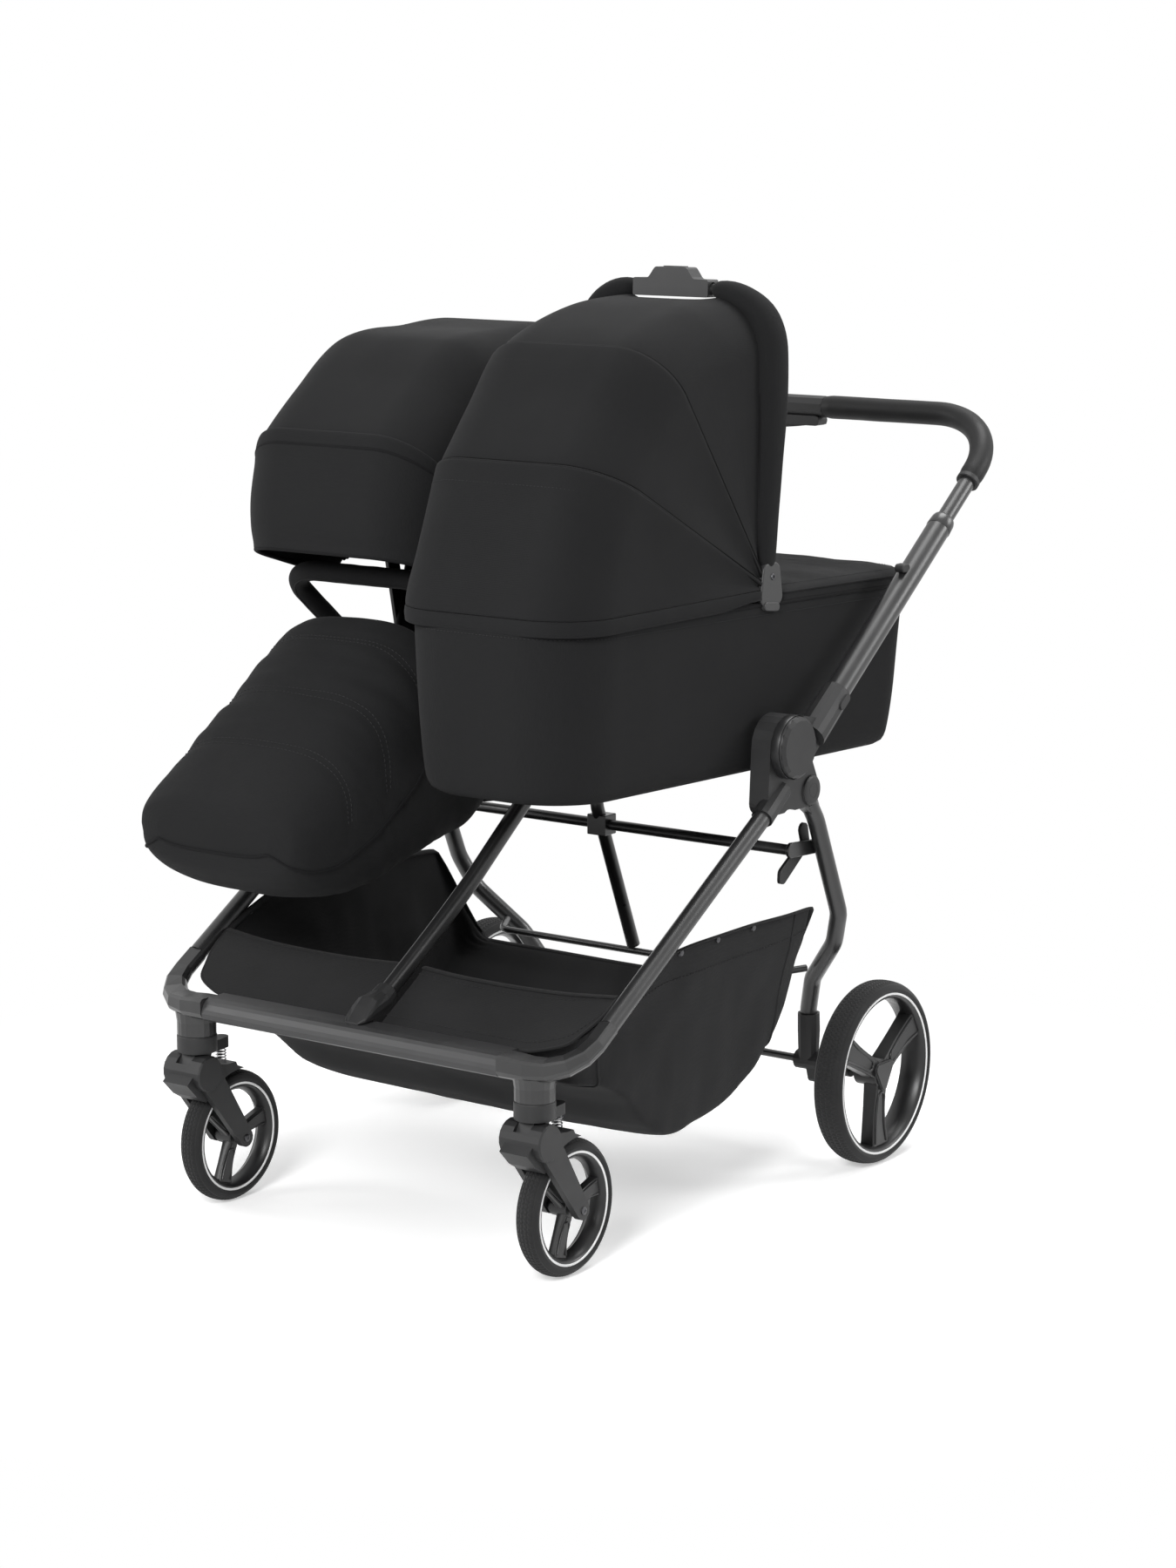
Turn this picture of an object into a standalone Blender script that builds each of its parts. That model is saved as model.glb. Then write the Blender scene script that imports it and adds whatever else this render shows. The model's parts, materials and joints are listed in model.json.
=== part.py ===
"""Side-by-side double stroller: a folding frame with a carrycot on its left and a seat on its right.

Metres, +Z up, the stroller faces -Y and +X is the pusher's left. Every place below is written
in the frame of the front casters (y = 0 at their swivel axes, z = 0 on the ground), and one
root empty moves the whole stroller so that its origin is the bottom centre of its box.
"""
import math

import bmesh
import bpy
from mathutils import Matrix, Vector
from mathutils.geometry import convex_hull_2d

# Fits between pieces
GAP = 0.0003
RUNNING_GAP = 0.0004

# Sides seen round each tube and turned piece
TUBE_SIDES = 10
DISC_SIDES = 18

# Rear wheels
REAR_AXLE_Y = 0.7256
REAR_TYRE_RADIUS = 0.131
REAR_TYRE_WIDTH = 0.045
REAR_RIM_RADIUS = 0.113
REAR_WHEEL_X = 0.3375
REAR_FACETS = 28
REAR_AXLE_RADIUS = 0.0055
REAR_SPOKE_PHASE = -90

# Front wheels and casters
CASTER_X = 0.2815
FRONT_TYRE_RADIUS = 0.091
FRONT_TYRE_WIDTH = 0.034
FRONT_RIM_RADIUS = 0.073
FRONT_FACETS = 24
FRONT_AXLE_Y = 0.0635
FRONT_AXLE_RADIUS = 0.005
FRONT_SPOKE_PHASE = 12
SWIVEL_Z = 0.246
SWIVEL_RADIUS = 0.0265
HEAD_RING_HEIGHT = 0.024
STEM_RADIUS = 0.008
STEM_HEIGHT = 0.030
FORK_PIVOT_Y = -0.010
FORK_PIVOT_Z = 0.196
FORK_CROWN_RADIUS = 0.0245
FORK_CROWN_HALF = 0.0325
FORK_ARM_INNER = 0.0207
FORK_ARM_OUTER = 0.0300
FORK_ARM_END_RADIUS = 0.0125
NECK_HALF = 0.0115
NECK_RADIUS = 0.0185
GUARD_CLEARANCE = 0.0055
SPRING_Y = 0.0475
SPRING_RADIUS = 0.0066
SPRING_WIRE = 0.0010
SPRING_TURNS = 4.0
SPRING_SEAT_Z = 0.1985
SPRING_TOP_Z = 0.2170

# Footboard bar and the corners that carry it
BAR_SEAM_X = 0.245
BAR_CENTRE_Y = -0.0075
BAR_CENTRE_Z = 0.288
BAR_HEIGHT = 0.032
LEG_SEAM_Y = 0.073
LEG_SEAM_Z = 0.333
CORNER_BEND = 0.060

# Front legs
LEG_X = 0.343
LEG_RADIUS = 0.01225
LEG_SLOPE = 31.04
LEG_MOUTH_Y = 0.423
SOCKET_WALL = 0.0022
SOCKET_DEPTH = 0.020

# Centre legs
CENTRE_TUBE_RADIUS = 0.0110
CENTRE_TUBE_HALF = 0.0098
CENTRE_SOLE_Y = -0.017
CENTRE_REAR_RADIUS = 0.0095
CENTRE_REAR_FOOT_Y = 0.6185
CENTRE_REAR_FOOT_Z = 0.2760

# Folding hubs
HUB_Y = 0.480
HUB_Z = 0.632
HUB_RADIUS = 0.0430
HUB_INNER_X = 0.316
HUB_SPLIT_X = 0.346
HUB_DISC_X = 0.359
HUB_SPIGOT_RADIUS = 0.014
REAR_PIVOT_Y = 0.538
REAR_PIVOT_Z = 0.564
REAR_EAR_RADIUS = 0.0216
REAR_TONGUE = 0.0140
REAR_TONGUE_END = (0.5650, 0.5340)
REAR_FOLD_TURN = 66
PIVOT_PIN_RADIUS = 0.006

# Handle
HANDLE_X = 0.350
HANDLE_SLOPE = 36.63
HANDLE_OFFSET = 0.0221
HANDLE_SOCKET_START = 0.0436
HANDLE_SOCKET_END = 0.1269
HANDLE_SOCKET_RADIUS = 0.0202
HANDLE_TUBE_RADIUS = 0.0170
HANDLE_TUBE_END = 0.4571
HANDLE_COLLAR_END = 0.4733
HANDLE_INNER_RADIUS = 0.0118
HANDLE_INNER_HIDDEN = 0.090
HANDLE_TRAVEL = 0.055
HANDLE_BAR_Y = 1.048
HANDLE_BEND = 0.115
GRIP_RADIUS = 0.0170
GRIP_START_Y = 0.9405
CENTRE_HOUSING_HALF = 0.045
CENTRE_HOUSING_RADIUS = 0.0160
LUG_AT = 0.3535

# Rear frame
REAR_LEG_X = 0.330
REAR_LEG_RADIUS = 0.0120
AXLE_SOCKET_X = 0.230
AXLE_SOCKET_TOP = 0.204
CROSS_TUBE_Y = 0.540
CROSS_TUBE_Z = 0.477
CROSS_TUBE_RADIUS = 0.0075
CROSS_PLATE = 0.006
RIM_TUBE_RADIUS = 0.0050

# Basket
BASKET_HALF = 0.330
BASKET_SHEET = 0.0030
PANEL_SHEET = 0.0025
PANEL_HEM_Y = 0.118

# Carrycot, in its own frame, which tips its foot end down about the hub axis
COT_TILT = 1.8
COT_CENTRE_X = 0.162
COT_HALF = 0.150
COT_FRONT_Y = 0.035
COT_REAR_Y = 0.865
COT_RIM_Z = 0.819
COT_BOTTOM_Z = 0.590
COT_TAPER = 0.014
COT_WALL = 0.009
COT_FRONT_CORNER = 0.100
COT_REAR_CORNER = 0.060
COT_HINGE_Y = 0.4735
COT_HINGE_Z = 0.840
MATTRESS_HEIGHT = 0.045
ARCH_HEIGHT = 0.392
ARCH_HALF = 0.1430
ARCH_RADIUS = 0.0140
ARCH_CORNER = 0.080
HOOD_SHELL = 0.0070
COT_GRIP_HALF = 0.060

# Seat
SEAT_CENTRE_X = -0.162
SEAT_HALF = 0.150
SEAT_SHELL = 0.010
CANOPY_HINGE_Y = 0.420
CANOPY_HINGE_Z = 0.800
CANOPY_SHELL = 0.0070
CANOPY_HALF = 0.150
CANOPY_POST_HALF = 0.125
BUMPER_RADIUS = 0.0135
BUMPER_Y = 0.215
BUMPER_Z = 0.850
MUFF_TOE_Y = -0.227

# Colours, as the finish of each material
FRAME_BLACK = ("satin_black_metal", (0.022, 0.022, 0.024), 0.34, 0.6)
PLASTIC_DARK = ("dark_plastic", (0.034, 0.034, 0.037), 0.42, 0.0)
GRIP_LEATHER = ("grip_leather", (0.020, 0.020, 0.021), 0.55, 0.0)
TYRE_RUBBER = ("tyre_rubber", (0.030, 0.030, 0.031), 0.75, 0.0)
FABRIC_BLACK = ("black_fabric", (0.020, 0.021, 0.024), 0.92, 0.0)
FABRIC_LINING = ("lining_fabric", (0.012, 0.012, 0.014), 0.95, 0.0)
STEEL = ("steel", (0.45, 0.45, 0.46), 0.30, 1.0)

# Worked out from the values above
DEG = math.pi / 180
AXIS_X = Vector((1, 0, 0))
AXIS_Y = Vector((0, 1, 0))
AXIS_Z = Vector((0, 0, 1))
LEG_DIRECTION = Vector((0, math.cos(LEG_SLOPE * DEG), math.sin(LEG_SLOPE * DEG)))
HANDLE_DIRECTION = Vector((0, math.cos(HANDLE_SLOPE * DEG), math.sin(HANDLE_SLOPE * DEG)))
HANDLE_FOOT = Vector((0, HUB_Y, HUB_Z)) + HANDLE_OFFSET * Vector(
    (0, HANDLE_DIRECTION.z, -HANDLE_DIRECTION.y)
)
HANDLE_CORNER = (HANDLE_BAR_Y - HANDLE_FOOT.y) / HANDLE_DIRECTION.y
HANDLE_BAR_Z = HANDLE_FOOT.z + HANDLE_CORNER * HANDLE_DIRECTION.z
ORIGIN_Y = (HANDLE_BAR_Y + GRIP_RADIUS + MUFF_TOE_Y) / 2
REAR_AXLE_Z = REAR_TYRE_RADIUS * math.cos(math.pi / REAR_FACETS)
FRONT_AXLE_Z = FRONT_TYRE_RADIUS * math.cos(math.pi / FRONT_FACETS)
SIDES = (("left", 1), ("right", -1))


# Scene and materials


def clear_scene():
    for obj in list(bpy.data.objects):
        bpy.data.objects.remove(obj, do_unlink=True)


def finish_of(look):
    """The Principled material of one of the finishes above, made once and shared."""
    name, colour, roughness, metallic = look
    material = bpy.data.materials.get(name)
    if material is None:
        material = bpy.data.materials.new(name)
        material.use_nodes = True
        shader = material.node_tree.nodes["Principled BSDF"]
        shader.inputs["Base Color"].default_value = (*colour, 1)
        shader.inputs["Roughness"].default_value = roughness
        shader.inputs["Metallic"].default_value = metallic
    return material


def make_empty(name, location, parent=None):
    empty = bpy.data.objects.new(name, None)
    bpy.context.scene.collection.objects.link(empty)
    empty.location = location
    empty.parent = parent
    return empty


class Piece:
    """One sub-part: a base mesh, with further shapes joined to it or cut from it by Booleans."""

    def __init__(self, name, look, shape, parent, pivot=(0, 0, 0)):
        self.pivot = Vector(pivot)
        self.parent = parent
        self.steps = 0
        self.obj = self.place(name, shape)
        self.obj.data.materials.append(finish_of(look))

    def place(self, name, shape):
        """An object for this shape, with its origin on the pivot that the piece turns about."""
        vertices, faces = shape
        mesh = bpy.data.meshes.new(name)
        mesh.from_pydata([Vector(v) - self.pivot for v in vertices], [], faces)
        mesh.validate()
        face_out(mesh)
        mesh.shade_smooth()
        mesh.set_sharp_from_angle(angle=35 * DEG)
        obj = bpy.data.objects.new(name, mesh)
        bpy.context.scene.collection.objects.link(obj)
        obj.location = self.pivot
        obj.parent = self.parent
        return obj

    def add_boolean(self, shape, operation):
        self.steps += 1
        helper = self.place(f"{self.obj.name}_{operation.lower()}_{self.steps}", shape)
        helper.hide_render = True
        helper.display_type = "WIRE"
        modifier = self.obj.modifiers.new(f"{operation.title()} {self.steps}", "BOOLEAN")
        modifier.operation = operation
        modifier.solver = "EXACT"
        modifier.object = helper
        return self

    def join(self, shape):
        return self.add_boolean(shape, "UNION")

    def cut(self, shape):
        return self.add_boolean(shape, "DIFFERENCE")


def face_out(mesh):
    """Turns every face outwards: the signed volume of a closed mesh is then positive."""
    work = bmesh.new()
    work.from_mesh(mesh)
    bmesh.ops.remove_doubles(work, verts=work.verts, dist=1e-6)
    bmesh.ops.recalc_face_normals(work, faces=work.faces)
    if work.calc_volume(signed=True) < 0:
        bmesh.ops.reverse_faces(work, faces=work.faces)
    work.to_mesh(mesh)
    work.free()


# Outlines in a plane


def arc(cx, cy, radius, start, end, steps):
    """Points along an arc, angles in degrees, both ends included."""
    angles = [start + (end - start) * i / steps for i in range(steps + 1)]
    return [(cx + radius * math.cos(a * DEG), cy + radius * math.sin(a * DEG)) for a in angles]


def wrap(circles, steps=20):
    """The outline of a link plate: a band pulled tight round circles given as (x, y, radius)."""
    points = [p for cx, cy, r in circles for p in arc(cx, cy, r, 0, 360 - 360 / steps, steps - 1)]
    return [points[i] for i in convex_hull_2d([Vector(p) for p in points])]


def round_corners(points, radius, steps=4):
    """A closed outline with each corner replaced by an arc of about this radius."""
    rounded = []
    count = len(points)
    for i, corner in enumerate(points):
        corner = Vector(corner)
        before = Vector(points[i - 1]) - corner
        after = Vector(points[(i + 1) % count]) - corner
        reach = min(radius, before.length * 0.45, after.length * 0.45)
        start = corner + before.normalized() * reach
        end = corner + after.normalized() * reach
        for k in range(steps + 1):
            t = k / steps
            rounded.append(start * (1 - t) ** 2 + corner * 2 * t * (1 - t) + end * t**2)
    return [tuple(p) for p in rounded]


def superellipse(half_u, half_v, power, sides, phase=0.5):
    """Points round a superellipse: power 2 is an ellipse, larger powers are squarer."""
    points = []
    for i in range(sides):
        angle = 2 * math.pi * (i + phase) / sides
        c, s = math.cos(angle), math.sin(angle)
        scale = (abs(c) ** power + abs(s) ** power) ** (-1 / power)
        points.append((half_u * c * scale, half_v * s * scale))
    return points


# Solids, each as (vertices, faces)


def skin(rings, closed=False):
    """A solid from rings with equal counts: bridged in order, and capped unless closed on itself."""
    count = len(rings[0])
    vertices = [v for ring in rings for v in ring]
    faces = []
    for i in range(len(rings) if closed else len(rings) - 1):
        j = (i + 1) % len(rings)
        for k in range(count):
            m = (k + 1) % count
            faces.append((i * count + k, i * count + m, j * count + m, j * count + k))
    if not closed:
        faces.append(tuple(range(count - 1, -1, -1)))
        faces.append(tuple((len(rings) - 1) * count + k for k in range(count)))
    return vertices, faces


def fillet_path(points, radii, steps=5):
    """A path through the points, with each inner corner turned by an arc of its radius."""
    points = [Vector(p) for p in points]
    if not isinstance(radii, (list, tuple)):
        radii = [radii] * (len(points) - 2)
    path = [points[0]]
    for i in range(1, len(points) - 1):
        back = (points[i - 1] - points[i]).normalized()
        ahead = (points[i + 1] - points[i]).normalized()
        half = back.angle(ahead) / 2
        reach = radii[i - 1] / math.tan(half)
        centre = points[i] + (back + ahead).normalized() * radii[i - 1] / math.sin(half)
        start = points[i] + back * reach - centre
        end = points[i] + ahead * reach - centre
        turn = start.angle(end)
        for k in range(steps + 1):
            t = k / steps
            arm = (start * math.sin((1 - t) * turn) + end * math.sin(t * turn)) / math.sin(turn)
            path.append(centre + arm)
    path.append(points[-1])
    return path


def frames_along(path, up):
    """Cutting planes along a path: (point, across, upright) with the upright carried along."""
    frames = []
    for i, point in enumerate(path):
        before = path[max(i - 1, 0)]
        after = path[min(i + 1, len(path) - 1)]
        if 0 < i < len(path) - 1:
            ahead = ((point - before).normalized() + (after - point).normalized()).normalized()
        else:
            ahead = (after - before).normalized()
        up = (up - ahead * up.dot(ahead)).normalized()
        frames.append((point, up.cross(ahead).normalized(), up.copy()))
    return frames


def sweep(path, section, up=AXIS_Z, scales=None):
    """A solid bar: a section of (across, upright) points carried along the path."""
    rings = []
    for i, (point, across, upright) in enumerate(frames_along([Vector(p) for p in path], up)):
        scale = scales[i] if scales else 1
        rings.append([point + across * (u * scale) + upright * (v * scale) for u, v in section])
    return skin(rings)


def rod(path, radius, sides=TUBE_SIDES, up=AXIS_Z, scales=None):
    return sweep(path, superellipse(radius, radius, 2, sides), up, scales)


def pipe(path, outer, inner, sides=TUBE_SIDES, up=AXIS_Z):
    """A hollow tube, open at both ends."""
    frames = frames_along([Vector(p) for p in path], up)
    walls = []
    for radius, order in ((outer, frames), (inner, frames[::-1])):
        section = superellipse(radius, radius, 2, sides)
        for point, across, upright in order:
            walls.append([point + across * u + upright * v for u, v in section])
    return skin(walls, closed=True)


def bore(radius, sides=TUBE_SIDES, clearance=GAP):
    """The radius of a faceted hole whose flats clear a shaft of this radius."""
    return (radius + clearance) / math.cos(math.pi / sides)


def plane_of(axis):
    """Two directions square to an axis, which is X, Y or Z."""
    if axis == AXIS_X:
        return AXIS_Y, AXIS_Z
    if axis == AXIS_Y:
        return AXIS_Z, AXIS_X
    return AXIS_X, AXIS_Y


def turned(profile, centre, axis=AXIS_X, sides=DISC_SIDES, phase=0.5):
    """A turned ring: a closed profile of (radius, height along the axis) points, all off the axis."""
    centre = Vector(centre)
    u, v = plane_of(axis)
    rings = []
    for i in range(sides):
        angle = 2 * math.pi * (i + phase) / sides
        spoke = u * math.cos(angle) + v * math.sin(angle)
        rings.append([centre + spoke * r + axis * h for r, h in profile])
    return skin(rings, closed=True)


def disc(profile, centre, axis=AXIS_X, sides=DISC_SIDES, phase=0.5):
    """A turned solid: (radius, height) points from one end face to the other."""
    centre = Vector(centre)
    u, v = plane_of(axis)
    rings = []
    for r, h in profile:
        angles = [2 * math.pi * (i + phase) / sides for i in range(sides)]
        rings.append([centre + (u * math.cos(a) + v * math.sin(a)) * r + axis * h for a in angles])
    return skin(rings)


def slab(outline, low, high, axis=AXIS_X):
    """An outline extruded along an axis, from low to high; its points lie in the other two."""
    u, v = plane_of(axis)
    return skin([[u * p[0] + v * p[1] + axis * h for p in outline] for h in (low, high)])


def block(low, high):
    """A box between two opposite corners."""
    outline = [(low[0], low[1]), (high[0], low[1]), (high[0], high[1]), (low[0], high[1])]
    return slab(outline, low[2], high[2], AXIS_Z)


def shell_of(outer, inner):
    """A dish or hood: rings of the outer face, then rings of the inner face back to its rim."""
    return skin(outer + inner)


def on_leg(distance, x):
    """A place on a front leg's centre line, measured from the seam at its foot."""
    return Vector((x, LEG_SEAM_Y, LEG_SEAM_Z)) + LEG_DIRECTION * distance


def on_handle(distance, x):
    """A place on the handle's centre line, measured from the point nearest the hub axis."""
    return Vector((x, HANDLE_FOOT.y, HANDLE_FOOT.z)) + HANDLE_DIRECTION * distance


# Footboard, front corners and front legs


def bar_section():
    """The footboard bar's outline round its centre: a ridge in front, a sloping face below."""
    back, front, top, low = 0.0255, -0.0255, 0.0160, -0.0160
    outline = [
        (back, low + 0.008), (back, top), (front + 0.013, top), (front + 0.004, top - 0.010),
        (front, low + 0.009), (front + 0.006, low + 0.002), (back - 0.012, low),
    ]
    return round_corners(outline, 0.004, 1)


def make_footboard(parent):
    section = [Vector((0, BAR_CENTRE_Y + u, BAR_CENTRE_Z + v)) for u, v in bar_section()]
    ends = [[p + AXIS_X * x for p in section] for x in (-BAR_SEAM_X + GAP / 2, BAR_SEAM_X - GAP / 2)]
    Piece("footboard_bar", FRAME_BLACK, skin(ends), parent)


def make_front_corner(name, side, parent):
    """A moulding that turns from the bar's section to the leg's, over the caster's socket."""
    section = bar_section()
    leg = (LEG_RADIUS + 0.0010, LEG_RADIUS + 0.0010)
    seam = on_leg(-GAP / 2, side * LEG_X)
    corner = on_leg((BAR_CENTRE_Y - LEG_SEAM_Y) / LEG_DIRECTION.y, side * LEG_X)
    start = Vector((side * (BAR_SEAM_X + GAP / 2), BAR_CENTRE_Y, BAR_CENTRE_Z))
    run_in = start + AXIS_X * side * 0.014
    path = fillet_path([start, run_in, corner, seam], [0.20, CORNER_BEND], 4)
    lengths = [0]
    for before, after in zip(path, path[1:]):
        lengths.append(lengths[-1] + (after - before).length)
    rings = []
    for (point, across, upright), run in zip(frames_along(path, AXIS_Z), lengths):
        share = min(1, run / lengths[-1] * 1.15)
        share = share * share * (3 - 2 * share)
        ring = []
        for u, v in section:
            angle = math.atan2(v, u)
            round_u, round_v = leg[0] * math.cos(angle), leg[1] * math.sin(angle)
            wide = u * (1 - share) + round_u * share
            tall = v * (1 - share) + round_v * share
            ring.append(point - across * side * wide + upright * tall)
        rings.append(ring)
    piece = Piece(name, FRAME_BLACK, skin(rings), parent)
    flare = [
        (SWIVEL_RADIUS, SWIVEL_Z + GAP), (SWIVEL_RADIUS, SWIVEL_Z + 0.018),
        (SWIVEL_RADIUS + 0.002, SWIVEL_Z + 0.032),
    ]
    piece.join(disc(flare, (side * CASTER_X, 0, 0), AXIS_Z, 20))
    hole = bore(STEM_RADIUS, 16)
    stem = [(hole, SWIVEL_Z - 0.010), (hole, SWIVEL_Z + STEM_HEIGHT + 0.002)]
    piece.cut(disc(stem, (side * CASTER_X, 0, 0), AXIS_Z, 16))


def make_front_leg(name, side, parent):
    run = (LEG_MOUTH_Y - LEG_SEAM_Y) / LEG_DIRECTION.y + SOCKET_DEPTH - GAP
    path = [on_leg(GAP / 2, side * LEG_X), on_leg(run, side * LEG_X)]
    Piece(name, FRAME_BLACK, rod(path, LEG_RADIUS), parent)


def centre_leg_path():
    """The centre leg's line from the footboard up to the centre hub, bowed a little upwards."""
    return [Vector(p) for p in (
        (0, 0.030, 0.3155), (0, 0.104, 0.3605), (0, 0.175, 0.4050), (0, 0.237, 0.4470),
        (0, 0.294, 0.4900), (0, 0.400, 0.5700), (0, 0.4465, 0.6045),
    )]


def make_centre_leg(parent):
    section = superellipse(CENTRE_TUBE_HALF, CENTRE_TUBE_RADIUS, 3, TUBE_SIDES)
    Piece("centre_front_leg", FRAME_BLACK, sweep(centre_leg_path(), section), parent)
    make_centre_foot(parent)


def make_centre_foot(parent):
    """A shoe that stands on the footboard bar and takes the foot of the centre leg."""
    top = BAR_CENTRE_Z + BAR_HEIGHT / 2 + GAP
    path = centre_leg_path()
    along = (path[1] - path[0]).normalized()
    upright = along.cross(-AXIS_X).normalized()
    rings = []
    for y, half, height in (
        (CENTRE_SOLE_Y, 0.011, 0.003), (-0.008, 0.0165, 0.010), (0.004, 0.0175, 0.020),
        (0.017, 0.0170, 0.030),
    ):
        low = Vector((0, y, top))
        rings.append(
            [
                low + AXIS_X * u * half + AXIS_Z * (v * height / 2 + height / 2)
                for u, v in superellipse(1, 1, 4, 14)
            ]
        )
    for distance, half, tall in ((0.018, 0.0148, 0.0160), (0.034, 0.0135, 0.0145)):
        centre = path[0] + along * distance
        rings.append([centre + AXIS_X * u * half + upright * v * tall for u, v in superellipse(1, 1, 3, 14)])
    piece = Piece("centre_leg_foot", PLASTIC_DARK, skin(rings), parent)
    section = superellipse(CENTRE_TUBE_HALF + 0.0006, CENTRE_TUBE_RADIUS + 0.0006, 3, TUBE_SIDES)
    hole = [path[0] - along * 0.0004, path[0] + along * 0.060]
    piece.cut(sweep(hole, section))


# Hubs


def swing_room(end, radius, ear):
    """The outline that a tongue on the rear pivot sweeps through while the rear frame folds."""
    arm = Vector((0, end[0] - REAR_PIVOT_Y, end[1] - REAR_PIVOT_Z))
    circles = [(REAR_PIVOT_Y, REAR_PIVOT_Z, ear)]
    for share in (0, 0.2, 0.4, 0.6, 0.8, 1):
        swung = Matrix.Rotation(-REAR_FOLD_TURN * share * DEG, 3, "X") @ arm
        circles.append((REAR_PIVOT_Y + swung.y, REAR_PIVOT_Z + swung.z, radius))
    return wrap(circles, 16)


def make_hub_housing(name, side, parent):
    """The fixed half of a folding hub: leg socket, pin for the handle and fork for the rear leg."""
    inner, split = HUB_INNER_X, HUB_SPLIT_X
    low, high = sorted((side * inner, side * split))
    mouth = (LEG_MOUTH_Y - LEG_SEAM_Y) / LEG_DIRECTION.y
    knee = on_leg(mouth + 0.030, 0)
    body = wrap(
        [
            (HUB_Y, HUB_Z, HUB_RADIUS), (REAR_PIVOT_Y, REAR_PIVOT_Z, REAR_EAR_RADIUS),
            (knee.y, knee.z, 0.016),
        ],
        20,
    )
    piece = Piece(name, PLASTIC_DARK, slab(body, low, high), parent, (side * split, HUB_Y, HUB_Z))
    neck = on_leg(mouth - 0.010, 0)
    scoop_y, scoop_z = (neck.y + REAR_PIVOT_Y) / 2 + 0.010, min(neck.z, REAR_PIVOT_Z) - 0.022
    piece.cut(disc([(0.030, low - 0.01), (0.030, high + 0.01)], (0, scoop_y, scoop_z), AXIS_X, 16))
    outer = bore(LEG_RADIUS, TUBE_SIDES) + SOCKET_WALL
    piece.join(rod([on_leg(mouth, side * LEG_X), on_leg(mouth + 0.060, side * (LEG_X - 0.004))], outer, 12))
    hole = bore(LEG_RADIUS, TUBE_SIDES)
    piece.cut(rod([on_leg(mouth - 0.02, side * LEG_X), on_leg(mouth + SOCKET_DEPTH, side * LEG_X)], hole))
    slot = REAR_TONGUE / 2 + RUNNING_GAP
    slot_x = side * REAR_LEG_X
    reach = REAR_EAR_RADIUS + 0.0016
    piece.cut(
        disc(
            [(reach, slot_x - slot), (reach, slot_x + slot)], (0, REAR_PIVOT_Y, REAR_PIVOT_Z),
            AXIS_X, 18,
        )
    )
    piece.cut(slab(swing_room(REAR_TONGUE_END, 0.0125, REAR_EAR_RADIUS), slot_x - slot, slot_x + slot))
    pin = disc(
        [(PIVOT_PIN_RADIUS, -0.013), (PIVOT_PIN_RADIUS, 0.013)],
        (slot_x, REAR_PIVOT_Y, REAR_PIVOT_Z), AXIS_X, 12,
    )
    piece.join(pin)
    cap_x = side * (split - 0.001)
    cap = [
        (REAR_EAR_RADIUS - 0.0012, 0), (REAR_EAR_RADIUS - 0.0012, side * 0.0035),
        (REAR_EAR_RADIUS - 0.004, side * 0.005),
    ]
    piece.join(disc(cap, (cap_x, REAR_PIVOT_Y, REAR_PIVOT_Z), AXIS_X, 18))
    spigot = [
        (HUB_SPIGOT_RADIUS, -side * 0.004),
        (HUB_SPIGOT_RADIUS, side * (HUB_DISC_X - HUB_SPLIT_X - 0.003)),
    ]
    piece.join(disc(spigot, (side * split, HUB_Y, HUB_Z), AXIS_X, 12))


def make_centre_hub(parent):
    """The hub between the two units, which takes the centre leg and the centre rear leg."""
    half = 0.0108
    body = wrap([(HUB_Y, HUB_Z, 0.036), (REAR_PIVOT_Y, REAR_PIVOT_Z, 0.018)], 24)
    piece = Piece("centre_hub", PLASTIC_DARK, slab(body, -half, half), parent, (0, HUB_Y, HUB_Z))
    section = superellipse(CENTRE_TUBE_HALF + 0.0005, CENTRE_TUBE_RADIUS + 0.0006, 3, TUBE_SIDES)
    path = centre_leg_path()
    along = (path[-1] - path[-2]).normalized()
    piece.cut(sweep([path[-1] - along * 0.03, path[-1] + along * GAP], section))
    slot = 0.0050 + RUNNING_GAP
    piece.cut(disc([(0.0195, -slot), (0.0195, slot)], (0, REAR_PIVOT_Y, REAR_PIVOT_Z), AXIS_X, 20))
    start = centre_rear_path()[0]
    piece.cut(slab(swing_room((start.y, start.z - 0.006), 0.0104, 0.0188), -slot, slot))
    piece.join(
        disc(
            [(0.005, -half + 0.001), (0.005, half - 0.001)], (0, REAR_PIVOT_Y, REAR_PIVOT_Z),
            AXIS_X, 12,
        )
    )


# Handle


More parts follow.
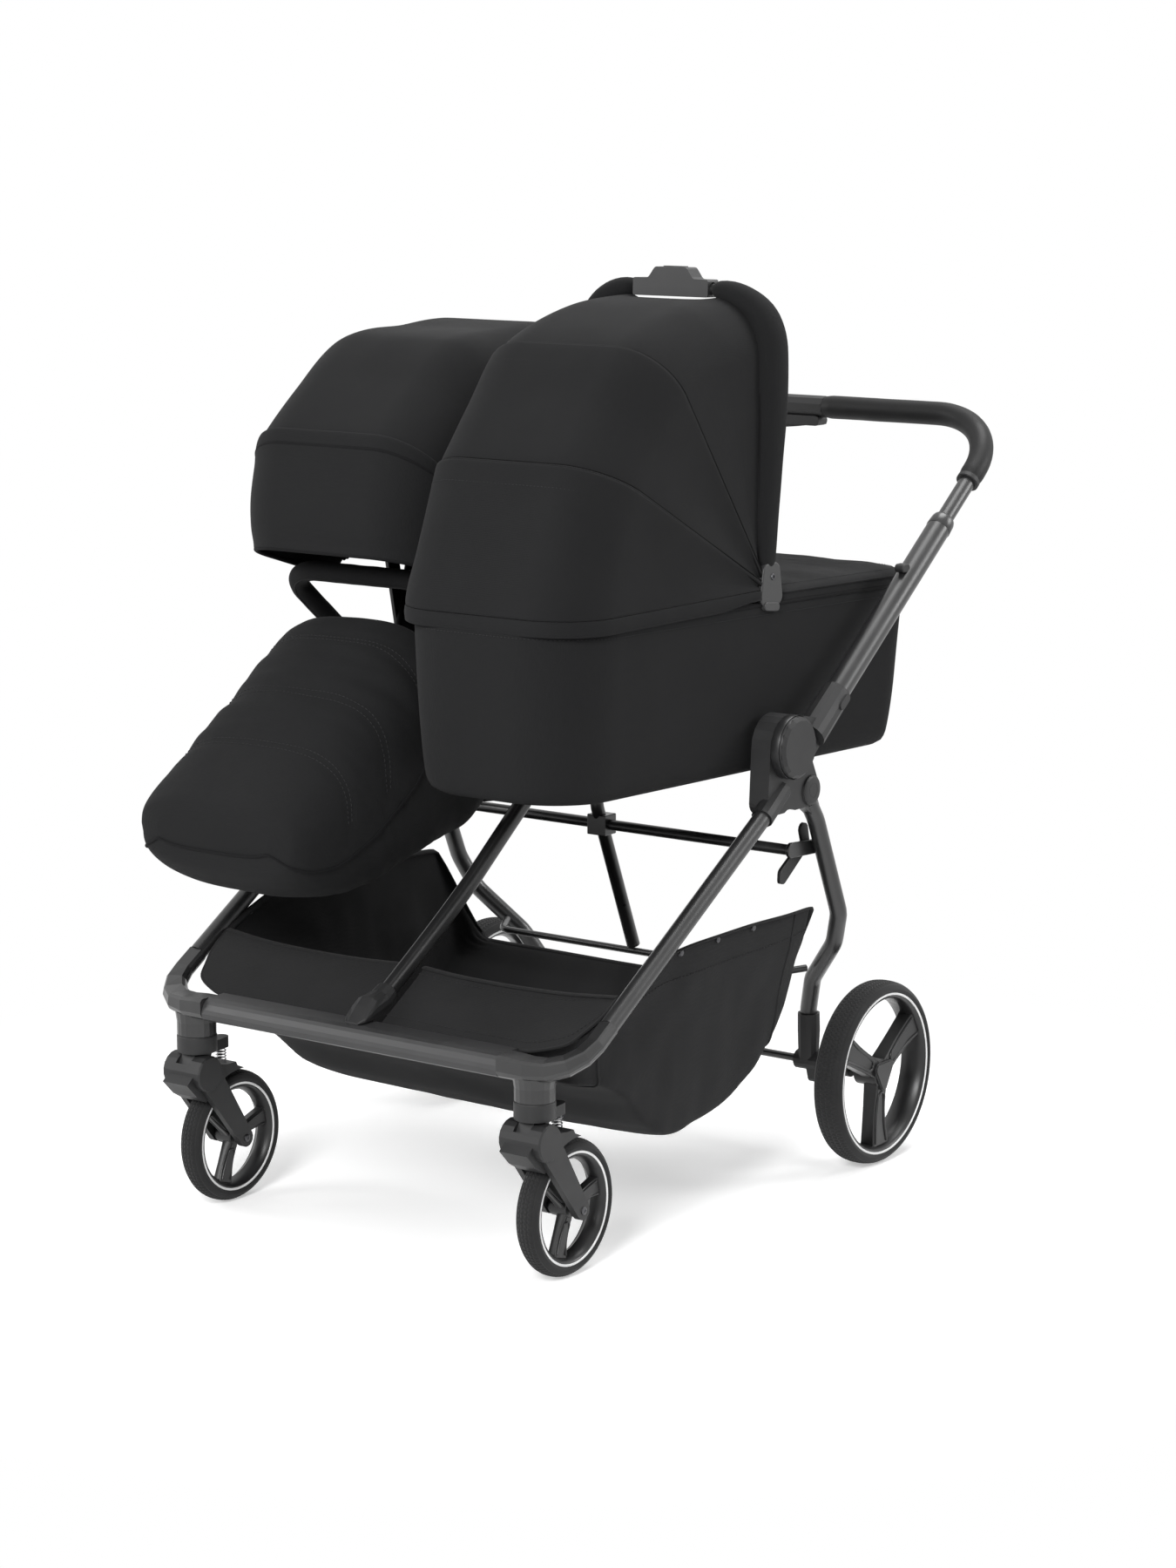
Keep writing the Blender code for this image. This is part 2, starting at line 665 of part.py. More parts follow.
def make_handle_socket(name, side, parent):
    """The turning half of a folding hub, with its outer disc, its cap and the handle's sleeve."""
    low, high = sorted((side * (HUB_SPLIT_X + GAP), side * HUB_DISC_X))
    arm = on_handle(HANDLE_SOCKET_START + 0.010, 0)
    body = wrap([(HUB_Y, HUB_Z, HUB_RADIUS), (arm.y, arm.z, HANDLE_SOCKET_RADIUS - 0.003)], 22)
    pivot = (side * HUB_SPLIT_X, HUB_Y, HUB_Z)
    piece = Piece(name, PLASTIC_DARK, slab(body, low, high), parent, pivot)
    cap = [
        (HUB_RADIUS - 0.0015, -side * 0.001), (HUB_RADIUS - 0.0015, side * 0.004),
        (HUB_RADIUS - 0.006, side * 0.008),
    ]
    piece.join(disc(cap, (side * HUB_DISC_X, HUB_Y, HUB_Z)))
    ends = [on_handle(HANDLE_SOCKET_START, side * HANDLE_X), on_handle(HANDLE_SOCKET_END, side * HANDLE_X)]
    piece.join(rod(ends, HANDLE_SOCKET_RADIUS, 14, scales=(1.06, 1)))
    hole = bore(HANDLE_TUBE_RADIUS, 14)
    start = on_handle(HANDLE_SOCKET_START + 0.030, side * HANDLE_X)
    piece.cut(rod([start, on_handle(HANDLE_SOCKET_END + 0.01, side * HANDLE_X)], hole, 14))
    hollow = bore(HUB_SPIGOT_RADIUS, 12, RUNNING_GAP)
    depth = HUB_DISC_X - HUB_SPLIT_X - 0.002
    piece.cut(
        disc(
            [(hollow, -side * 0.01), (hollow, side * depth)], (side * HUB_SPLIT_X, HUB_Y, HUB_Z),
            AXIS_X, 12,
        )
    )
    button = on_handle(HANDLE_SOCKET_END - 0.016, side * (HANDLE_X + HANDLE_SOCKET_RADIUS - 0.002))
    oval = wrap(
        [
            (button.y - 0.006, button.z - 0.0045, 0.006),
            (button.y + 0.006, button.z + 0.0045, 0.006),
        ],
        12,
    )
    low, high = sorted((button.x - side * 0.001, button.x + side * 0.004))
    piece.join(slab(oval, low, high))


def make_handle_tube(name, side, parent):
    """A fixed outer tube, bored from its top for the tube that slides in it."""
    x = side * HANDLE_X
    start = HANDLE_SOCKET_START + 0.030 + GAP
    path = [on_handle(start, x), on_handle(HANDLE_TUBE_END, x)]
    piece = Piece(name, FRAME_BLACK, rod(path, HANDLE_TUBE_RADIUS, 14), parent, on_handle(start, x))
    collar = [on_handle(HANDLE_TUBE_END - 0.004, x), on_handle(HANDLE_COLLAR_END, x)]
    piece.join(rod(collar, HANDLE_TUBE_RADIUS + 0.0008, 14, scales=(1, 0.86)))
    lug = on_handle(LUG_AT, 0)
    up = Vector((0, -HANDLE_DIRECTION.z, HANDLE_DIRECTION.y))
    foot = lug + up * (HANDLE_TUBE_RADIUS - 0.004)
    tip = lug + up * (HANDLE_TUBE_RADIUS + 0.007) - HANDLE_DIRECTION * 0.006
    outline = wrap([(foot.y, foot.z, 0.010), (tip.y, tip.z, 0.006)], 12)
    piece.join(slab(outline, x - 0.007, x + 0.007))
    hole = bore(HANDLE_INNER_RADIUS, TUBE_SIDES, RUNNING_GAP)
    bottom = on_handle(HANDLE_COLLAR_END - HANDLE_INNER_HIDDEN - HANDLE_TRAVEL - 0.004, x)
    piece.cut(rod([bottom, on_handle(HANDLE_COLLAR_END + 0.01, x)], hole))


def handle_centre_line(start_left, start_right=None):
    """The bent bar's centre line between two distances along the side tubes, left end first."""
    start_right = start_left if start_right is None else start_right
    corners = [Vector((side * HANDLE_X, HANDLE_BAR_Y, HANDLE_BAR_Z)) for side in (1, -1)]
    ends = [on_handle(start_left, HANDLE_X), on_handle(start_right, -HANDLE_X)]
    return fillet_path([ends[0], corners[0], corners[1], ends[1]], HANDLE_BEND, 5)


def make_handle_bar(parent):
    start = HANDLE_COLLAR_END - HANDLE_INNER_HIDDEN
    path = handle_centre_line(start)
    up = Vector((0, -HANDLE_DIRECTION.z, HANDLE_DIRECTION.y))
    Piece(
        "handle_bar", FRAME_BLACK, rod(path, HANDLE_INNER_RADIUS, TUBE_SIDES, up), parent,
        (0, HANDLE_BAR_Y, HANDLE_BAR_Z),
    )
    begin = (GRIP_START_Y - HANDLE_FOOT.y) / HANDLE_DIRECTION.y
    bend = handle_centre_line(begin)
    inner = bore(HANDLE_INNER_RADIUS)
    for name, side in SIDES:
        half = bend[: len(bend) // 2] if side > 0 else bend[len(bend) // 2:][::-1]
        half = half + [Vector((side * (CENTRE_HOUSING_HALF + GAP), HANDLE_BAR_Y, HANDLE_BAR_Z))]
        grip = pipe(half, GRIP_RADIUS, inner, TUBE_SIDES, up)
        Piece(f"handle_grip_{name}", GRIP_LEATHER, grip, parent, half[-1])
    make_centre_housing(parent, inner, up)


def make_centre_housing(parent, inner, up):
    """The housing at the middle of the bar, with a pocket below for the fold lever."""
    ends = [Vector((x, HANDLE_BAR_Y, HANDLE_BAR_Z)) for x in (CENTRE_HOUSING_HALF, -CENTRE_HOUSING_HALF)]
    outer = pipe(ends, CENTRE_HOUSING_RADIUS, inner, TUBE_SIDES, up)
    piece = Piece("handle_centre_housing", PLASTIC_DARK, outer, parent, (0, HANDLE_BAR_Y, HANDLE_BAR_Z))
    low = HANDLE_BAR_Z - CENTRE_HOUSING_RADIUS - 0.012
    outline = round_corners(
        [
            (-0.036, low), (0.040, low), (0.040, HANDLE_BAR_Z - 0.0135),
            (-0.036, HANDLE_BAR_Z - 0.0135),
        ],
        0.006, 2,
    )
    back, front = HANDLE_BAR_Y - 0.012, HANDLE_BAR_Y + 0.012
    pod = slab([(z, x) for x, z in outline], back, front, AXIS_Y)
    piece.join(pod)
    piece.cut(
        block(
            (-0.050, back + 0.004, low - 0.01),
            (0.0335, front - 0.004, HANDLE_BAR_Z - CENTRE_HOUSING_RADIUS - 0.0022),
        )
    )
    make_fold_trigger(parent, low, back + 0.0045, front - 0.0045)


def make_fold_trigger(parent, low, back, front):
    """The squeeze lever under the bar, hinged on a pin across the housing."""
    pivot = (0.028, HANDLE_BAR_Y, low + 0.0055)
    tip = (-0.034, low - 0.0030)
    outline = wrap([(pivot[2], pivot[0], 0.0042), (low + 0.001, 0.0, 0.0035), (tip[1], tip[0], 0.0030)], 12)
    Piece("fold_trigger", PLASTIC_DARK, slab(outline, back, front, AXIS_Y), parent, pivot)


# Rear frame


def rear_leg_path(side):
    """The rear leg: down from the hub, a knee, then inwards under the basket to the axle socket."""
    points = [
        (REAR_LEG_X, 0.5570, 0.5440), (REAR_LEG_X, 0.5780, 0.5150), (REAR_LEG_X, 0.6400, 0.3740),
        (0.3120, 0.6580, 0.3260), (0.2540, 0.6960, 0.2600), (AXLE_SOCKET_X, 0.7235, AXLE_SOCKET_TOP),
        (AXLE_SOCKET_X, REAR_AXLE_Y, AXLE_SOCKET_TOP - 0.020),
    ]
    return fillet_path([(side * x, y, z) for x, y, z in points], [0.030, 0.050, 0.060, 0.045, 0.030], 2)


def make_rear_leg(name, side, parent):
    x = side * REAR_LEG_X
    pivot = (x, REAR_PIVOT_Y, REAR_PIVOT_Z)
    piece = Piece(
        name, FRAME_BLACK, rod(rear_leg_path(side), REAR_LEG_RADIUS, TUBE_SIDES, AXIS_X), parent,
        pivot,
    )
    half = REAR_TONGUE / 2
    tongue = wrap([(REAR_PIVOT_Y, REAR_PIVOT_Z, REAR_EAR_RADIUS - 0.002), (*REAR_TONGUE_END, 0.0105)], 14)
    piece.join(slab(tongue, x - half, x + half))
    hole = bore(PIVOT_PIN_RADIUS, 12, RUNNING_GAP)
    piece.cut(disc([(hole, -0.02), (hole, 0.02)], pivot, AXIS_X, 12))


def make_cross_tube(parent):
    """The tube between the rear legs, with a plate to each leg and a block round the centre leg."""
    y, z = CROSS_TUBE_Y, CROSS_TUBE_Z
    outer = REAR_LEG_X - REAR_LEG_RADIUS - 0.0006
    piece = Piece(
        "rear_cross_tube", FRAME_BLACK,
        rod([(-outer + 0.002, y, z), (outer - 0.002, y, z)], CROSS_TUBE_RADIUS), parent, (0, y, z),
    )
    for side in (1, -1):
        plate = wrap([(y, z, 0.0105), (0.598, z - 0.004, 0.010)], 14)
        low, high = sorted((side * outer, side * (outer - CROSS_PLATE)))
        piece.join(slab(plate, low, high))
    piece.join(block((-0.016, y - 0.0145, z - 0.0150), (0.016, y + 0.0145, z + 0.0150)))
    hole = bore(CENTRE_REAR_RADIUS)
    path = centre_rear_path()
    piece.cut(rod([path[-2] * 1.3 - path[-1] * 0.3, path[-1]], hole, up=AXIS_X))


def centre_rear_path():
    """The thin centre leg: a short bend below the hub, then straight to the basket's rear rim."""
    foot = Vector((0, CENTRE_REAR_FOOT_Y, CENTRE_REAR_FOOT_Z + 0.012))
    lean = Vector((0, CROSS_TUBE_Y, CROSS_TUBE_Z)) - foot
    knee = foot + lean * 1.16
    return fillet_path([(0, REAR_PIVOT_Y - 0.004, REAR_PIVOT_Z - 0.016), tuple(knee), tuple(foot)], 0.02, 2)


def make_centre_rear_leg(parent):
    path = centre_rear_path()
    pivot = (0, REAR_PIVOT_Y, REAR_PIVOT_Z)
    piece = Piece(
        "centre_rear_leg", FRAME_BLACK,
        rod(path, CENTRE_REAR_RADIUS, up=AXIS_X, scales=[0.5] + [1] * (len(path) - 1)), parent,
        pivot,
    )
    piece.join(
        slab(
            wrap([(REAR_PIVOT_Y, REAR_PIVOT_Z, 0.0165), (path[0].y, path[0].z - 0.006, 0.008)], 16),
            -0.0050, 0.0050,
        )
    )
    piece.cut(disc([(bore(0.005, 12), -0.02), (bore(0.005, 12), 0.02)], pivot, AXIS_X, 12))
    foot = path[-1]
    piece.join(disc([(0.0130, -0.004), (0.0130, 0.004), (0.0115, 0.007)], (0, foot.y, foot.z), AXIS_Z, 16))


def make_rim_tube(parent):
    """The thin tube in the basket's rear hem, held by the rear legs at its ends."""
    y, z = CENTRE_REAR_FOOT_Y, CENTRE_REAR_FOOT_Z + 0.012 - 0.004 - GAP - RIM_TUBE_RADIUS
    corner = 0.255
    ends = [(corner + 0.006, 0.6835 - REAR_LEG_RADIUS - RIM_TUBE_RADIUS, z + 0.002), (corner - 0.02, y, z)]
    path = fillet_path(
        [ends[0], ends[1], (-ends[1][0], y, z), (-ends[0][0], ends[0][1], ends[0][2])], 0.02, 3,
    )
    Piece("basket_rear_rim", FRAME_BLACK, rod(path, RIM_TUBE_RADIUS, 8), parent, (0, y, z))


def make_axle_socket(name, side, parent):
    """The moulding at a rear leg's foot: the leg's sleeve, the axle's barrel and the brake's body."""
    x = side * AXLE_SOCKET_X
    centre = Vector((x, REAR_AXLE_Y, REAR_AXLE_Z))
    barrel_end = REAR_WHEEL_X - REAR_TYRE_WIDTH / 2 - 0.0125
    low, high = sorted((side * (AXLE_SOCKET_X - 0.018), side * barrel_end))
    pivot = (x, REAR_AXLE_Y, REAR_AXLE_Z)
    piece = Piece(
        name, PLASTIC_DARK,
        disc([(0.0135, low), (0.0135, high)], (0, REAR_AXLE_Y, REAR_AXLE_Z), AXIS_X, 14), parent,
        pivot,
    )
    outer = bore(REAR_LEG_RADIUS) + 0.0030
    sleeve = [
        centre, Vector((x, REAR_AXLE_Y, AXLE_SOCKET_TOP - 0.030)),
        Vector((x, REAR_AXLE_Y - 0.0010, AXLE_SOCKET_TOP - 0.004)),
    ]
    piece.join(rod(sleeve, outer, 12, AXIS_Y, scales=(0.92, 1.02, 1)))
    pod = wrap([(REAR_AXLE_Y + 0.004, REAR_AXLE_Z - 0.022, 0.0095), (REAR_AXLE_Y, REAR_AXLE_Z, 0.0125)], 14)
    low, high = sorted((side * (AXLE_SOCKET_X + 0.002), side * (AXLE_SOCKET_X + 0.046)))
    piece.join(slab(pod, low, high))
    path = rear_leg_path(side)
    piece.cut(
        rod(
            [path[-1] - AXIS_Z * GAP, path[-2]] + [path[-2] + (path[-3] - path[-2]) * 1.2],
            bore(REAR_LEG_RADIUS), up=AXIS_X,
        )
    )
    hole = bore(REAR_AXLE_RADIUS, 12)
    piece.cut(disc([(hole, -0.4), (hole, 0.4)], (0, REAR_AXLE_Y, REAR_AXLE_Z), AXIS_X, 12))


def make_rear_axle(parent):
    reach = REAR_WHEEL_X + 0.008
    ends = [(REAR_AXLE_RADIUS, -reach), (REAR_AXLE_RADIUS, reach)]
    Piece(
        "rear_axle", STEEL, disc(ends, (0, REAR_AXLE_Y, REAR_AXLE_Z), AXIS_X, 12), parent,
        (0, REAR_AXLE_Y, REAR_AXLE_Z),
    )


def make_brake_pedal(parent):
    """The parking brake's pedal, on a sleeve round the axle at its middle right."""
    x = -0.110
    pivot = (x, REAR_AXLE_Y, REAR_AXLE_Z)
    piece = Piece(
        "brake_pedal", PLASTIC_DARK, disc([(0.0105, -0.032), (0.0105, 0.032)], pivot, AXIS_X, 16),
        parent, pivot,
    )
    pad = wrap([(REAR_AXLE_Y, REAR_AXLE_Z, 0.0085), (REAR_AXLE_Y + 0.042, REAR_AXLE_Z + 0.012, 0.0060)], 12)
    piece.join(slab(pad, x - 0.026, x + 0.026))
    hole = bore(REAR_AXLE_RADIUS, 12, RUNNING_GAP)
    piece.cut(disc([(hole, -0.05), (hole, 0.05)], pivot, AXIS_X, 12))


def make_fold_clip(parent):
    """The hook on the left rear leg that catches the folded frame."""
    outer = REAR_LEG_X - REAR_LEG_RADIUS - 0.0006 - CROSS_PLATE - GAP
    pivot = (outer, 0.5790, 0.4990)
    plate = wrap([(pivot[1], pivot[2], 0.0095), (0.5870, 0.4700, 0.0080)], 12)
    piece = Piece("fold_clip", PLASTIC_DARK, slab(plate, outer - 0.0045, outer), parent, pivot)
    tail = round_corners(
        [(0.5950, 0.4760), (0.5760, 0.4850), (0.5190, 0.4510), (0.5180, 0.4340), (0.5290, 0.4310)],
        0.004, 2,
    )
    piece.join(slab(tail, outer - 0.0045, outer - 0.0002))


# Wheels


def tyre_profile(radius, rim, width):
    """Half-round tread on a tall sidewall, as (radius, offset along the axle), with a flat crown."""
    half = width / 2
    crown = width * 0.16
    return [
        (rim + GAP, -half + 0.003), (radius - 0.0105, -half), (
            radius - 0.0030, -half + 0.0075,
        ), (radius, -crown),
        (radius, crown), (
            radius - 0.0030, half - 0.0075,
        ), (radius - 0.0105, half), (rim + GAP, half - 0.003),
    ]


def standing_phase(facets):
    """Turns a faceted wheel so that it stands on the middle of a flat; facets is an even number."""
    return 0.5 if facets % 4 == 0 else 0


def make_wheel(name, centre, parent, size):
    """A tyre and a rim with three spokes, each a raised U round a slot, and a rounded hub cap."""
    radius, rim, width, facets, phase, hub, outward = size
    half = width / 2
    stand = standing_phase(facets)
    tyre = turned(tyre_profile(radius, rim, width), centre, AXIS_X, facets, stand)
    Piece(f"{name}_tyre", TYRE_RUBBER, tyre, parent, centre)
    flange = rim - 0.0045
    well = [
        (rim, -half + 0.0040), (rim, half - 0.0040), (flange, half - 0.0035),
        (flange - 0.0050, half * 0.3), (flange - 0.0050, -half * 0.3), (flange, -half + 0.0035),
    ]
    piece = Piece(f"{name}_rim", PLASTIC_DARK, turned(well, centre, AXIS_X, facets, stand), parent, centre)
    depth = half - 0.0075
    for i in range(3):
        angle = phase + 120 * i
        along = Vector((math.cos(angle * DEG), math.sin(angle * DEG)))
        tip = along * (flange - 0.0030)
        spoke = spoke_outline(centre, along, hub * 0.5, tip.length, rim * 0.115, rim * 0.175)
        low, high = sorted((centre[0] - outward * depth * 0.55, centre[0] + outward * depth))
        piece.join(slab(spoke, low, high))
        pocket = spoke_outline(centre, along, hub + rim * 0.13, tip.length - 0.002, rim * 0.060, rim * 0.115)
        low, high = sorted(
            (centre[0] + outward * (depth - rim * 0.085), centre[0] + outward * (depth + 0.02))
        )
        piece.cut(slab(pocket, low, high))
    inner_end = -half + 0.001 if outward * centre[0] > 0 and hub > 0.018 else -half - 0.0005
    barrel = [(hub * 0.86, outward * inner_end), (hub * 0.86, outward * (depth + 0.001))]
    piece.join(disc(barrel, centre, AXIS_X, 14))
    return piece


def spoke_outline(centre, along, start, end, half, foot):
    """A spoke seen from its side: round at the hub and wider at the rim."""
    across = Vector((-along.y, along.x))
    origin = Vector((centre[1], centre[2]))
    inner = origin + along * start
    points = [
        inner + along * (half * math.sin(a * DEG) * -1) + across * (half * math.cos(a * DEG))
        for a in range(180, -1, -45)
    ]
    return [tuple(p) for p in points] + [
        tuple(origin + along * end + across * foot), tuple(origin + along * end - across * foot),
    ]


def make_rear_wheel(name, side, parent):
    centre = (side * REAR_WHEEL_X, REAR_AXLE_Y, REAR_AXLE_Z)
    hub = 0.023
    size = (
        REAR_TYRE_RADIUS, REAR_RIM_RADIUS, REAR_TYRE_WIDTH, REAR_FACETS,
        REAR_SPOKE_PHASE, hub, side,
    )
    piece = make_wheel(f"rear_{name}", centre, parent, size)
    depth = REAR_TYRE_WIDTH / 2 - 0.0075
    cap = wrap(
        [
            (centre[1] + 0.0165 * math.cos(a * DEG), centre[2] + 0.0165 * math.sin(a * DEG), 0.0085)
            for a in (30, 150, 270)
        ],
        16,
    )
    low, high = sorted((centre[0] + side * (depth - 0.002), centre[0] + side * (depth + 0.0045)))
    piece.join(slab(cap, low, high))
    hole = bore(REAR_AXLE_RADIUS, 12, RUNNING_GAP)
    reach = side * (REAR_WHEEL_X + 0.0095)
    piece.cut(disc([(hole, side * 0.25), (hole, reach)], (0, REAR_AXLE_Y, REAR_AXLE_Z), AXIS_X, 12))


def make_front_wheel(name, side, parent):
    centre = (side * CASTER_X, FRONT_AXLE_Y, FRONT_AXLE_Z)
    hub = 0.0150
    size = (
        FRONT_TYRE_RADIUS, FRONT_RIM_RADIUS, FRONT_TYRE_WIDTH, FRONT_FACETS,
        FRONT_SPOKE_PHASE, hub, 1,
    )
    piece = make_wheel(f"front_{name}", centre, parent, size)
    half = FORK_ARM_INNER - 0.0006
    piece.join(disc([(0.0105, -half), (0.0105, half)], centre, AXIS_X, 16))
    hole = bore(FRONT_AXLE_RADIUS, 12, RUNNING_GAP)
    piece.cut(disc([(hole, -0.04), (hole, 0.04)], centre, AXIS_X, 12))


# Casters


def make_caster_head(name, side, parent):
    """The swivel: a stem for the socket, a ring, a rear lug over the spring and a neck in the fork."""
    x = side * CASTER_X
    low = SWIVEL_Z - HEAD_RING_HEIGHT
    ring = [
        (SWIVEL_RADIUS - 0.003, low), (SWIVEL_RADIUS, low + 0.003), (SWIVEL_RADIUS, SWIVEL_Z - GAP),
        (STEM_RADIUS, SWIVEL_Z - GAP + 0.00001), (STEM_RADIUS, SWIVEL_Z + STEM_HEIGHT),
    ]
    piece = Piece(name, PLASTIC_DARK, disc(ring, (x, 0, 0), AXIS_Z, 20), parent, (x, 0, SWIVEL_Z))
    lug = wrap([(x, SPRING_Y, 0.0105), (x, 0.015, 0.0130)], 16)
    piece.join(slab(lug, SPRING_TOP_Z + GAP, SPRING_TOP_Z + 0.0150, AXIS_Z))
    neck = wrap([(FORK_PIVOT_Y, FORK_PIVOT_Z, NECK_RADIUS), (0.004, low + 0.006, 0.0150)], 16)
    piece.join(slab(neck, x - NECK_HALF, x + NECK_HALF))
    hole = bore(PIVOT_PIN_RADIUS, 12, RUNNING_GAP)
    piece.cut(disc([(hole, x - 0.02), (hole, x + 0.02)], (0, FORK_PIVOT_Y, FORK_PIVOT_Z), AXIS_X, 12))


def make_caster_fork(name, side, parent):
    """The sprung fork: a crown round the neck, two arms, a guard over the tyre and the spring's seat."""
    x = side * CASTER_X
    pivot = (x, FORK_PIVOT_Y, FORK_PIVOT_Z)
    crown = [
        (FORK_CROWN_RADIUS - 0.002, -FORK_CROWN_HALF),
        (FORK_CROWN_RADIUS, -FORK_CROWN_HALF + 0.002), (FORK_CROWN_RADIUS, FORK_CROWN_HALF - 0.002),
        (FORK_CROWN_RADIUS - 0.002, FORK_CROWN_HALF),
    ]
    piece = Piece(name, PLASTIC_DARK, disc(crown, pivot), parent, pivot)
    clear = FRONT_TYRE_RADIUS + GUARD_CLEARANCE
    under = arc(FRONT_AXLE_Y, FRONT_AXLE_Z, clear, 138, 86, 6)
    guard = [(-0.033, 0.196), (-0.046, 0.186), (-0.026, 0.1655)] + under + [
        (SPRING_Y + 0.009, SPRING_SEAT_Z - 0.0060), (SPRING_Y + 0.006, SPRING_SEAT_Z - GAP),
        (SPRING_Y - 0.009, SPRING_SEAT_Z - GAP), (0.022, 0.2010), (0.010, 0.2100),
    ]
    piece.join(slab(guard, x - FORK_ARM_INNER - 0.001, x + FORK_ARM_INNER + 0.001))
    spread = (FORK_CROWN_RADIUS - FORK_ARM_END_RADIUS) * 0.35
    for hand in (1, -1):
        arm = wrap(
            [
                (FORK_PIVOT_Y, FORK_PIVOT_Z, FORK_CROWN_RADIUS - spread),
                (FRONT_AXLE_Y, FRONT_AXLE_Z, FORK_ARM_END_RADIUS),
            ],
            18,
        )
        low, high = sorted((x + hand * FORK_ARM_INNER, x + hand * FORK_ARM_OUTER))
        piece.join(slab(arm, low, high))
    slot = NECK_HALF + RUNNING_GAP
    piece.cut(
        disc(
            [
                (NECK_RADIUS + RUNNING_GAP + 0.0004, x - slot),
                (NECK_RADIUS + RUNNING_GAP + 0.0004, x + slot),
            ],
            (0, FORK_PIVOT_Y, FORK_PIVOT_Z), AXIS_X, 18,
        )
    )
    well = [
        (FORK_PIVOT_Y - 0.0190, FORK_PIVOT_Z), (FORK_PIVOT_Y + 0.0198, FORK_PIVOT_Z - 0.004),
        (0.0270, 0.2035), (0.0270, 0.240), (FORK_PIVOT_Y - 0.0225, 0.240),
    ]
    piece.cut(slab(well, x - slot, x + slot))
    piece.join(disc([(PIVOT_PIN_RADIUS, -0.0135), (PIVOT_PIN_RADIUS, 0.0135)], pivot, AXIS_X, 12))
    reach = FORK_ARM_INNER + 0.002
    piece.join(
        disc(
            [(FRONT_AXLE_RADIUS, -reach), (FRONT_AXLE_RADIUS, reach)],
            (x, FRONT_AXLE_Y, FRONT_AXLE_Z), AXIS_X, 12,
        )
    )


def make_spring(name, side, parent):
    """The caster's coil spring, between the fork's seat and the head's lug."""
    x = side * CASTER_X
    low = SPRING_SEAT_Z + GAP + SPRING_WIRE
    high = SPRING_TOP_Z - GAP - SPRING_WIRE
    points = 8
    count = int(SPRING_TURNS * points)
    path = []
    for i in range(count + 1):
        angle = 2 * math.pi * i / points
        path.append(
            Vector(
                (
                    x + SPRING_RADIUS * math.cos(angle), SPRING_Y + SPRING_RADIUS * math.sin(angle),
                    low + (high - low) * i / count,
                )
            )
        )
    gap = (high - low) / SPRING_TURNS - 2 * SPRING_WIRE
    print(f"{name}: least gap between turns {gap * 1000:.2f} mm")
    curve = bpy.data.curves.new(name, "CURVE")
    curve.dimensions = "3D"
    curve.bevel_depth = SPRING_WIRE
    curve.bevel_resolution = 1
    curve.use_fill_caps = True
    pivot = Vector((x, SPRING_Y, SPRING_TOP_Z))
    spline = curve.splines.new("POLY")
    spline.points.add(len(path) - 1)
    for point, place in zip(spline.points, path):
        point.co = (*(place - pivot), 1)
    curve.materials.append(finish_of(STEEL))
    obj = bpy.data.objects.new(name, curve)
    bpy.context.scene.collection.objects.link(obj)
    obj.location = pivot
    obj.parent = parent


# Cloth shapes: a grid of points made into a sheet of even thickness


def sheet(grid, thickness):
    """A closed solid between a grid of points and its offset, which lies on the side of the normals."""
    rows, columns = len(grid), len(grid[0])
    grid = [[Vector(p) for p in row] for row in grid]
    offset = []
    for i in range(rows):
        line = []
        for j in range(columns):
            down = grid[min(i + 1, rows - 1)][j] - grid[max(i - 1, 0)][j]
            across = grid[i][min(j + 1, columns - 1)] - grid[i][max(j - 1, 0)]
            line.append(grid[i][j] + down.cross(across).normalized() * thickness)
        offset.append(line)
    rings = []
    for i in range(rows):
        rings.append(grid[i] + offset[i][::-1])
    return skin(rings)


def arch_outline(half, height, corner, foot, steps=4):
    """Half-round arch points (x, up), from the foot of one leg over the top to the other."""
    side = [(-half, foot + (height - corner - foot) * i / 3) for i in range(3)]
    bend = arc(-half + corner, height - corner, corner, 180, 90, steps)
    left = side + bend
    return left + [(0, height)] + [(-x, z) for x, z in reversed(left)]


# Basket


def make_basket(parent):
    """A sling of cloth between the front legs, the footboard and the rear rim tube."""
    stations = (
        (0.0188, 0.268, 0.296, 0.243, 0.236), (0.060, 0.250, 0.318, 0.308, 0.300), (
            0.120, 0.232, 0.357, BASKET_HALF, 0.305,
        ),
        (
            0.175, 0.200, 0.380, BASKET_HALF, 0.300,
        ), (0.230, 0.152, 0.395, BASKET_HALF, 0.290), (0.300, 0.124, 0.398, BASKET_HALF, 0.285),
        (0.400, 0.130, 0.398, BASKET_HALF, 0.280), (0.500, 0.172, 0.395, BASKET_HALF, 0.278), (
            0.575, 0.232, 0.392, BASKET_HALF - 0.006, 0.272,
        ),
        (0.6045, 0.262, 0.2745, 0.262, 0.256),
    )
    grid = []
    for y, low, top, half, floor in stations:
        wall = top - low
        rise = min(0.05, wall * 0.45)
        left = [
            (half, top), (half, top - wall * 0.3), (half - 0.001, low + wall * 0.42 + rise * 0.3),
            ((half + floor) / 2, low + rise * 0.45), (floor, low + rise * 0.12), (floor * 0.55, low),
        ]
        row = left + [(0, low - 0.001)] + [(-x, z) for x, z in reversed(left)]
        grid.append([(x, y, z) for x, z in row])
    Piece("basket", FABRIC_BLACK, sheet(grid, BASKET_SHEET), parent, (0, 0.3, 0.4))


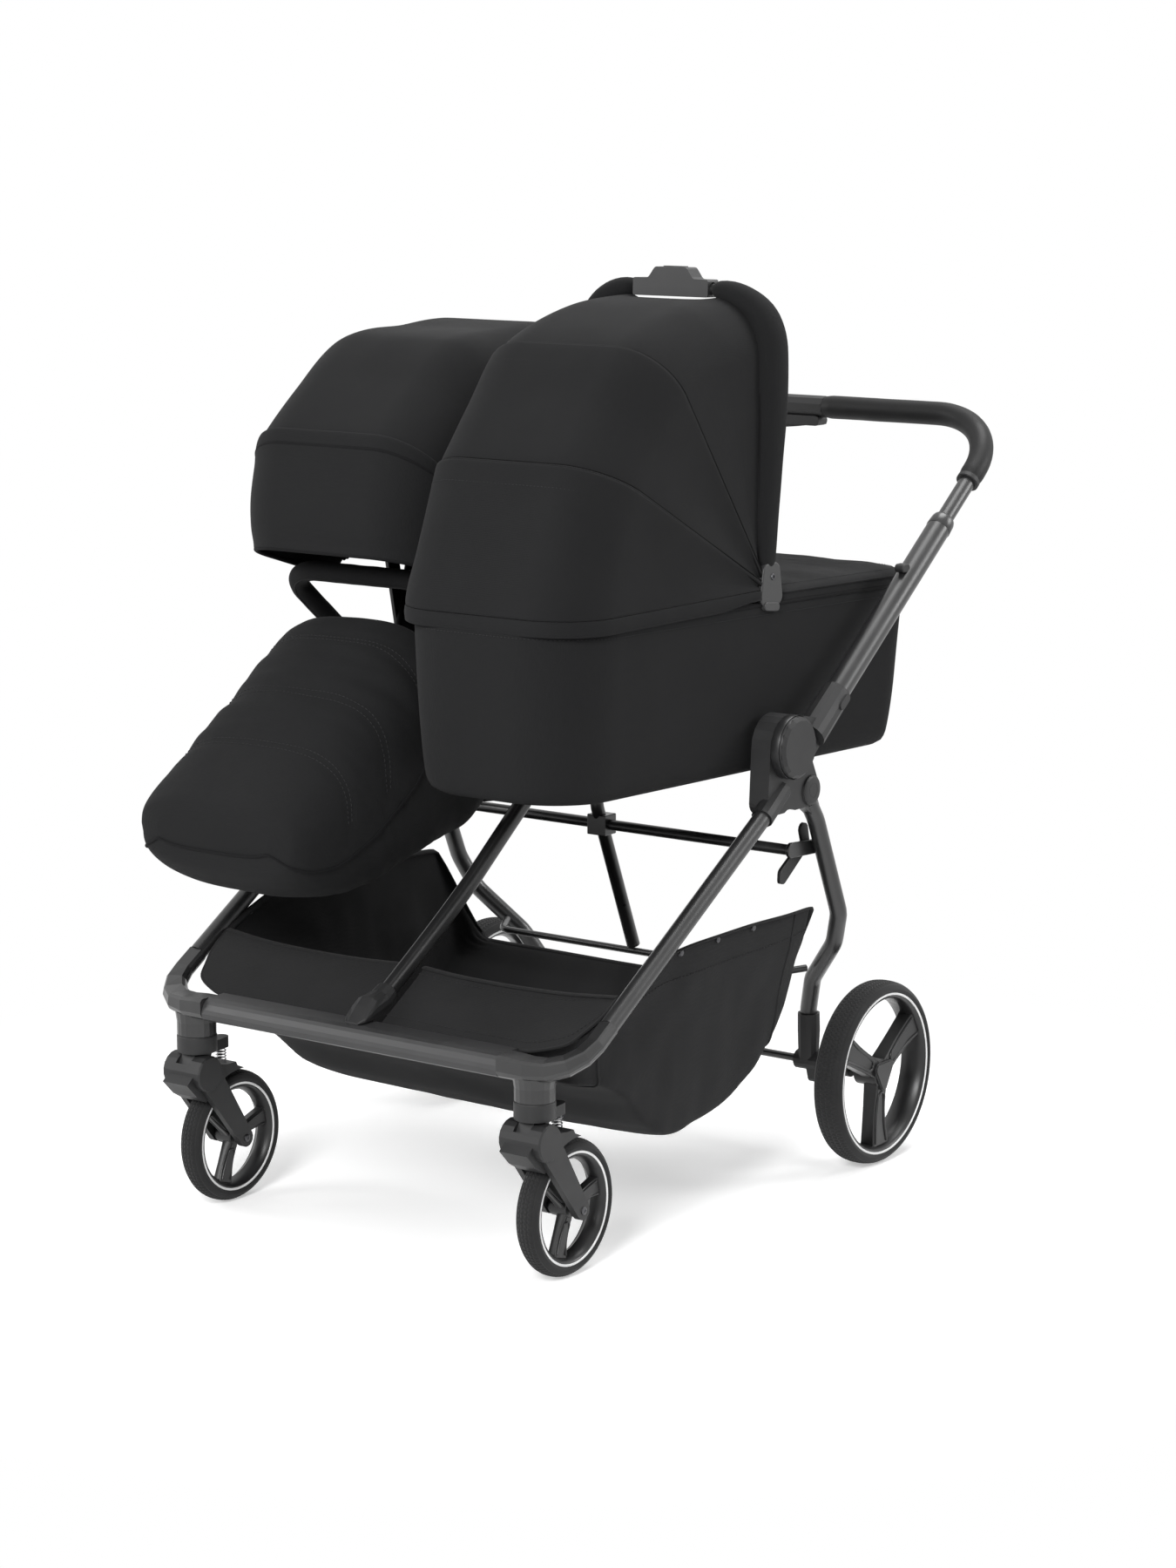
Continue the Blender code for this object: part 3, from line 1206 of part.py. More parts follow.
def make_front_panel(name, side, parent):
    """The cloth between the centre leg and a front leg, above the footboard."""
    inner, outer = CENTRE_TUBE_HALF + 0.0087, LEG_X - LEG_RADIUS - 0.0052
    outline = [
        (inner, 0.0183), (0.250, 0.0183), (0.281, 0.0270), (0.305, 0.0400), (0.3135, 0.0570),
        (outer - 0.002, 0.0850), (outer, PANEL_HEM_Y), (0.25, PANEL_HEM_Y - 0.008),
        (0.16, PANEL_HEM_Y - 0.011), (0.08, PANEL_HEM_Y - 0.010), (inner, PANEL_HEM_Y - 0.006),
    ]
    slope = LEG_DIRECTION.z / LEG_DIRECTION.y
    rings = []
    for lift in (-PANEL_SHEET / 2, PANEL_SHEET / 2):
        rings.append(
            [
                Vector((side * x, y, LEG_SEAM_Z + (y - LEG_SEAM_Y) * slope + lift))
                for x, y in outline
            ]
        )
    Piece(name, FABRIC_BLACK, skin(rings), parent, (side * LEG_X, LEG_SEAM_Y, LEG_SEAM_Z))


# Carrycot, in the frame of its own empty on the hub axis


def cot_outline(
    inset, front=COT_FRONT_Y, rear=COT_REAR_Y, front_corner=COT_FRONT_CORNER,
    rear_corner=COT_REAR_CORNER, steps=3,
):
    """The cot's plan at one level, as (x, y), drawn in by the inset all round."""
    half = COT_HALF - inset
    low, high = front + inset, rear - inset
    small = max(front_corner - inset * 0.5, 0.004)
    large = max(rear_corner - inset * 0.5, 0.004)
    cx = COT_CENTRE_X
    points = arc(cx - half + small, low + small, small, 180, 270, steps)
    points += arc(cx + half - small, low + small, small, 270, 360, steps)
    points += arc(cx + half - large, high - large, large, 0, 90, steps)
    points += arc(cx - half + large, high - large, large, 90, 180, steps)
    return points


def cot_ring(z, inset, **plan):
    return [Vector((x, y, z)) for x, y in cot_outline(inset, **plan)]


def make_cot_tub(parent):
    """The carrycot's body: a tapered tub with rounded ends, hinge ears on its rim and hub adapters."""
    low, top = COT_BOTTOM_Z, COT_RIM_Z
    outer = [
        cot_ring(low, COT_TAPER + 0.020), cot_ring(low + 0.006, COT_TAPER + 0.007),
        cot_ring(low + 0.020, COT_TAPER), cot_ring(top - 0.001, 0), cot_ring(top, 0.001),
    ]
    inner = [cot_ring(top, COT_WALL), cot_ring(low + 0.012, COT_WALL + COT_TAPER)]
    piece = Piece("carrycot_tub", FABRIC_BLACK, shell_of(outer, inner), parent, (COT_CENTRE_X, HUB_Y, HUB_Z))
    for side in (1, -1):
        rim = COT_CENTRE_X + side * COT_HALF
        low_x, high_x = sorted((rim - side * 0.0065, rim - side * 0.0005))
        ear = wrap(
            [
                (COT_HINGE_Y + 0.006, COT_HINGE_Z, 0.0165),
                (COT_HINGE_Y - 0.012, top - 0.020, 0.010), (COT_HINGE_Y + 0.018, top - 0.020, 0.010),
            ],
            12,
        )
        piece.join(slab(ear, low_x, high_x))
        pin = [(0.004, rim - side * 0.0035), (0.004, rim - side * 0.0155)]
        piece.join(disc(pin, (0, COT_HINGE_Y, COT_HINGE_Z), AXIS_X, 12))
        face = HUB_INNER_X - GAP if side > 0 else 0.0108 + GAP
        start = rim - side * (COT_TAPER + 0.004)
        piece.join(
            disc(
                [(0.032, start), (0.032, face - side * 0.002), (0.030, face)], (0, HUB_Y, HUB_Z),
                AXIS_X, 16,
            )
        )


def make_mattress(parent):
    low = COT_BOTTOM_Z + 0.012 + 0.0005
    inset = COT_WALL + COT_TAPER + 0.002
    rings = [
        cot_ring(low, inset + 0.010), cot_ring(low + MATTRESS_HEIGHT * 0.45, inset),
        cot_ring(low + MATTRESS_HEIGHT * 0.85, inset + 0.006),
        cot_ring(low + MATTRESS_HEIGHT, inset + 0.045),
    ]
    Piece("carrycot_mattress", FABRIC_LINING, skin(rings), parent, (COT_CENTRE_X, HUB_Y, low))


def make_apron(parent):
    """The padded cover over the foot half of the carrycot, resting on its rim."""
    front = COT_HINGE_Y + 0.026
    plan = {"front": front, "front_corner": 0.015, "rear_corner": COT_REAR_CORNER}
    z = COT_RIM_Z + GAP
    rings = [
        cot_ring(z, -0.001, **plan), cot_ring(z + 0.008, -0.002, **plan),
        cot_ring(z + 0.016, 0.008, **plan), cot_ring(z + 0.024, 0.045, **plan),
        cot_ring(z + 0.027, 0.085, **plan),
    ]
    Piece("carrycot_apron", FABRIC_BLACK, skin(rings), parent, (COT_CENTRE_X, front, COT_RIM_Z))


def hood_rows():
    """Each row of the hood: lean forward from the arch in degrees, half width and height."""
    return (
        (COT_TILT, 0.1400, 0.378), (19, 0.1450, 0.392), (37.6 + COT_TILT, 0.1490, 0.408),
        (52, 0.1485, 0.404), (64 + COT_TILT, 0.1500, 0.410), (79, 0.1505, 0.420), (91, 0.1510, 0.4350),
    )


def make_hood(parent):
    """The hood's cloth over the head half, from the arch forward to the rim."""
    grid = []
    origin_y = COT_HINGE_Y - ARCH_RADIUS + 0.0005
    for lean, half, height in hood_rows():
        row = []
        for x, up in arch_outline(half, height, ARCH_CORNER * 0.95, 0.024):
            row.append(
                (
                    COT_CENTRE_X + x, origin_y - up * math.sin(lean * DEG),
                    COT_HINGE_Z + up * math.cos(lean * DEG),
                )
            )
        grid.append(row)
    Piece(
        "carrycot_hood", FABRIC_BLACK, sheet(grid, -HOOD_SHELL), parent,
        (COT_CENTRE_X, COT_HINGE_Y, COT_HINGE_Z),
    )


def make_arch(parent):
    """The padded carry handle: an arch on two pins, thinner where the grip holds it."""
    up = Vector((0, -math.sin(COT_TILT * DEG), math.cos(COT_TILT * DEG)))
    origin = Vector((COT_CENTRE_X, COT_HINGE_Y, COT_HINGE_Z))
    grip = COT_GRIP_HALF + 0.0015
    core = HANDLE_INNER_RADIUS * 0.62
    across = [(-ARCH_HALF, 0.017), (-ARCH_HALF, ARCH_HEIGHT), (-grip, ARCH_HEIGHT)]
    left = fillet_path([origin + AXIS_X * x + up * z for x, z in across], ARCH_CORNER, 5)
    left.append(origin - AXIS_X * (grip - 0.001) + up * ARCH_HEIGHT)
    right = [Vector((2 * COT_CENTRE_X - p.x, p.y, p.z)) for p in reversed(left)]
    scales = [1] * (len(left) - 1) + [core / ARCH_RADIUS] * 2 + [1] * (len(left) - 1)
    shape = rod(left + right, ARCH_RADIUS, TUBE_SIDES, AXIS_Y, scales)
    piece = Piece("carrycot_handle", FABRIC_BLACK, shape, parent, origin)
    for side in (1, -1):
        rim = COT_CENTRE_X + side * COT_HALF
        low, high = sorted((rim - side * 0.0075, rim - side * 0.0135))
        tail = wrap([(COT_HINGE_Y, COT_HINGE_Z, 0.0115), (COT_HINGE_Y, COT_HINGE_Z + 0.028, 0.010)], 12)
        piece.join(slab(tail, low, high))
        piece.cut(
            disc(
                [(bore(0.004), rim - side * 0.002), (bore(0.004), rim - side * 0.017)],
                (0, COT_HINGE_Y, COT_HINGE_Z), AXIS_X, 12,
            )
        )
    make_cot_grip(parent, origin, up, core)


def make_cot_grip(parent, origin, up, core):
    """The grip on the arch's top, with a raised block that holds a button."""
    top = origin + up * ARCH_HEIGHT
    low, high = top.z - 0.0125, top.z + 0.0110
    outline = round_corners(
        [
            (-COT_GRIP_HALF, low), (COT_GRIP_HALF, low), (COT_GRIP_HALF, high), (0.036, high),
            (0.025, high + 0.0150), (-0.025, high + 0.0150), (-0.036, high), (-COT_GRIP_HALF, high),
        ],
        0.003, 2,
    )
    shape = slab([(z, COT_CENTRE_X + x) for x, z in outline], top.y - 0.0125, top.y + 0.0125, AXIS_Y)
    piece = Piece("carrycot_grip", PLASTIC_DARK, shape, parent, top)
    hole = bore(core)
    piece.cut(rod([top - AXIS_X * 0.09, top + AXIS_X * 0.09], hole, TUBE_SIDES, AXIS_Y))
    ceiling = high + 0.0150
    piece.cut(
        block(
            (top.x - 0.0163, top.y - 0.0063, ceiling - 0.0060),
            (top.x + 0.0163, top.y + 0.0063, ceiling + 0.01),
        )
    )
    button = block(
        (top.x - 0.0158, top.y - 0.0058, ceiling - 0.0030),
        (top.x + 0.0158, top.y + 0.0058, ceiling + 0.0012),
    )
    Piece("grip_button", PLASTIC_DARK, button, parent, (top.x, top.y, ceiling))


# Seat


def back_profile():
    """The seat's line from the front of its base, up the backrest to its top, as (y, z, wing)."""
    return (
        (0.3482, 0.536, 0.020), (0.405, 0.530, 0.035), (0.445, 0.554, 0.055), (0.484, 0.620, 0.075),
        (0.520, 0.720, 0.085), (0.553, 0.860, 0.080), (0.585, 0.985, 0.060), (0.600, 1.050, 0.040),
    )


def back_grid(half, forward):
    """A grid over the seat's hollow: flat in the middle, with wings that come forward at its sides."""
    grid = []
    for y, z, wing in back_profile():
        row = []
        for share in (-1, -0.80, -0.45, 0, 0.45, 0.80, 1):
            push = wing * max(0, (abs(share) - 0.7) / 0.3) ** 1.3
            row.append((SEAT_CENTRE_X + half * share, y - forward - push, z + (push + forward) * 0.25))
        grid.append(row)
    return grid


def make_seat_shell(parent):
    """The seat's back and base, with the adapters that sit against the hubs."""
    piece = Piece(
        "seat_shell", FABRIC_LINING, sheet(back_grid(SEAT_HALF - 0.034, 0), SEAT_SHELL), parent,
        (SEAT_CENTRE_X, HUB_Y, HUB_Z),
    )
    for face, inward in ((-HUB_INNER_X + GAP, 1), (-0.0108 - GAP, -1)):
        piece.join(
            disc(
                [(0.030, face), (0.032, face + inward * 0.002), (0.032, face + inward * 0.024)],
                (0, HUB_Y, HUB_Z), AXIS_X, 12,
            )
        )
        arm = wrap([(HUB_Y, HUB_Z, 0.020), (0.505, 0.655, 0.024)], 10)
        low, high = sorted((face + inward * 0.012, face + inward * 0.046))
        piece.join(slab(arm, low, high))
        post_x = SEAT_CENTRE_X - inward * CANOPY_POST_HALF
        low, high = sorted((post_x, post_x + inward * 0.0065))
        piece.join(slab(wrap([(0.472, 0.648, 0.014), (0.422, 0.880, 0.012)], 8), low, high))
        low, high = sorted((face + inward * 0.030, SEAT_CENTRE_X - inward * 0.088))
        piece.join(block((low, 0.4705, 0.640), (high, 0.5050, 0.667)))
        boss_x = SEAT_CENTRE_X - inward * (CANOPY_HALF - CANOPY_SHELL - GAP)
        low, high = sorted((boss_x, post_x + inward * 0.003))
        boss = [
            (CANOPY_HINGE_Y, CANOPY_HINGE_Z + 0.055, 0.011),
            (CANOPY_HINGE_Y, CANOPY_HINGE_Z + 0.088, 0.011),
        ]
        piece.join(slab(wrap(boss, 8), low, high))


def make_seat_liner(parent):
    """A thin padded liner in front of the seat's back."""
    grid = [row[1:-1] for row in back_grid(SEAT_HALF - 0.050, 0.0112)][2:]
    Piece("seat_liner", FABRIC_LINING, sheet(grid, 0.009), parent, (SEAT_CENTRE_X, 0.5, 0.6))


def make_harness(parent):
    """The shoulder straps, which meet at a buckle in front of the liner."""
    top = [Vector((SEAT_CENTRE_X + x, 0.5345, 0.880)) for x in (-0.045, 0.045)]
    buckle = Vector((SEAT_CENTRE_X, 0.4610, 0.640))
    strap = [(u, v) for u, v in superellipse(0.017, 0.0013, 4, 8)]
    shape = sweep([top[0], (top[0] + buckle) / 2 + Vector((0, -0.002, 0)), buckle], strap, AXIS_Y)
    piece = Piece("seat_harness", FABRIC_LINING, shape, parent, buckle)
    piece.join(sweep([top[1], (top[1] + buckle) / 2 + Vector((0, -0.002, 0)), buckle], strap, AXIS_Y))
    piece.join(
        block(
            (buckle.x - 0.024, buckle.y - 0.009, buckle.z - 0.030),
            (buckle.x + 0.024, buckle.y + 0.004, buckle.z + 0.016),
        )
    )


def fan_grid(rows, corner, foot):
    """Arches that lean about the canopy's hinge: rows of (lean, half width, height)."""
    grid = []
    for lean, half, height in rows:
        row = []
        for x, up in arch_outline(half, height, corner, foot):
            row.append(
                (
                    SEAT_CENTRE_X + x, CANOPY_HINGE_Y - up * math.sin(lean * DEG),
                    CANOPY_HINGE_Z + up * math.cos(lean * DEG),
                )
            )
        grid.append(row)
    return grid


def make_canopy(parent):
    """The sun canopy from its front bow over the top and down behind the backrest."""
    rows = (
        (-44, 0.147, 0.345), (-27, 0.149, 0.402), (-13, 0.150, 0.380), (2, 0.150, 0.370),
        (18, 0.150, 0.378), (33, 0.150, 0.366), (48.2, 0.150, 0.362),
    )
    Piece(
        "seat_canopy", FABRIC_BLACK, sheet(fan_grid(rows, 0.075, 0.070), -CANOPY_SHELL), parent,
        (SEAT_CENTRE_X, CANOPY_HINGE_Y, CANOPY_HINGE_Z),
    )
    rows = ((48.87, 0.152, 0.366), (61, 0.152, 0.330), (72.6, 0.152, 0.304))
    Piece(
        "canopy_visor", FABRIC_BLACK, sheet(fan_grid(rows, 0.070, 0.075), -CANOPY_SHELL), parent,
        (SEAT_CENTRE_X, CANOPY_HINGE_Y, CANOPY_HINGE_Z),
    )


def make_footmuff(parent):
    """The padded footmuff over the lap and feet: swelling between its seams and round at the toe."""
    stations = (
        (
            (MUFF_TOE_Y + 0.0005, 0.598), (MUFF_TOE_Y + 0.0005, 0.570), 0.095,
        ), ((-0.2130, 0.6180), (-0.2160, 0.5380), 0.128),
        ((-0.1850, 0.6390), (-0.1850, 0.5120), 0.142), ((-0.1350, 0.6640), (-0.1250, 0.4900), 0.150),
        ((-0.0750, 0.6950), (-0.0800, 0.4740), 0.150), ((-0.0150, 0.7310), (-0.0300, 0.4570), 0.150),
        ((0.0550, 0.7850), (0.0450, 0.4440), 0.150), ((0.1370, 0.8330), (0.1400, 0.4520), 0.149),
        (
            (0.1900, 0.8250), (0.2300, 0.4720), 0.148,
        ), ((0.2400, 0.7600), (0.3000, 0.4880), 0.144), ((0.2700, 0.7000), (0.3350, 0.5100), 0.132),
    )
    rings = []
    for (top_y, top_z), (low_y, low_z), half in stations:
        centre = Vector((SEAT_CENTRE_X, (top_y + low_y) / 2, (top_z + low_z) / 2))
        tall = Vector((0, top_y - low_y, top_z - low_z)) / 2
        rings.append([centre + AXIS_X * u * half + tall * v for u, v in superellipse(1, 1, 3.2, 20)])
    Piece("footmuff", FABRIC_BLACK, skin(rings), parent, (SEAT_CENTRE_X, 0.1, 0.6))


def make_bumper(parent):
    """The bumper bar: a padded tube from one adapter, round the front and back to the other."""
    reach = 0.032 + GAP * 1.5
    arm = (Vector((0, 0.312, 0.780)) - Vector((0, HUB_Y, HUB_Z))).normalized()
    foot = Vector((0, HUB_Y, HUB_Z)) + arm * reach
    out, inner = -0.3015, -0.0225
    points = [
        (out, foot.y, foot.z), (out, BUMPER_Y, BUMPER_Z), (inner, BUMPER_Y, BUMPER_Z),
        (inner, foot.y, foot.z),
    ]
    path = fillet_path(points, 0.062, 4)
    scales = [0.75] + [1] * (len(path) - 2) + [0.75]
    Piece(
        "bumper_bar", FABRIC_BLACK, rod(path, BUMPER_RADIUS, TUBE_SIDES, AXIS_Z, scales), parent,
        (SEAT_CENTRE_X, HUB_Y, HUB_Z),
    )


# The whole stroller


def build():
    clear_scene()
    root = make_empty("stroller", (0, -ORIGIN_Y, 0))
    cot = make_empty("carrycot", (0, HUB_Y, HUB_Z), root)
    cot.rotation_euler.x = -COT_TILT * DEG
    cot_frame = make_empty("carrycot_frame", (0, -HUB_Y, -HUB_Z), cot)
    make_footboard(root)
    make_centre_leg(root)
    make_centre_hub(root)
    make_handle_bar(root)
    make_cross_tube(root)
    make_centre_rear_leg(root)
    make_rim_tube(root)
    make_rear_axle(root)
    make_brake_pedal(root)
    make_fold_clip(root)
    make_basket(root)
    for name, side in SIDES:
        make_front_corner(f"front_corner_{name}", side, root)
        make_front_leg(f"front_leg_{name}", side, root)
        make_hub_housing(f"hub_housing_{name}", side, root)
        make_handle_socket(f"handle_socket_{name}", side, root)
        make_handle_tube(f"handle_tube_{name}", side, root)
        make_rear_leg(f"rear_leg_{name}", side, root)
        make_axle_socket(f"rear_wheel_socket_{name}", side, root)
        make_rear_wheel(name, side, root)
        make_caster_head(f"caster_head_{name}", side, root)
        make_caster_fork(f"caster_fork_{name}", side, root)
        make_spring(f"caster_spring_{name}", side, root)
        make_front_wheel(name, side, root)
        make_front_panel(f"basket_front_panel_{name}", side, root)
    make_cot_tub(cot_frame)
    make_mattress(cot_frame)
    make_apron(cot_frame)
    make_hood(cot_frame)
    make_arch(cot_frame)
    make_seat_shell(root)
    make_seat_liner(root)
    make_harness(root)
    make_canopy(root)
    make_footmuff(root)
    make_bumper(root)


build()
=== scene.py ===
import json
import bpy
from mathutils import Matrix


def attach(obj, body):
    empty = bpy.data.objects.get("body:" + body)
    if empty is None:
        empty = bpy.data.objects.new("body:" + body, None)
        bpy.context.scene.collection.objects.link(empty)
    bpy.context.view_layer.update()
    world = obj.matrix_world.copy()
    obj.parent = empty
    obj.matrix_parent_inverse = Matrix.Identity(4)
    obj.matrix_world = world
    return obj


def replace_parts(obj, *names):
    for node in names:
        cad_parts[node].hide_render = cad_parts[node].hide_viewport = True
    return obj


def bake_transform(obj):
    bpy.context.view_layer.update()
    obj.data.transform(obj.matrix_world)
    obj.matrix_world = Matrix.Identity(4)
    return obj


bl_info = {
    "name": "Double stroller",
    "version": (1, 0, 0),
    "blender": (4, 5, 0),
    "location": "3D View > Sidebar > Stroller",
    "description": "Cloth, covers, wheels and finishes for a double stroller's frame",
    "category": "Object",
}

from math import cos, exp, hypot, pi, radians, sin, sqrt, tan

import bmesh
import bpy
from mathutils import Vector, noise
from mathutils.geometry import convex_hull_2d, interpolate_bezier

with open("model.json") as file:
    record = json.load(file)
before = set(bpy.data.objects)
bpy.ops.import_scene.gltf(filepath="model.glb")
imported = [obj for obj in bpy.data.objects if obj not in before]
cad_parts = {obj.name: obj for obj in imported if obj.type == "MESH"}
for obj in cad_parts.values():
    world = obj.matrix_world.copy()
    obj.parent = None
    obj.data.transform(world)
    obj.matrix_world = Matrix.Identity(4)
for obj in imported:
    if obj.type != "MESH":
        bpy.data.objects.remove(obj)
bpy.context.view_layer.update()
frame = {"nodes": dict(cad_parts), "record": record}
NODES = frame["nodes"]

# The model's sizes, in metres and degrees, measured from the front swivels' line
ORIGIN_Y = 0.419
HUB_Y = 0.48
HUB_Z = 0.632
COT_TILT = 1.8
COT_X = 0.162
COT_HALF = 0.15
COT_FRONT = 0.035
COT_REAR = 0.865
COT_RIM = 0.819
COT_LOW = 0.59
COT_TAPER = 0.014
HINGE_Y = 0.4735
HINGE_Z = 0.84
ARCH_HEIGHT = 0.392
ARCH_HALF = 0.143
GRIP_HALF = 0.06
SEAT_X = -0.162
CANOPY_Y = 0.42
CANOPY_Z = 0.8
LEG_Y = 0.073
LEG_Z = 0.333
LEG_SLOPE = radians(31.04)
HANDLE_SLOPE = radians(36.63)
HANDLE_OFFSET = 0.0221
HANDLE_HALF = 0.35
HANDLE_END_Y = 1.048
HANDLE_END_Z = 1.02677
GRIP_Y = 0.9405
REAR_AXLE = (0.3375, 0.7256, 0.13018)
FRONT_AXLE = (0.2815, 0.0635, 0.09022)
SIDES = (("left", 1), ("right", -1))
FINE_STITCH = (0.0032, 0.0024, 0.00034)
BOLD_STITCH = (0.004, 0.003, 0.0005)
AXIS_X = Vector((1, 0, 0))
AXIS_Y = Vector((0, 1, 0))
AXIS_Z = Vector((0, 0, 1))


# Places


def at(x, y, z):
    """A point in the frame's own place, from one measured off the swivels' line."""
    return Vector((x, y - ORIGIN_Y, z))


def cot_at(x, y, z):
    """A point of the carrycot, which tips its foot end down about the hubs."""
    turn = radians(COT_TILT)
    dy, dz = y - HUB_Y, z - HUB_Z
    return at(x, HUB_Y + dy * cos(turn) + dz * sin(turn), HUB_Z - dy * sin(turn) + dz * cos(turn))


def cot_arch(x, up, lean):
    """A point of an arch that stands on the carrycot's hinge and leans forwards."""
    turn = radians(lean)
    return cot_at(COT_X + x, HINGE_Y - up * sin(turn), HINGE_Z + up * cos(turn))


def seat_arch(x, up, lean):
    """A point of an arch that stands on the canopy's pivots and leans forwards."""
    turn = radians(lean)
    return at(SEAT_X + x, CANOPY_Y - up * sin(turn), CANOPY_Z + up * cos(turn))


# Curves


def smooth_value(keys, t):
    """A smooth curve through keys of (place, value...), without overshoot."""
    if t <= keys[0][0]:
        return list(keys[0][1:])
    for left, right in zip(keys, keys[1:]):
        if t <= right[0]:
            share = (t - left[0]) / (right[0] - left[0])
            break
    else:
        return list(keys[-1][1:])
    i = keys.index(left)
    before = keys[max(i - 1, 0)]
    after = keys[min(i + 2, len(keys) - 1)]
    result = []
    for k in range(1, len(left)):
        span = right[0] - left[0]
        rise = right[k] - left[k]
        slope_a = slope_at(before, left, right, k)
        slope_b = slope_at(left, right, after, k)
        h = share * share * (3 - 2 * share)
        result.append(
            left[k] + rise * h
            + span * slope_a * share * (1 - share) ** 2
            - span * slope_b * share * share * (1 - share)
        )
    return result


def smooth_step(t):
    """From 0 to 1 with a gentle start and end."""
    t = min(max(t, 0), 1)
    return t * t * (3 - 2 * t)


def slope_at(before, here, after, k):
    """The slope of one value at a key, flat where the value turns."""
    if before is here or after is here:
        return 0
    first = (here[k] - before[k]) / (here[0] - before[0])
    second = (after[k] - here[k]) / (after[0] - here[0])
    if first * second <= 0:
        return 0
    return 2 * first * second / (first + second)


def through(points, steps):
    """A smooth line through the points."""
    points = [Vector(p) for p in points]
    last = len(points) - 1
    line = []
    for i in range(last):
        a, b, c, d = points[max(i - 1, 0)], points[i], points[i + 1], points[min(i + 2, last)]
        reach = (c - b).length / 3
        first = (c - a).normalized() * reach
        second = (d - b).normalized() * reach
        line += interpolate_bezier(b, b + first, c - second, c, steps + 1)[:-1]
    line.append(points[-1])
    return line


def fillet(points, radii, steps):
    """A line through the points, each inner corner turned by an arc of its radius."""
    points = [Vector(p) for p in points]
    if not isinstance(radii, (list, tuple)):
        radii = [radii] * (len(points) - 2)
    line = [points[0]]
    for i in range(1, len(points) - 1):
        back = (points[i - 1] - points[i]).normalized()
        ahead = (points[i + 1] - points[i]).normalized()
        half = back.angle(ahead) / 2
        radius = radii[i - 1]
        centre = points[i] + (back + ahead).normalized() * radius / sin(half)
        start = points[i] + back * radius / tan(half) - centre
        end = points[i] + ahead * radius / tan(half) - centre
        turn = start.angle(end)
        for k in range(steps + 1):
            t = k / steps
            arm = (start * sin((1 - t) * turn) + end * sin(t * turn)) / sin(turn)
            line.append(centre + arm)
    line.append(points[-1])
    return line


def reach_of(line):
    return sum((b - a).length for a, b in zip(line, line[1:]))


def respaced(line, count):
    """The line again in this many even steps."""
    lengths = [0.0]
    for a, b in zip(line, line[1:]):
        lengths.append(lengths[-1] + (b - a).length)
    result, i = [], 0
    for k in range(count + 1):
        goal = lengths[-1] * k / count
        while i < len(line) - 2 and lengths[i + 1] < goal:
            i += 1
        span = lengths[i + 1] - lengths[i]
        result.append(line[i].lerp(line[i + 1], (goal - lengths[i]) / span if span else 0))
    return result


def even(line, step):
    """The line again with points at about this spacing."""
    line = [Vector(p) for p in line]
    return respaced(line, max(2, round(reach_of(line) / step)))


def ring(half_u, half_v, power, sides):
    """A section from an ellipse (power 2) to a box with round corners (a higher power)."""
    points = []
    for i in range(sides):
        angle = 2 * pi * (i + 0.5) / sides
        c, s = cos(angle), sin(angle)
        scale = (abs(c) ** power + abs(s) ** power) ** (-1 / power)
        points.append((half_u * c * scale, half_v * s * scale))
    return points


def arc(cx, cy, radius, start, end, steps):
    """Points round a centre between two angles in degrees."""
    angles = [radians(start + (end - start) * i / steps) for i in range(steps + 1)]
    return [(cx + radius * cos(a), cy + radius * sin(a)) for a in angles]


def wrap(circles, steps=48):
    """A band pulled tight round circles given as (u, v, radius)."""
    points = [p for u, v, r in circles for p in arc(u, v, r, 0, 360 - 360 / steps, steps - 1)]
    return [points[i] for i in convex_hull_2d([Vector(p) for p in points])]


def side_wrap(*circles):
    """A band round circles in the frame's own place, from circles measured off the swivels' line."""
    return [(y - ORIGIN_Y, z) for y, z in wrap(circles)]


def arch_line(half, height, corner, foot):
    """An arch of (x, up) from one foot over the top to the other, evenly split."""
    straight, bend, top = 14, 18, 10
    side = [(-half, foot + (height - corner - foot) * i / straight) for i in range(straight)]
    curve = arc(-half + corner, height - corner, corner, 180, 90, bend)
    flat = [(-half + corner + (half - corner) * i / top, height) for i in range(1, top)]
    left = side + curve + flat
    return left + [(0, height)] + [(-x, z) for x, z in reversed(left)]


# Meshes and pieces


def frames_along(line, up):
    """Each point of the line with the two directions across it, turned as little as can be."""
    planes = []
    for i, point in enumerate(line):
        before, after = line[max(i - 1, 0)], line[min(i + 1, len(line) - 1)]
        ahead = (after - before).normalized()
        up = (up - ahead * up.dot(ahead)).normalized()
        planes.append((point, up.cross(ahead).normalized(), up.copy()))
    return planes


def bridge(rings, closed=False):
    """A skin over rings of points; closed joins the last to the first, else both ends are capped."""
    count = len(rings[0])
    vertices = [v for one in rings for v in one]
    faces = []
    for i in range(len(rings) if closed else len(rings) - 1):
        j = (i + 1) % len(rings)
        for k in range(count):
            m = (k + 1) % count
            faces.append((i * count + k, i * count + m, j * count + m, j * count + k))
    if not closed:
        faces.append(tuple(range(count - 1, -1, -1)))
        faces.append(tuple((len(rings) - 1) * count + k for k in range(count)))
    return vertices, faces


def tube(line, radius, sides=24, up=AXIS_Z, scales=None, closed=False, section=None):
    """A solid bar along the line; scales narrow or widen it point by point."""
    section = section or ring(radius, radius, 2, sides)
    line = [Vector(p) for p in line]
    rings = []
    for i, (point, across, upright) in enumerate(frames_along(line, up)):
        scale = scales[i] if scales else 1
        rings.append([point + across * u * scale + upright * v * scale for u, v in section])
    return bridge(rings, closed)


def grid_faces(rows, columns):
    faces = []
    for i in range(rows - 1):
        for j in range(columns - 1):
            a = i * columns + j
            faces.append((a, a + 1, a + columns + 1, a + columns))
    return faces


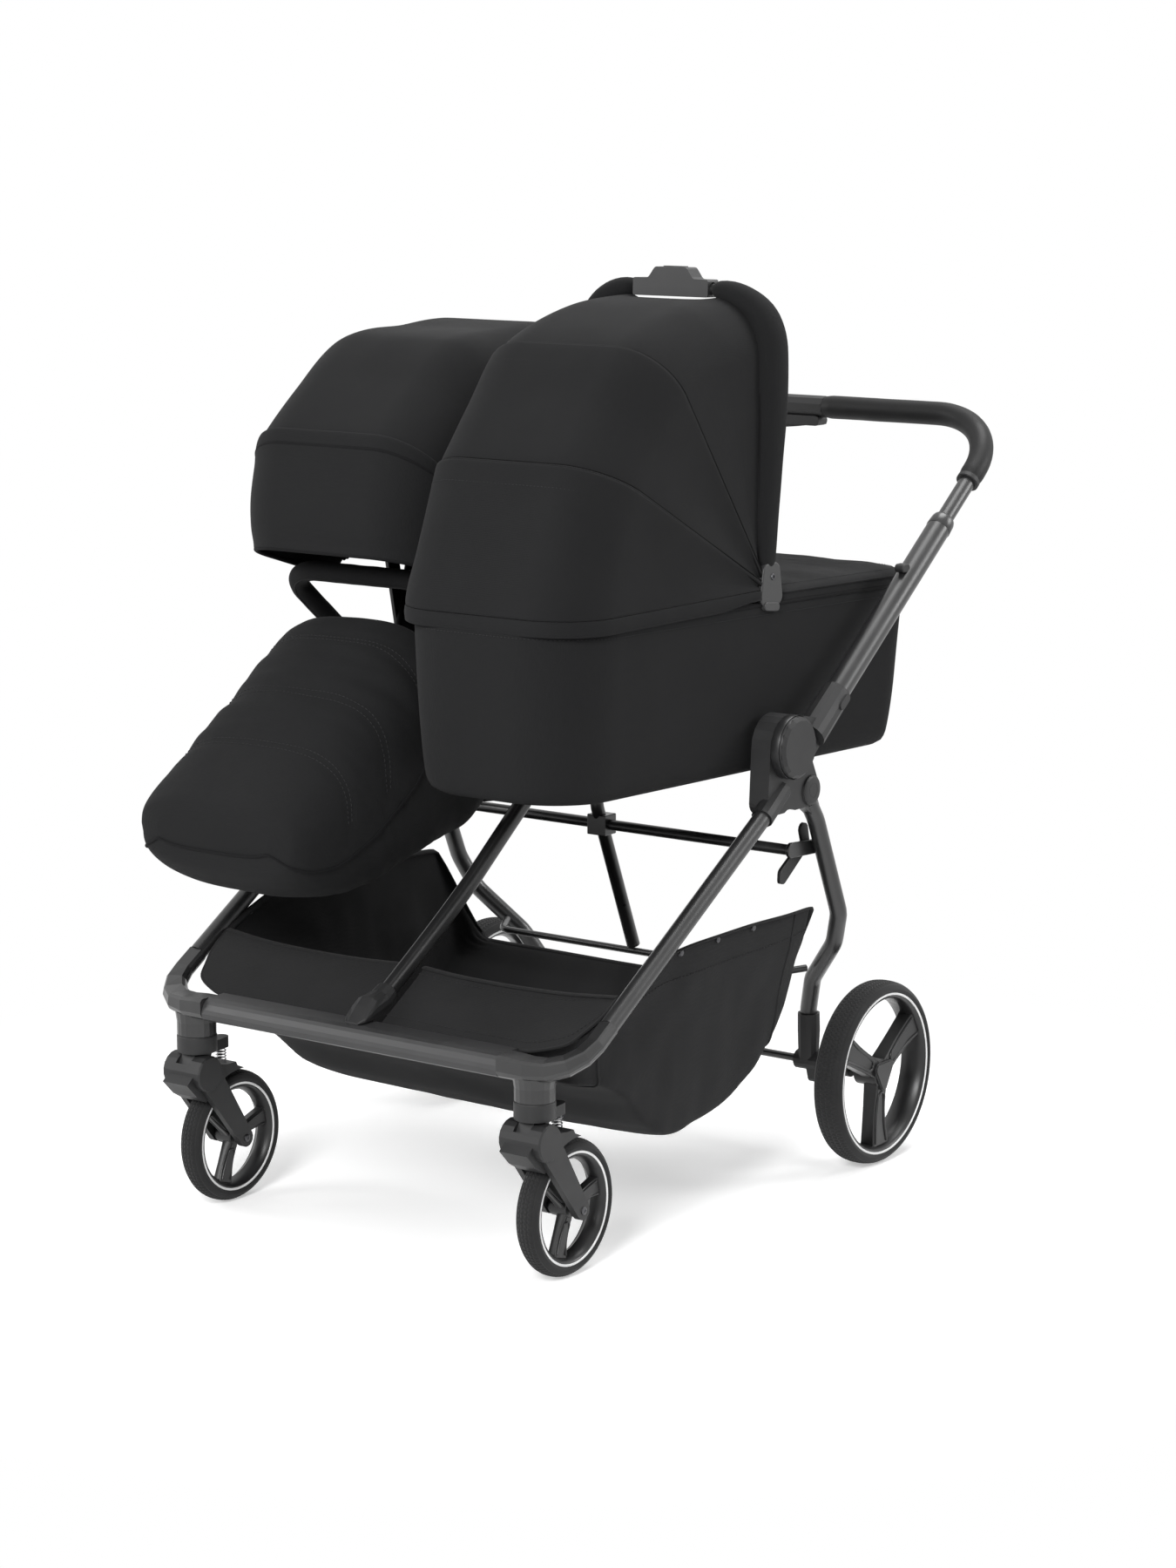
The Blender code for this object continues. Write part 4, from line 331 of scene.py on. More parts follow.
def lathe(profile, centre, axis, sides):
    """Rings of points turned about the axis; the profile is (radius, offset along the axis)."""
    across = AXIS_X if abs(axis.x) < 0.9 else AXIS_Y
    across = (across - axis * across.dot(axis)).normalized()
    other = axis.cross(across)
    rings = []
    for radius, offset in profile:
        loop = []
        for i in range(sides):
            angle = 2 * pi * i / sides
            arm = across * cos(angle) + other * sin(angle)
            loop.append(centre + arm * radius + axis * offset)
        rings.append(loop)
    return rings


def turned(profile, centre, axis, sides):
    return bridge(lathe(profile, centre, axis, sides))


def turned_ring(profile, centre, axis, sides):
    """A ring whose profile closes on itself."""
    return bridge(lathe(profile, centre, axis, sides), closed=True)


def slab(outline, low, high, axis=AXIS_X, centre=Vector((0, 0, 0))):
    """A plate between two offsets along an axis; the outline is in the plane across it."""
    if abs(axis.x) > 0.9:
        first, second = AXIS_Y, AXIS_Z
    elif abs(axis.y) > 0.9:
        first, second = AXIS_Z, AXIS_X
    else:
        first, second = AXIS_X, AXIS_Y
    rings = []
    for offset in (low, high):
        rings.append([centre + first * u + second * v + axis * offset for u, v in outline])
    return bridge(rings)


def joined(*shapes):
    """Several shapes as one."""
    vertices, faces = [], []
    for points, polygons in shapes:
        first = len(vertices)
        vertices += points
        faces += [tuple(first + i for i in polygon) for polygon in polygons]
    return vertices, faces


def mesh_of(name, shape):
    """A mesh of the shape, with its faces turned outwards."""
    vertices, faces = shape
    mesh = bpy.data.meshes.new(name)
    mesh.from_pydata([tuple(v) for v in vertices], [], faces)
    work = bmesh.new()
    work.from_mesh(mesh)
    bmesh.ops.recalc_face_normals(work, faces=work.faces)
    work.to_mesh(mesh)
    work.free()
    for polygon in mesh.polygons:
        polygon.use_smooth = True
    return mesh


def add_piece(name, mesh, key):
    """Shows a mesh in the finish of this key."""
    piece = bpy.data.objects.new(name, mesh)
    bpy.context.scene.collection.objects.link(piece)
    mesh.materials.append(finish(key))
    return piece


def loose(name, shape, key):
    """A piece that rides on no body."""
    return add_piece(name, mesh_of(name, shape), key)


def place(name, shape, body, key, bevel=0.0, segments=2, sharp=30):
    """Makes a piece that rides on a body; edges above the sharp angle stay crisp or are bevelled."""
    mesh = mesh_of(name, shape)
    piece = add_piece(name, mesh, key)
    if bevel:
        soften = piece.modifiers.new("Rounded edges", "BEVEL")
        soften.width = bevel
        soften.segments = segments
        soften.limit_method = "ANGLE"
        soften.angle_limit = radians(sharp)
        soften.harden_normals = True
    mesh.set_sharp_from_angle(angle=radians(sharp + 5))
    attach(piece, body)
    return piece


def ripple(point, size, seed=0.0):
    """Soft noise from -1 to 1 with waves of about this size."""
    return noise.noise(point / size + Vector((seed, seed * 1.7, seed * 0.3)))


def cloth(name, grid, body, key, thickness):
    """A sheet of cloth over a grid of points, thickened and smoothed, riding on the body if one is given."""
    mesh = bpy.data.meshes.new(name)
    mesh.from_pydata([tuple(p) for row in grid for p in row], [], grid_faces(len(grid), len(grid[0])))
    for polygon in mesh.polygons:
        polygon.use_smooth = True
    piece = add_piece(name, mesh, key)
    thick = piece.modifiers.new("Cloth thickness", "SOLIDIFY")
    thick.thickness = thickness
    thick.offset = -1
    thick.use_even_offset = True
    soft = piece.modifiers.new("Soft surface", "SUBSURF")
    soft.levels = 1
    soft.render_levels = 1
    if body:
        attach(piece, body)
    return piece


def stitch_shape(line, normals, length=0.0034, gap=0.0022, radius=0.00042):
    """A row of stitches along a line: short raised dashes with round ends."""
    shapes = []
    points = even(line, (length + gap) / 2)
    source = [Vector(p) for p in line]
    for i in range(0, len(points) - 1, 2):
        a, b = points[i], points[i + 1]
        near = min(range(len(source)), key=lambda k: (source[k] - a).length_squared)
        normal = normals[near] if isinstance(normals, list) else normals
        along = (b - a).normalized()
        middle = (a + b) / 2 + normal * radius
        dash = [middle - along * length / 2, middle, middle + along * length / 2]
        dash[0] = dash[0] - normal * radius * 1.3
        dash[2] = dash[2] - normal * radius * 1.3
        shapes.append(tube(dash, radius, 6, normal, (0.6, 1.0, 0.6)))
    return joined(*shapes)


# Finishes


def shader_of(tree, roughness, metallic=0.0, sheen=0.0, specular=0.5):
    """The material's shader with its plain values set."""
    shader = tree.nodes["Principled BSDF"]
    shader.inputs["Roughness"].default_value = roughness
    shader.inputs["Metallic"].default_value = metallic
    shader.inputs["Sheen Weight"].default_value = sheen
    shader.inputs["Sheen Roughness"].default_value = 0.5
    shader.inputs["Specular IOR Level"].default_value = specular
    return shader


def arithmetic(tree, operation, *values):
    """One step of arithmetic on other nodes' outputs and plain numbers."""
    step = tree.nodes.new("ShaderNodeMath")
    step.operation = operation
    for value, entry in zip(values, step.inputs):
        if isinstance(value, float):
            entry.default_value = value
        else:
            tree.links.new(value, entry)
    return step.outputs[0]


def texture_of(tree, kind, scale):
    """A texture of this kind and scale that is fixed to the piece."""
    texture = tree.nodes.new(kind)
    texture.inputs["Scale"].default_value = scale
    place_at = tree.nodes.new("ShaderNodeTexCoord").outputs["Object"]
    tree.links.new(place_at, texture.inputs["Vector"])
    return texture


def clouds(tree, scale, detail=3.0):
    """The value of a cloudy noise."""
    texture = texture_of(tree, "ShaderNodeTexNoise", scale)
    texture.inputs["Detail"].default_value = detail
    return texture.outputs["Fac"]


def raised(tree, shader, height, strength, distance):
    """Lets a height roughen the surface without moving it."""
    bump = tree.nodes.new("ShaderNodeBump")
    bump.inputs["Strength"].default_value = strength
    bump.inputs["Distance"].default_value = distance
    tree.links.new(height, bump.inputs["Height"])
    tree.links.new(bump.outputs["Normal"], shader.inputs["Normal"])


def tinted(tree, shader, share, colour, dark, light):
    """Colours the surface from its darker to its lighter shade, by a value from 0 to 1."""
    ramp = tree.nodes.new("ShaderNodeValToRGB")
    for element, position, shade in zip(ramp.color_ramp.elements, (0.25, 0.75), (dark, light)):
        element.position = position
        element.color = (*[c * shade for c in colour], 1)
    tree.links.new(share, ramp.inputs["Fac"])
    tree.links.new(ramp.outputs["Color"], shader.inputs["Base Color"])


def glossed(tree, shader, value, low, high):
    """Spreads the surface's roughness from low to high, by a value from 0.3 to 0.7."""
    scale = tree.nodes.new("ShaderNodeMapRange")
    for name, number in (("From Min", 0.3), ("From Max", 0.7), ("To Min", low), ("To Max", high)):
        scale.inputs[name].default_value = number
    tree.links.new(value, scale.inputs["Value"])
    tree.links.new(scale.outputs["Result"], shader.inputs["Roughness"])


def woven(tree, colour, pitch, strength, sheen, flecks=0.1):
    """Woven cloth: crossed threads, a light melange of flecks and soft wear over a wide scale."""
    shader = shader_of(tree, 0.88, 0.0, sheen * 0.4, 0.12)
    threads = []
    for direction in ("X", "Y", "Z"):
        wave = texture_of(tree, "ShaderNodeTexWave", pi / (10 * pitch))
        wave.bands_direction = direction
        wave.inputs["Distortion"].default_value = 1.2
        wave.inputs["Detail"].default_value = 2.0
        wave.inputs["Detail Scale"].default_value = 1.5
        threads.append(wave.outputs["Fac"])
    whole = arithmetic(tree, "ADD", arithmetic(tree, "ADD", *threads[:2]), threads[2])
    raised(tree, shader, whole, strength, 0.0004)
    wide = clouds(tree, 9, 4.0)
    worn = arithmetic(tree, "MULTIPLY", wide, 0.55)
    share = arithmetic(tree, "MULTIPLY_ADD", clouds(tree, 1400, 2.0), 0.45, worn)
    tinted(tree, shader, share, colour, 1 - flecks * 2, 1 + flecks * 2)
    glossed(tree, shader, wide, 0.8, 0.92)


def moulded(tree, colour, roughness, grain, strength):
    """Moulded plastic with a fine spark-eroded grain."""
    shader = shader_of(tree, roughness, specular=0.42)
    raised(tree, shader, clouds(tree, grain, 2.0), strength, 0.0003)
    wide = clouds(tree, 22)
    tinted(tree, shader, wide, colour, 0.88, 1.12)
    glossed(tree, shader, wide, roughness - 0.05, roughness + 0.07)


def powder_coated(tree, colour, roughness):
    """Satin powder coat on tube: a very fine orange peel under a low gloss."""
    shader = shader_of(tree, roughness, specular=0.6)
    shader.inputs["Coat Weight"].default_value = 0.1
    shader.inputs["Coat Roughness"].default_value = 0.28
    raised(tree, shader, clouds(tree, 950, 2.0), 0.12, 0.0002)
    wide = clouds(tree, 14)
    tinted(tree, shader, wide, colour, 0.9, 1.1)
    glossed(tree, shader, wide, roughness - 0.04, roughness + 0.06)


def pebbled(tree, colour):
    """Leatherette: small rounded cells with fine creases between them."""
    shader = shader_of(tree, 0.52, specular=0.26)
    cells = texture_of(tree, "ShaderNodeTexVoronoi", 620)
    cells.feature = "SMOOTH_F1"
    raised(tree, shader, cells.outputs["Distance"], 0.35, 0.0005)
    wide = clouds(tree, 26)
    tinted(tree, shader, wide, colour, 0.85, 1.15)
    glossed(tree, shader, wide, 0.46, 0.6)


def rubber(tree, colour):
    """Foam-filled tyre rubber: dull, with fine dust in its pores."""
    shader = shader_of(tree, 0.82, 0.0, 0.08, 0.3)
    raised(tree, shader, clouds(tree, 1300), 0.22, 0.0003)
    tinted(tree, shader, clouds(tree, 30, 4.0), colour, 0.8, 1.25)


def bright_metal(tree, colour, roughness):
    """Bare metal, a little uneven in its shade and its gloss."""
    shader = shader_of(tree, roughness, 1.0)
    wide = clouds(tree, 160)
    tinted(tree, shader, wide, colour, 0.9, 1.08)
    glossed(tree, shader, wide, roughness - 0.06, roughness + 0.08)


FINISHES = {
    "cloth": ("fabric", woven, "charcoal cloth", "cloth", 0.0011, 0.3, 0.05),
    "cloth_fine": ("fabric", woven, "hood cloth", "cloth", 0.0008, 0.2, 0.05, 0.05),
    "cloth_dark": ("lining", woven, "gusset cloth", "lining", 0.0009, 0.25, 0.03),
    # Painted shade: the gap finish colours the thin dark tubes beside the hood's lap rolls, standing in for
    # the shadow in each lap.
    "gap": ("lining", woven, "shaded seam cloth", "seam", 0.0009, 0.0, 0.0),
    "lining": ("lining", woven, "lining cloth", "lining", 0.001, 0.2, 0.08),
    # Painted sheen: the canopy's pale band between two welts is coloured far paler than the cloth, standing
    # in for the light reflected along the canopy's rear top.
    "strip": ("fabric", woven, "canopy strip cloth", "strip", 0.0014, 0.35, 0.1),
    "panel": ("fabric", woven, "footboard cloth", "panel", 0.0012, 0.4, 0.06, 0.14),
    "basket": ("fabric", woven, "basket cloth", "basket", 0.001, 0.3, 0.08),
    "thread": ("fabric", woven, "stitching thread", "thread", 0.0004, 0.3, 0.1),
    "tube": ("frame", powder_coated, "satin black tube", "tube", 0.31),
    "plastic": ("plastic", moulded, "dark moulded plastic", "plastic", 0.5, 1100, 0.16),
    "moulding": ("plastic", moulded, "paler moulded plastic", "moulding", 0.42, 1100, 0.12),
    "plastic_smooth": ("plastic", moulded, "smooth dark plastic", "plastic", 0.38, 1500, 0.06),
    "rim": ("plastic", moulded, "wheel centre plastic", "rim", 0.34, 1200, 0.05),
    "grip": ("grip", pebbled, "grip leatherette", "grip"),
    "tyre": ("tyre", rubber, "tyre rubber", "tyre"),
    "band": ("steel", moulded, "pale rim band", "band", 0.45, 900, 0.04),
    "steel": ("steel", bright_metal, "plated steel", "steel", 0.32),
    "screw": ("steel", bright_metal, "blackened screw steel", "screw", 0.38),
}


def finish(key):
    """The material of this key, made once, in the colour that the panel holds for it."""
    _, maker, name, colour, *values = FINISHES[key]
    material = bpy.data.materials.get(name)
    if not material:
        material = bpy.data.materials.new(name)
        material.use_nodes = True
        maker(material.node_tree, getattr(bpy.context.scene.stroller_colours, colour), *values)
    return material


class StrollerColours(bpy.types.PropertyGroup):
    """Colours of the stroller's cloth, tube, plastic and rubber."""

    cloth: bpy.props.FloatVectorProperty(
        name="Cloth", description="Colour of the hood, the carrycot, the canopy and the footmuff",
        subtype="COLOR", size=3, min=0, max=1, default=(0.0112, 0.0113, 0.0118),
    )
    lining: bpy.props.FloatVectorProperty(
        name="Lining", description="Colour of the lining, the gussets and the straps",
        subtype="COLOR", size=3, min=0, max=1, default=(0.007, 0.007, 0.0075),
    )
    # Painted shade: this near-black colour stands in for the shadow in the hollow of each lap of the hood.
    seam: bpy.props.FloatVectorProperty(
        name="Seam", description="Colour of the cloth in the hollow of a seam or a lap",
        subtype="COLOR", size=3, min=0, max=1, default=(0.0015, 0.0015, 0.0016),
    )
    # Painted sheen: this pale colour stands in for the light reflected along the canopy's rear top.
    strip: bpy.props.FloatVectorProperty(
        name="Canopy strip", description="Colour of the paler strip behind the canopy's top",
        subtype="COLOR", size=3, min=0, max=1, default=(0.046, 0.046, 0.048),
    )
    panel: bpy.props.FloatVectorProperty(
        name="Footboard cloth", description="Colour of the coarse cloth above the footboard",
        subtype="COLOR", size=3, min=0, max=1, default=(0.019, 0.019, 0.0195),
    )
    basket: bpy.props.FloatVectorProperty(
        name="Basket", description="Colour of the basket's cloth",
        subtype="COLOR", size=3, min=0, max=1, default=(0.019, 0.019, 0.0196),
    )
    thread: bpy.props.FloatVectorProperty(
        name="Thread", description="Colour of the stitching",
        subtype="COLOR", size=3, min=0, max=1, default=(0.03, 0.03, 0.031),
    )
    tube: bpy.props.FloatVectorProperty(
        name="Tube", description="Colour of the powder coat on the tubes",
        subtype="COLOR", size=3, min=0, max=1, default=(0.017, 0.017, 0.0174),
    )
    plastic: bpy.props.FloatVectorProperty(
        name="Plastic", description="Colour of the hubs, the forks and the other mouldings",
        subtype="COLOR", size=3, min=0, max=1, default=(0.014, 0.014, 0.0145),
    )
    # A paler copy of the dark plastic for the carry handle's grip, its button and the hinge covers; on the
    # footboard's bar this paler colour is a painted highlight for the light along its front.
    moulding: bpy.props.FloatVectorProperty(
        name="Paler plastic", description="Colour of the carry handle's grip and the footboard's bar",
        subtype="COLOR", size=3, min=0, max=1, default=(0.033, 0.033, 0.0338),
    )
    rim: bpy.props.FloatVectorProperty(
        name="Wheel centre", description="Colour of the wheels' centres",
        subtype="COLOR", size=3, min=0, max=1, default=(0.0125, 0.0125, 0.0129),
    )
    grip: bpy.props.FloatVectorProperty(
        name="Grip", description="Colour of the handle's cover",
        subtype="COLOR", size=3, min=0, max=1, default=(0.006, 0.006, 0.0062),
    )
    tyre: bpy.props.FloatVectorProperty(
        name="Tyre", description="Colour of the tyres",
        subtype="COLOR", size=3, min=0, max=1, default=(0.014, 0.014, 0.0144),
    )
    band: bpy.props.FloatVectorProperty(
        name="Rim band", description="Colour of the thin band round each wheel",
        subtype="COLOR", size=3, min=0, max=1, default=(0.86, 0.86, 0.86),
    )
    steel: bpy.props.FloatVectorProperty(
        name="Steel", description="Colour of the springs and the axle",
        subtype="COLOR", size=3, min=0, max=1, default=(0.42, 0.42, 0.43),
    )
    screw: bpy.props.FloatVectorProperty(
        name="Screws", description="Colour of the screws and rivets",
        subtype="COLOR", size=3, min=0, max=1, default=(0.09, 0.09, 0.095),
    )


class StrollerSizes(bpy.types.PropertyGroup):
    """Sizes of the cloth's and covers' details."""

    piping: bpy.props.FloatProperty(
        name="Piping", description="Radius of the piping in the seams",
        subtype="DISTANCE", unit="LENGTH", min=0.0005, max=0.005, default=0.002,
    )
    cloth_thickness: bpy.props.FloatProperty(
        name="Cloth thickness", description="Thickness of one layer of cloth",
        subtype="DISTANCE", unit="LENGTH", min=0.0005, max=0.006, default=0.0022,
    )
    folds: bpy.props.FloatProperty(
        name="Folds", description="Height of the soft waves in the cloth",
        subtype="DISTANCE", unit="LENGTH", min=0, max=0.01, default=0.0016,
    )
    muff_fill: bpy.props.FloatProperty(
        name="Footmuff fill", description="How far the footmuff swells between its quilting lines",
        subtype="DISTANCE", unit="LENGTH", min=0, max=0.02, default=0.005,
    )
    tread_depth: bpy.props.FloatProperty(
        name="Tread depth", description="Height of the tyres' tread blocks",
        subtype="DISTANCE", unit="LENGTH", min=0, max=0.003, default=0.0011,
    )


# Stage


class MakeStage(bpy.types.Operator):
    """Makes the floor, the backdrop, the lamps and the camera"""

    bl_idname = "stroller.make_stage"
    bl_label = "Stage"

    def execute(self, context):
        scene = context.scene
        scene.view_settings.view_transform = "Standard"
        world = bpy.data.worlds.new("Studio")
        scene.world = world
        world.use_nodes = True
        nodes, links = world.node_tree.nodes, world.node_tree.links
        soft = nodes["Background"]
        soft.inputs["Color"].default_value = (1, 1, 1, 1)
        soft.inputs["Strength"].default_value = 0.3
        seen = nodes.new("ShaderNodeBackground")
        seen.inputs["Color"].default_value = (1, 1, 1, 1)
        seen.inputs["Strength"].default_value = 1.0
        either = nodes.new("ShaderNodeMixShader")
        links.new(background_rays(world.node_tree), either.inputs["Fac"])
        links.new(soft.outputs[0], either.inputs[1])
        links.new(seen.outputs[0], either.inputs[2])
        links.new(either.outputs[0], nodes["World Output"].inputs["Surface"])
        make_floor()
        make_lamp("Key lamp", (1.4, -4.2, 2.9), 1.6, 190)
        make_lamp("Fill lamp", (-3.4, -2.4, 2.0), 2.0, 60)
        make_lamp("Top lamp", (0.3, 1.4, 4.0), 2.2, 85)
        make_lamp("Back lamp", (2.8, 2.6, 2.2), 1.6, 50)
        camera = bpy.data.objects.new("Camera", bpy.data.cameras.new("Camera"))
        scene.collection.objects.link(camera)
        camera.location = (2.932, -4.002, 1.502)
        camera.rotation_euler = (radians(90 - 10.839), 0, radians(35.634))
        camera.data.lens = 84.51
        camera.data.sensor_width = 36
        scene.camera = camera
        return {"FINISHED"}


def background_rays(tree):
    """1 for the rays that see the background: the camera's, and those that gloss and glass send on."""
    rays = tree.nodes.new("ShaderNodeLightPath")
    share = rays.outputs["Is Camera Ray"]
    for name in ("Is Glossy Ray", "Is Transmission Ray"):
        share = arithmetic(tree, "MAXIMUM", share, rays.outputs[name])
    return share


def make_floor():
    """A pale floor that is white to the camera apart from the soft shadow on it."""
    half = 9.0
    corners = [(x * half, y * half, -0.0001) for x, y in ((-1, -1), (1, -1), (1, 1), (-1, 1))]
    mesh = bpy.data.meshes.new("Floor")
    mesh.from_pydata(corners, [], [(0, 1, 2, 3)])
    floor = bpy.data.objects.new("Floor", mesh)
    bpy.context.scene.collection.objects.link(floor)
    material = bpy.data.materials.new("studio floor")
    material.use_nodes = True
    nodes, links = material.node_tree.nodes, material.node_tree.links
    shader = nodes["Principled BSDF"]
    shader.inputs["Base Color"].default_value = (0.86, 0.86, 0.86, 1)
    shader.inputs["Roughness"].default_value = 0.7
    shader.inputs["Specular IOR Level"].default_value = 0.1
    glow = nodes.new("ShaderNodeEmission")
    glow.inputs["Color"].default_value = (1, 1, 1, 1)
    glow.inputs["Strength"].default_value = 0.42
    both = nodes.new("ShaderNodeAddShader")
    links.new(shader.outputs[0], both.inputs[0])
    links.new(glow.outputs[0], both.inputs[1])
    white = nodes.new("ShaderNodeEmission")
    white.inputs["Color"].default_value = (1, 1, 1, 1)
    white.inputs["Strength"].default_value = 1.0
    length = nodes.new("ShaderNodeVectorMath")
    length.operation = "LENGTH"
    links.new(nodes.new("ShaderNodeTexCoord").outputs["Object"], length.inputs[0])
    away = nodes.new("ShaderNodeMapRange")
    away.interpolation_type = "SMOOTHSTEP"
    away.inputs["From Min"].default_value = 0.55
    away.inputs["From Max"].default_value = 1.25
    links.new(length.outputs["Value"], away.inputs["Value"])
    seen = nodes.new("ShaderNodeMixShader")
    links.new(away.outputs["Result"], seen.inputs["Fac"])
    links.new(both.outputs[0], seen.inputs[1])
    links.new(white.outputs[0], seen.inputs[2])
    either = nodes.new("ShaderNodeMixShader")
    links.new(background_rays(material.node_tree), either.inputs["Fac"])
    links.new(shader.outputs[0], either.inputs[1])
    links.new(seen.outputs[0], either.inputs[2])
    links.new(either.outputs[0], nodes["Material Output"].inputs["Surface"])
    mesh.materials.append(material)


def make_lamp(name, location, size, power):
    """A round lamp that faces the stroller's middle."""
    lamp = bpy.data.lights.new(name, "AREA")
    lamp.shape = "DISK"
    lamp.size = size
    lamp.energy = power
    holder = bpy.data.objects.new(name, lamp)
    bpy.context.scene.collection.objects.link(holder)
    holder.location = location
    aim = Vector((0, 0, 0.6)) - Vector(location)
    holder.rotation_euler = aim.to_track_quat("-Z", "Y").to_euler()


# Carrycot


def spaced_loop(outline, count):
    """A closed outline again with this many points at even spacing."""
    line = [Vector((*p, 0)) for p in outline]
    return [(p.x, p.y) for p in respaced(line + line[:1], count)[:-1]]


def cot_plan(inset, front=COT_FRONT, rear=COT_REAR, front_corner=0.1, rear_corner=0.06, count=180):
    """The carrycot's outline from above, moved in by the inset."""
    half = COT_HALF - inset
    low, high = front + inset, rear - inset
    small = max(front_corner - inset * 0.5, 0.004)
    large = max(rear_corner - inset * 0.5, 0.004)
    outline = arc(COT_X - half + small, low + small, small, 180, 270, 16)
    outline += arc(COT_X + half - small, low + small, small, 270, 360, 16)
    outline += arc(COT_X + half - large, high - large, large, 0, 90, 12)
    outline += arc(COT_X - half + large, high - large, large, 90, 180, 12)
    return spaced_loop(outline, count)


def cot_loop(z, inset, wave=0.0, **plan):
    """That outline at one height, with a soft wave in its sides."""
    loop = []
    middle = (COT_FRONT + COT_REAR) / 2
    for x, y in cot_plan(inset, **plan):
        out = Vector((x - COT_X, (y - middle) * 0.35, 0)).normalized()
        push = wave * ripple(Vector((x, y, z)), 0.11, 3.0)
        loop.append(cot_at(x + out.x * push, y + out.y * push, z))
    return loop


class MakeTub(bpy.types.Operator):
    """Makes the carrycot's cloth-covered tub, its bound rim, its seams and its mattress"""

    bl_idname = "stroller.make_tub"
    bl_label = "Carrycot tub"

    def execute(self, context):
        sizes = context.scene.stroller_sizes
        folds = sizes.folds
        low, top = COT_LOW, COT_RIM
        keys = [
            (0.0, low, COT_TAPER + 0.024), (0.03, low + 0.002, COT_TAPER + 0.014),
            (0.07, low + 0.008, COT_TAPER + 0.005), (0.14, low + 0.022, COT_TAPER),
            (0.5, (low + top) / 2, COT_TAPER * 0.5 - 0.0012), (0.95, top - 0.004, 0.0),
            (1.0, top, 0.002),
        ]
        rings = []
        for i in range(31):
            t = i / 30
            z, inset = smooth_value(keys, t)
            rings.append(cot_loop(z, inset, folds * sin(pi * min(t * 1.05, 1))))
        for z, inset in (
            (top + 0.001, 0.0045), (top - 0.002, 0.008), (low + 0.06, 0.012), (low + 0.012, 0.024),
        ):
            rings.append(cot_loop(z, inset))
        tub = place("carrycot_tub_cover", bridge(rings), "frame", "cloth", sharp=60)
        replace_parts(tub, "carrycot_tub")
        rim = cot_loop(top + 0.0004, 0.0018)
        place("carrycot_rim_binding", tube(rim, 0.0034, 12, closed=True), "frame", "cloth_dark")
        self.make_seams()
        self.make_mattress()
        return {"FINISHED"}

    def make_seams(self):
        """A stitched hem under the rim and a welt up each end's corners."""
        loop = cot_loop(COT_RIM - 0.013, -0.0004)
        loop.append(loop[0])
        centre = cot_at(COT_X, (COT_FRONT + COT_REAR) / 2, COT_RIM)
        normals = [Vector((p.x - centre.x, (p.y - centre.y) * 0.35, 0)).normalized() for p in loop]
        place("carrycot_hem_stitching", stitch_shape(loop, normals), "frame", "thread")
        welts = []
        for index in (0.545, 0.615):
            line = []
            for i in range(24):
                t = i / 23
                z = COT_LOW + 0.02 + (COT_RIM - 0.026 - COT_LOW) * t
                inset = COT_TAPER * (1 - t) - 0.0002
                loop = cot_plan(inset)
                x, y = loop[round(index * len(loop))]
                line.append(cot_at(x, y, z))
            welts.append(tube(line, 0.0011, 8, AXIS_Y))
        place("carrycot_corner_welts", joined(*welts), "frame", "cloth_dark")

    def make_mattress(self):
        low = COT_LOW + 0.0125
        keys = [
            (0.0, low, 0.036), (0.25, low + 0.012, 0.027), (0.7, low + 0.036, 0.027),
            (1.0, low + 0.043, 0.045),
        ]
        rings = [cot_loop(*smooth_value(keys, i / 10), 0.0008, count=96) for i in range(11)]
        for inset, lift in ((0.065, 0.0455), (0.095, 0.0468), (0.125, 0.0472)):
            rings.append(cot_loop(low + lift, inset, count=96))
        pad = place("carrycot_mattress_cover", bridge(rings), "frame", "lining", sharp=60)
        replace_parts(pad, "carrycot_mattress")


class MakeApron(bpy.types.Operator):
    """Makes the quilted cover over the carrycot's foot end, with its piping and stitching"""

    bl_idname = "stroller.make_apron"
    bl_label = "Carrycot apron"

    def execute(self, context):
        folds = context.scene.stroller_sizes.folds
        plan = {"front": HINGE_Y + 0.026, "front_corner": 0.016, "rear_corner": 0.06}
        low = COT_RIM + 0.0008
        keys = [
            (0.0, low, 0.001), (0.12, low + 0.003, -0.0014), (0.28, low + 0.01, -0.0016),
            (0.42, low + 0.017, 0.004), (0.6, low + 0.0235, 0.024), (0.8, low + 0.0275, 0.06),
            (1.0, low + 0.029, 0.118),
        ]
        rings = []
        for i in range(31):
            t = i / 30
            z, inset = smooth_value(keys, t)
            loop = []
            for p in cot_loop(z, inset, **plan):
                lift = folds * 1.8 * ripple(p, 0.085, 7.0) + folds * 0.9 * ripple(p, 0.035, 2.0)
                loop.append(p + AXIS_Z * lift * max(0, min(1, (t - 0.2) * 2)))
            rings.append(loop)
        apron = place("carrycot_apron_cover", bridge(rings), "frame", "cloth", sharp=70)
        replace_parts(apron, "carrycot_apron")
        edge = cot_loop(low + 0.0125, -0.0012, **plan)
        place("carrycot_apron_piping", tube(edge, 0.0016, 10, closed=True), "frame", "cloth_dark")
        loop = cot_loop(low + 0.0212, 0.012, **plan)
        loop.append(loop[0])
        place("carrycot_apron_stitching", stitch_shape(loop, AXIS_Z), "frame", "thread")
        return {"FINISHED"}


HOOD_PANELS = (
    ("rear", ((1.8, 0.1405, 0.379), (19, 0.145, 0.3925), (39.0, 0.1486, 0.4066))),
    ("middle", ((38.2, 0.15, 0.4098), (50, 0.1492, 0.4062), (58, 0.1496, 0.407), (65.4, 0.1502, 0.4098))),
    ("front", ((64.6, 0.1518, 0.4134), (72, 0.1514, 0.417), (82, 0.1516, 0.4256), (91.4, 0.1522, 0.4372))),
)


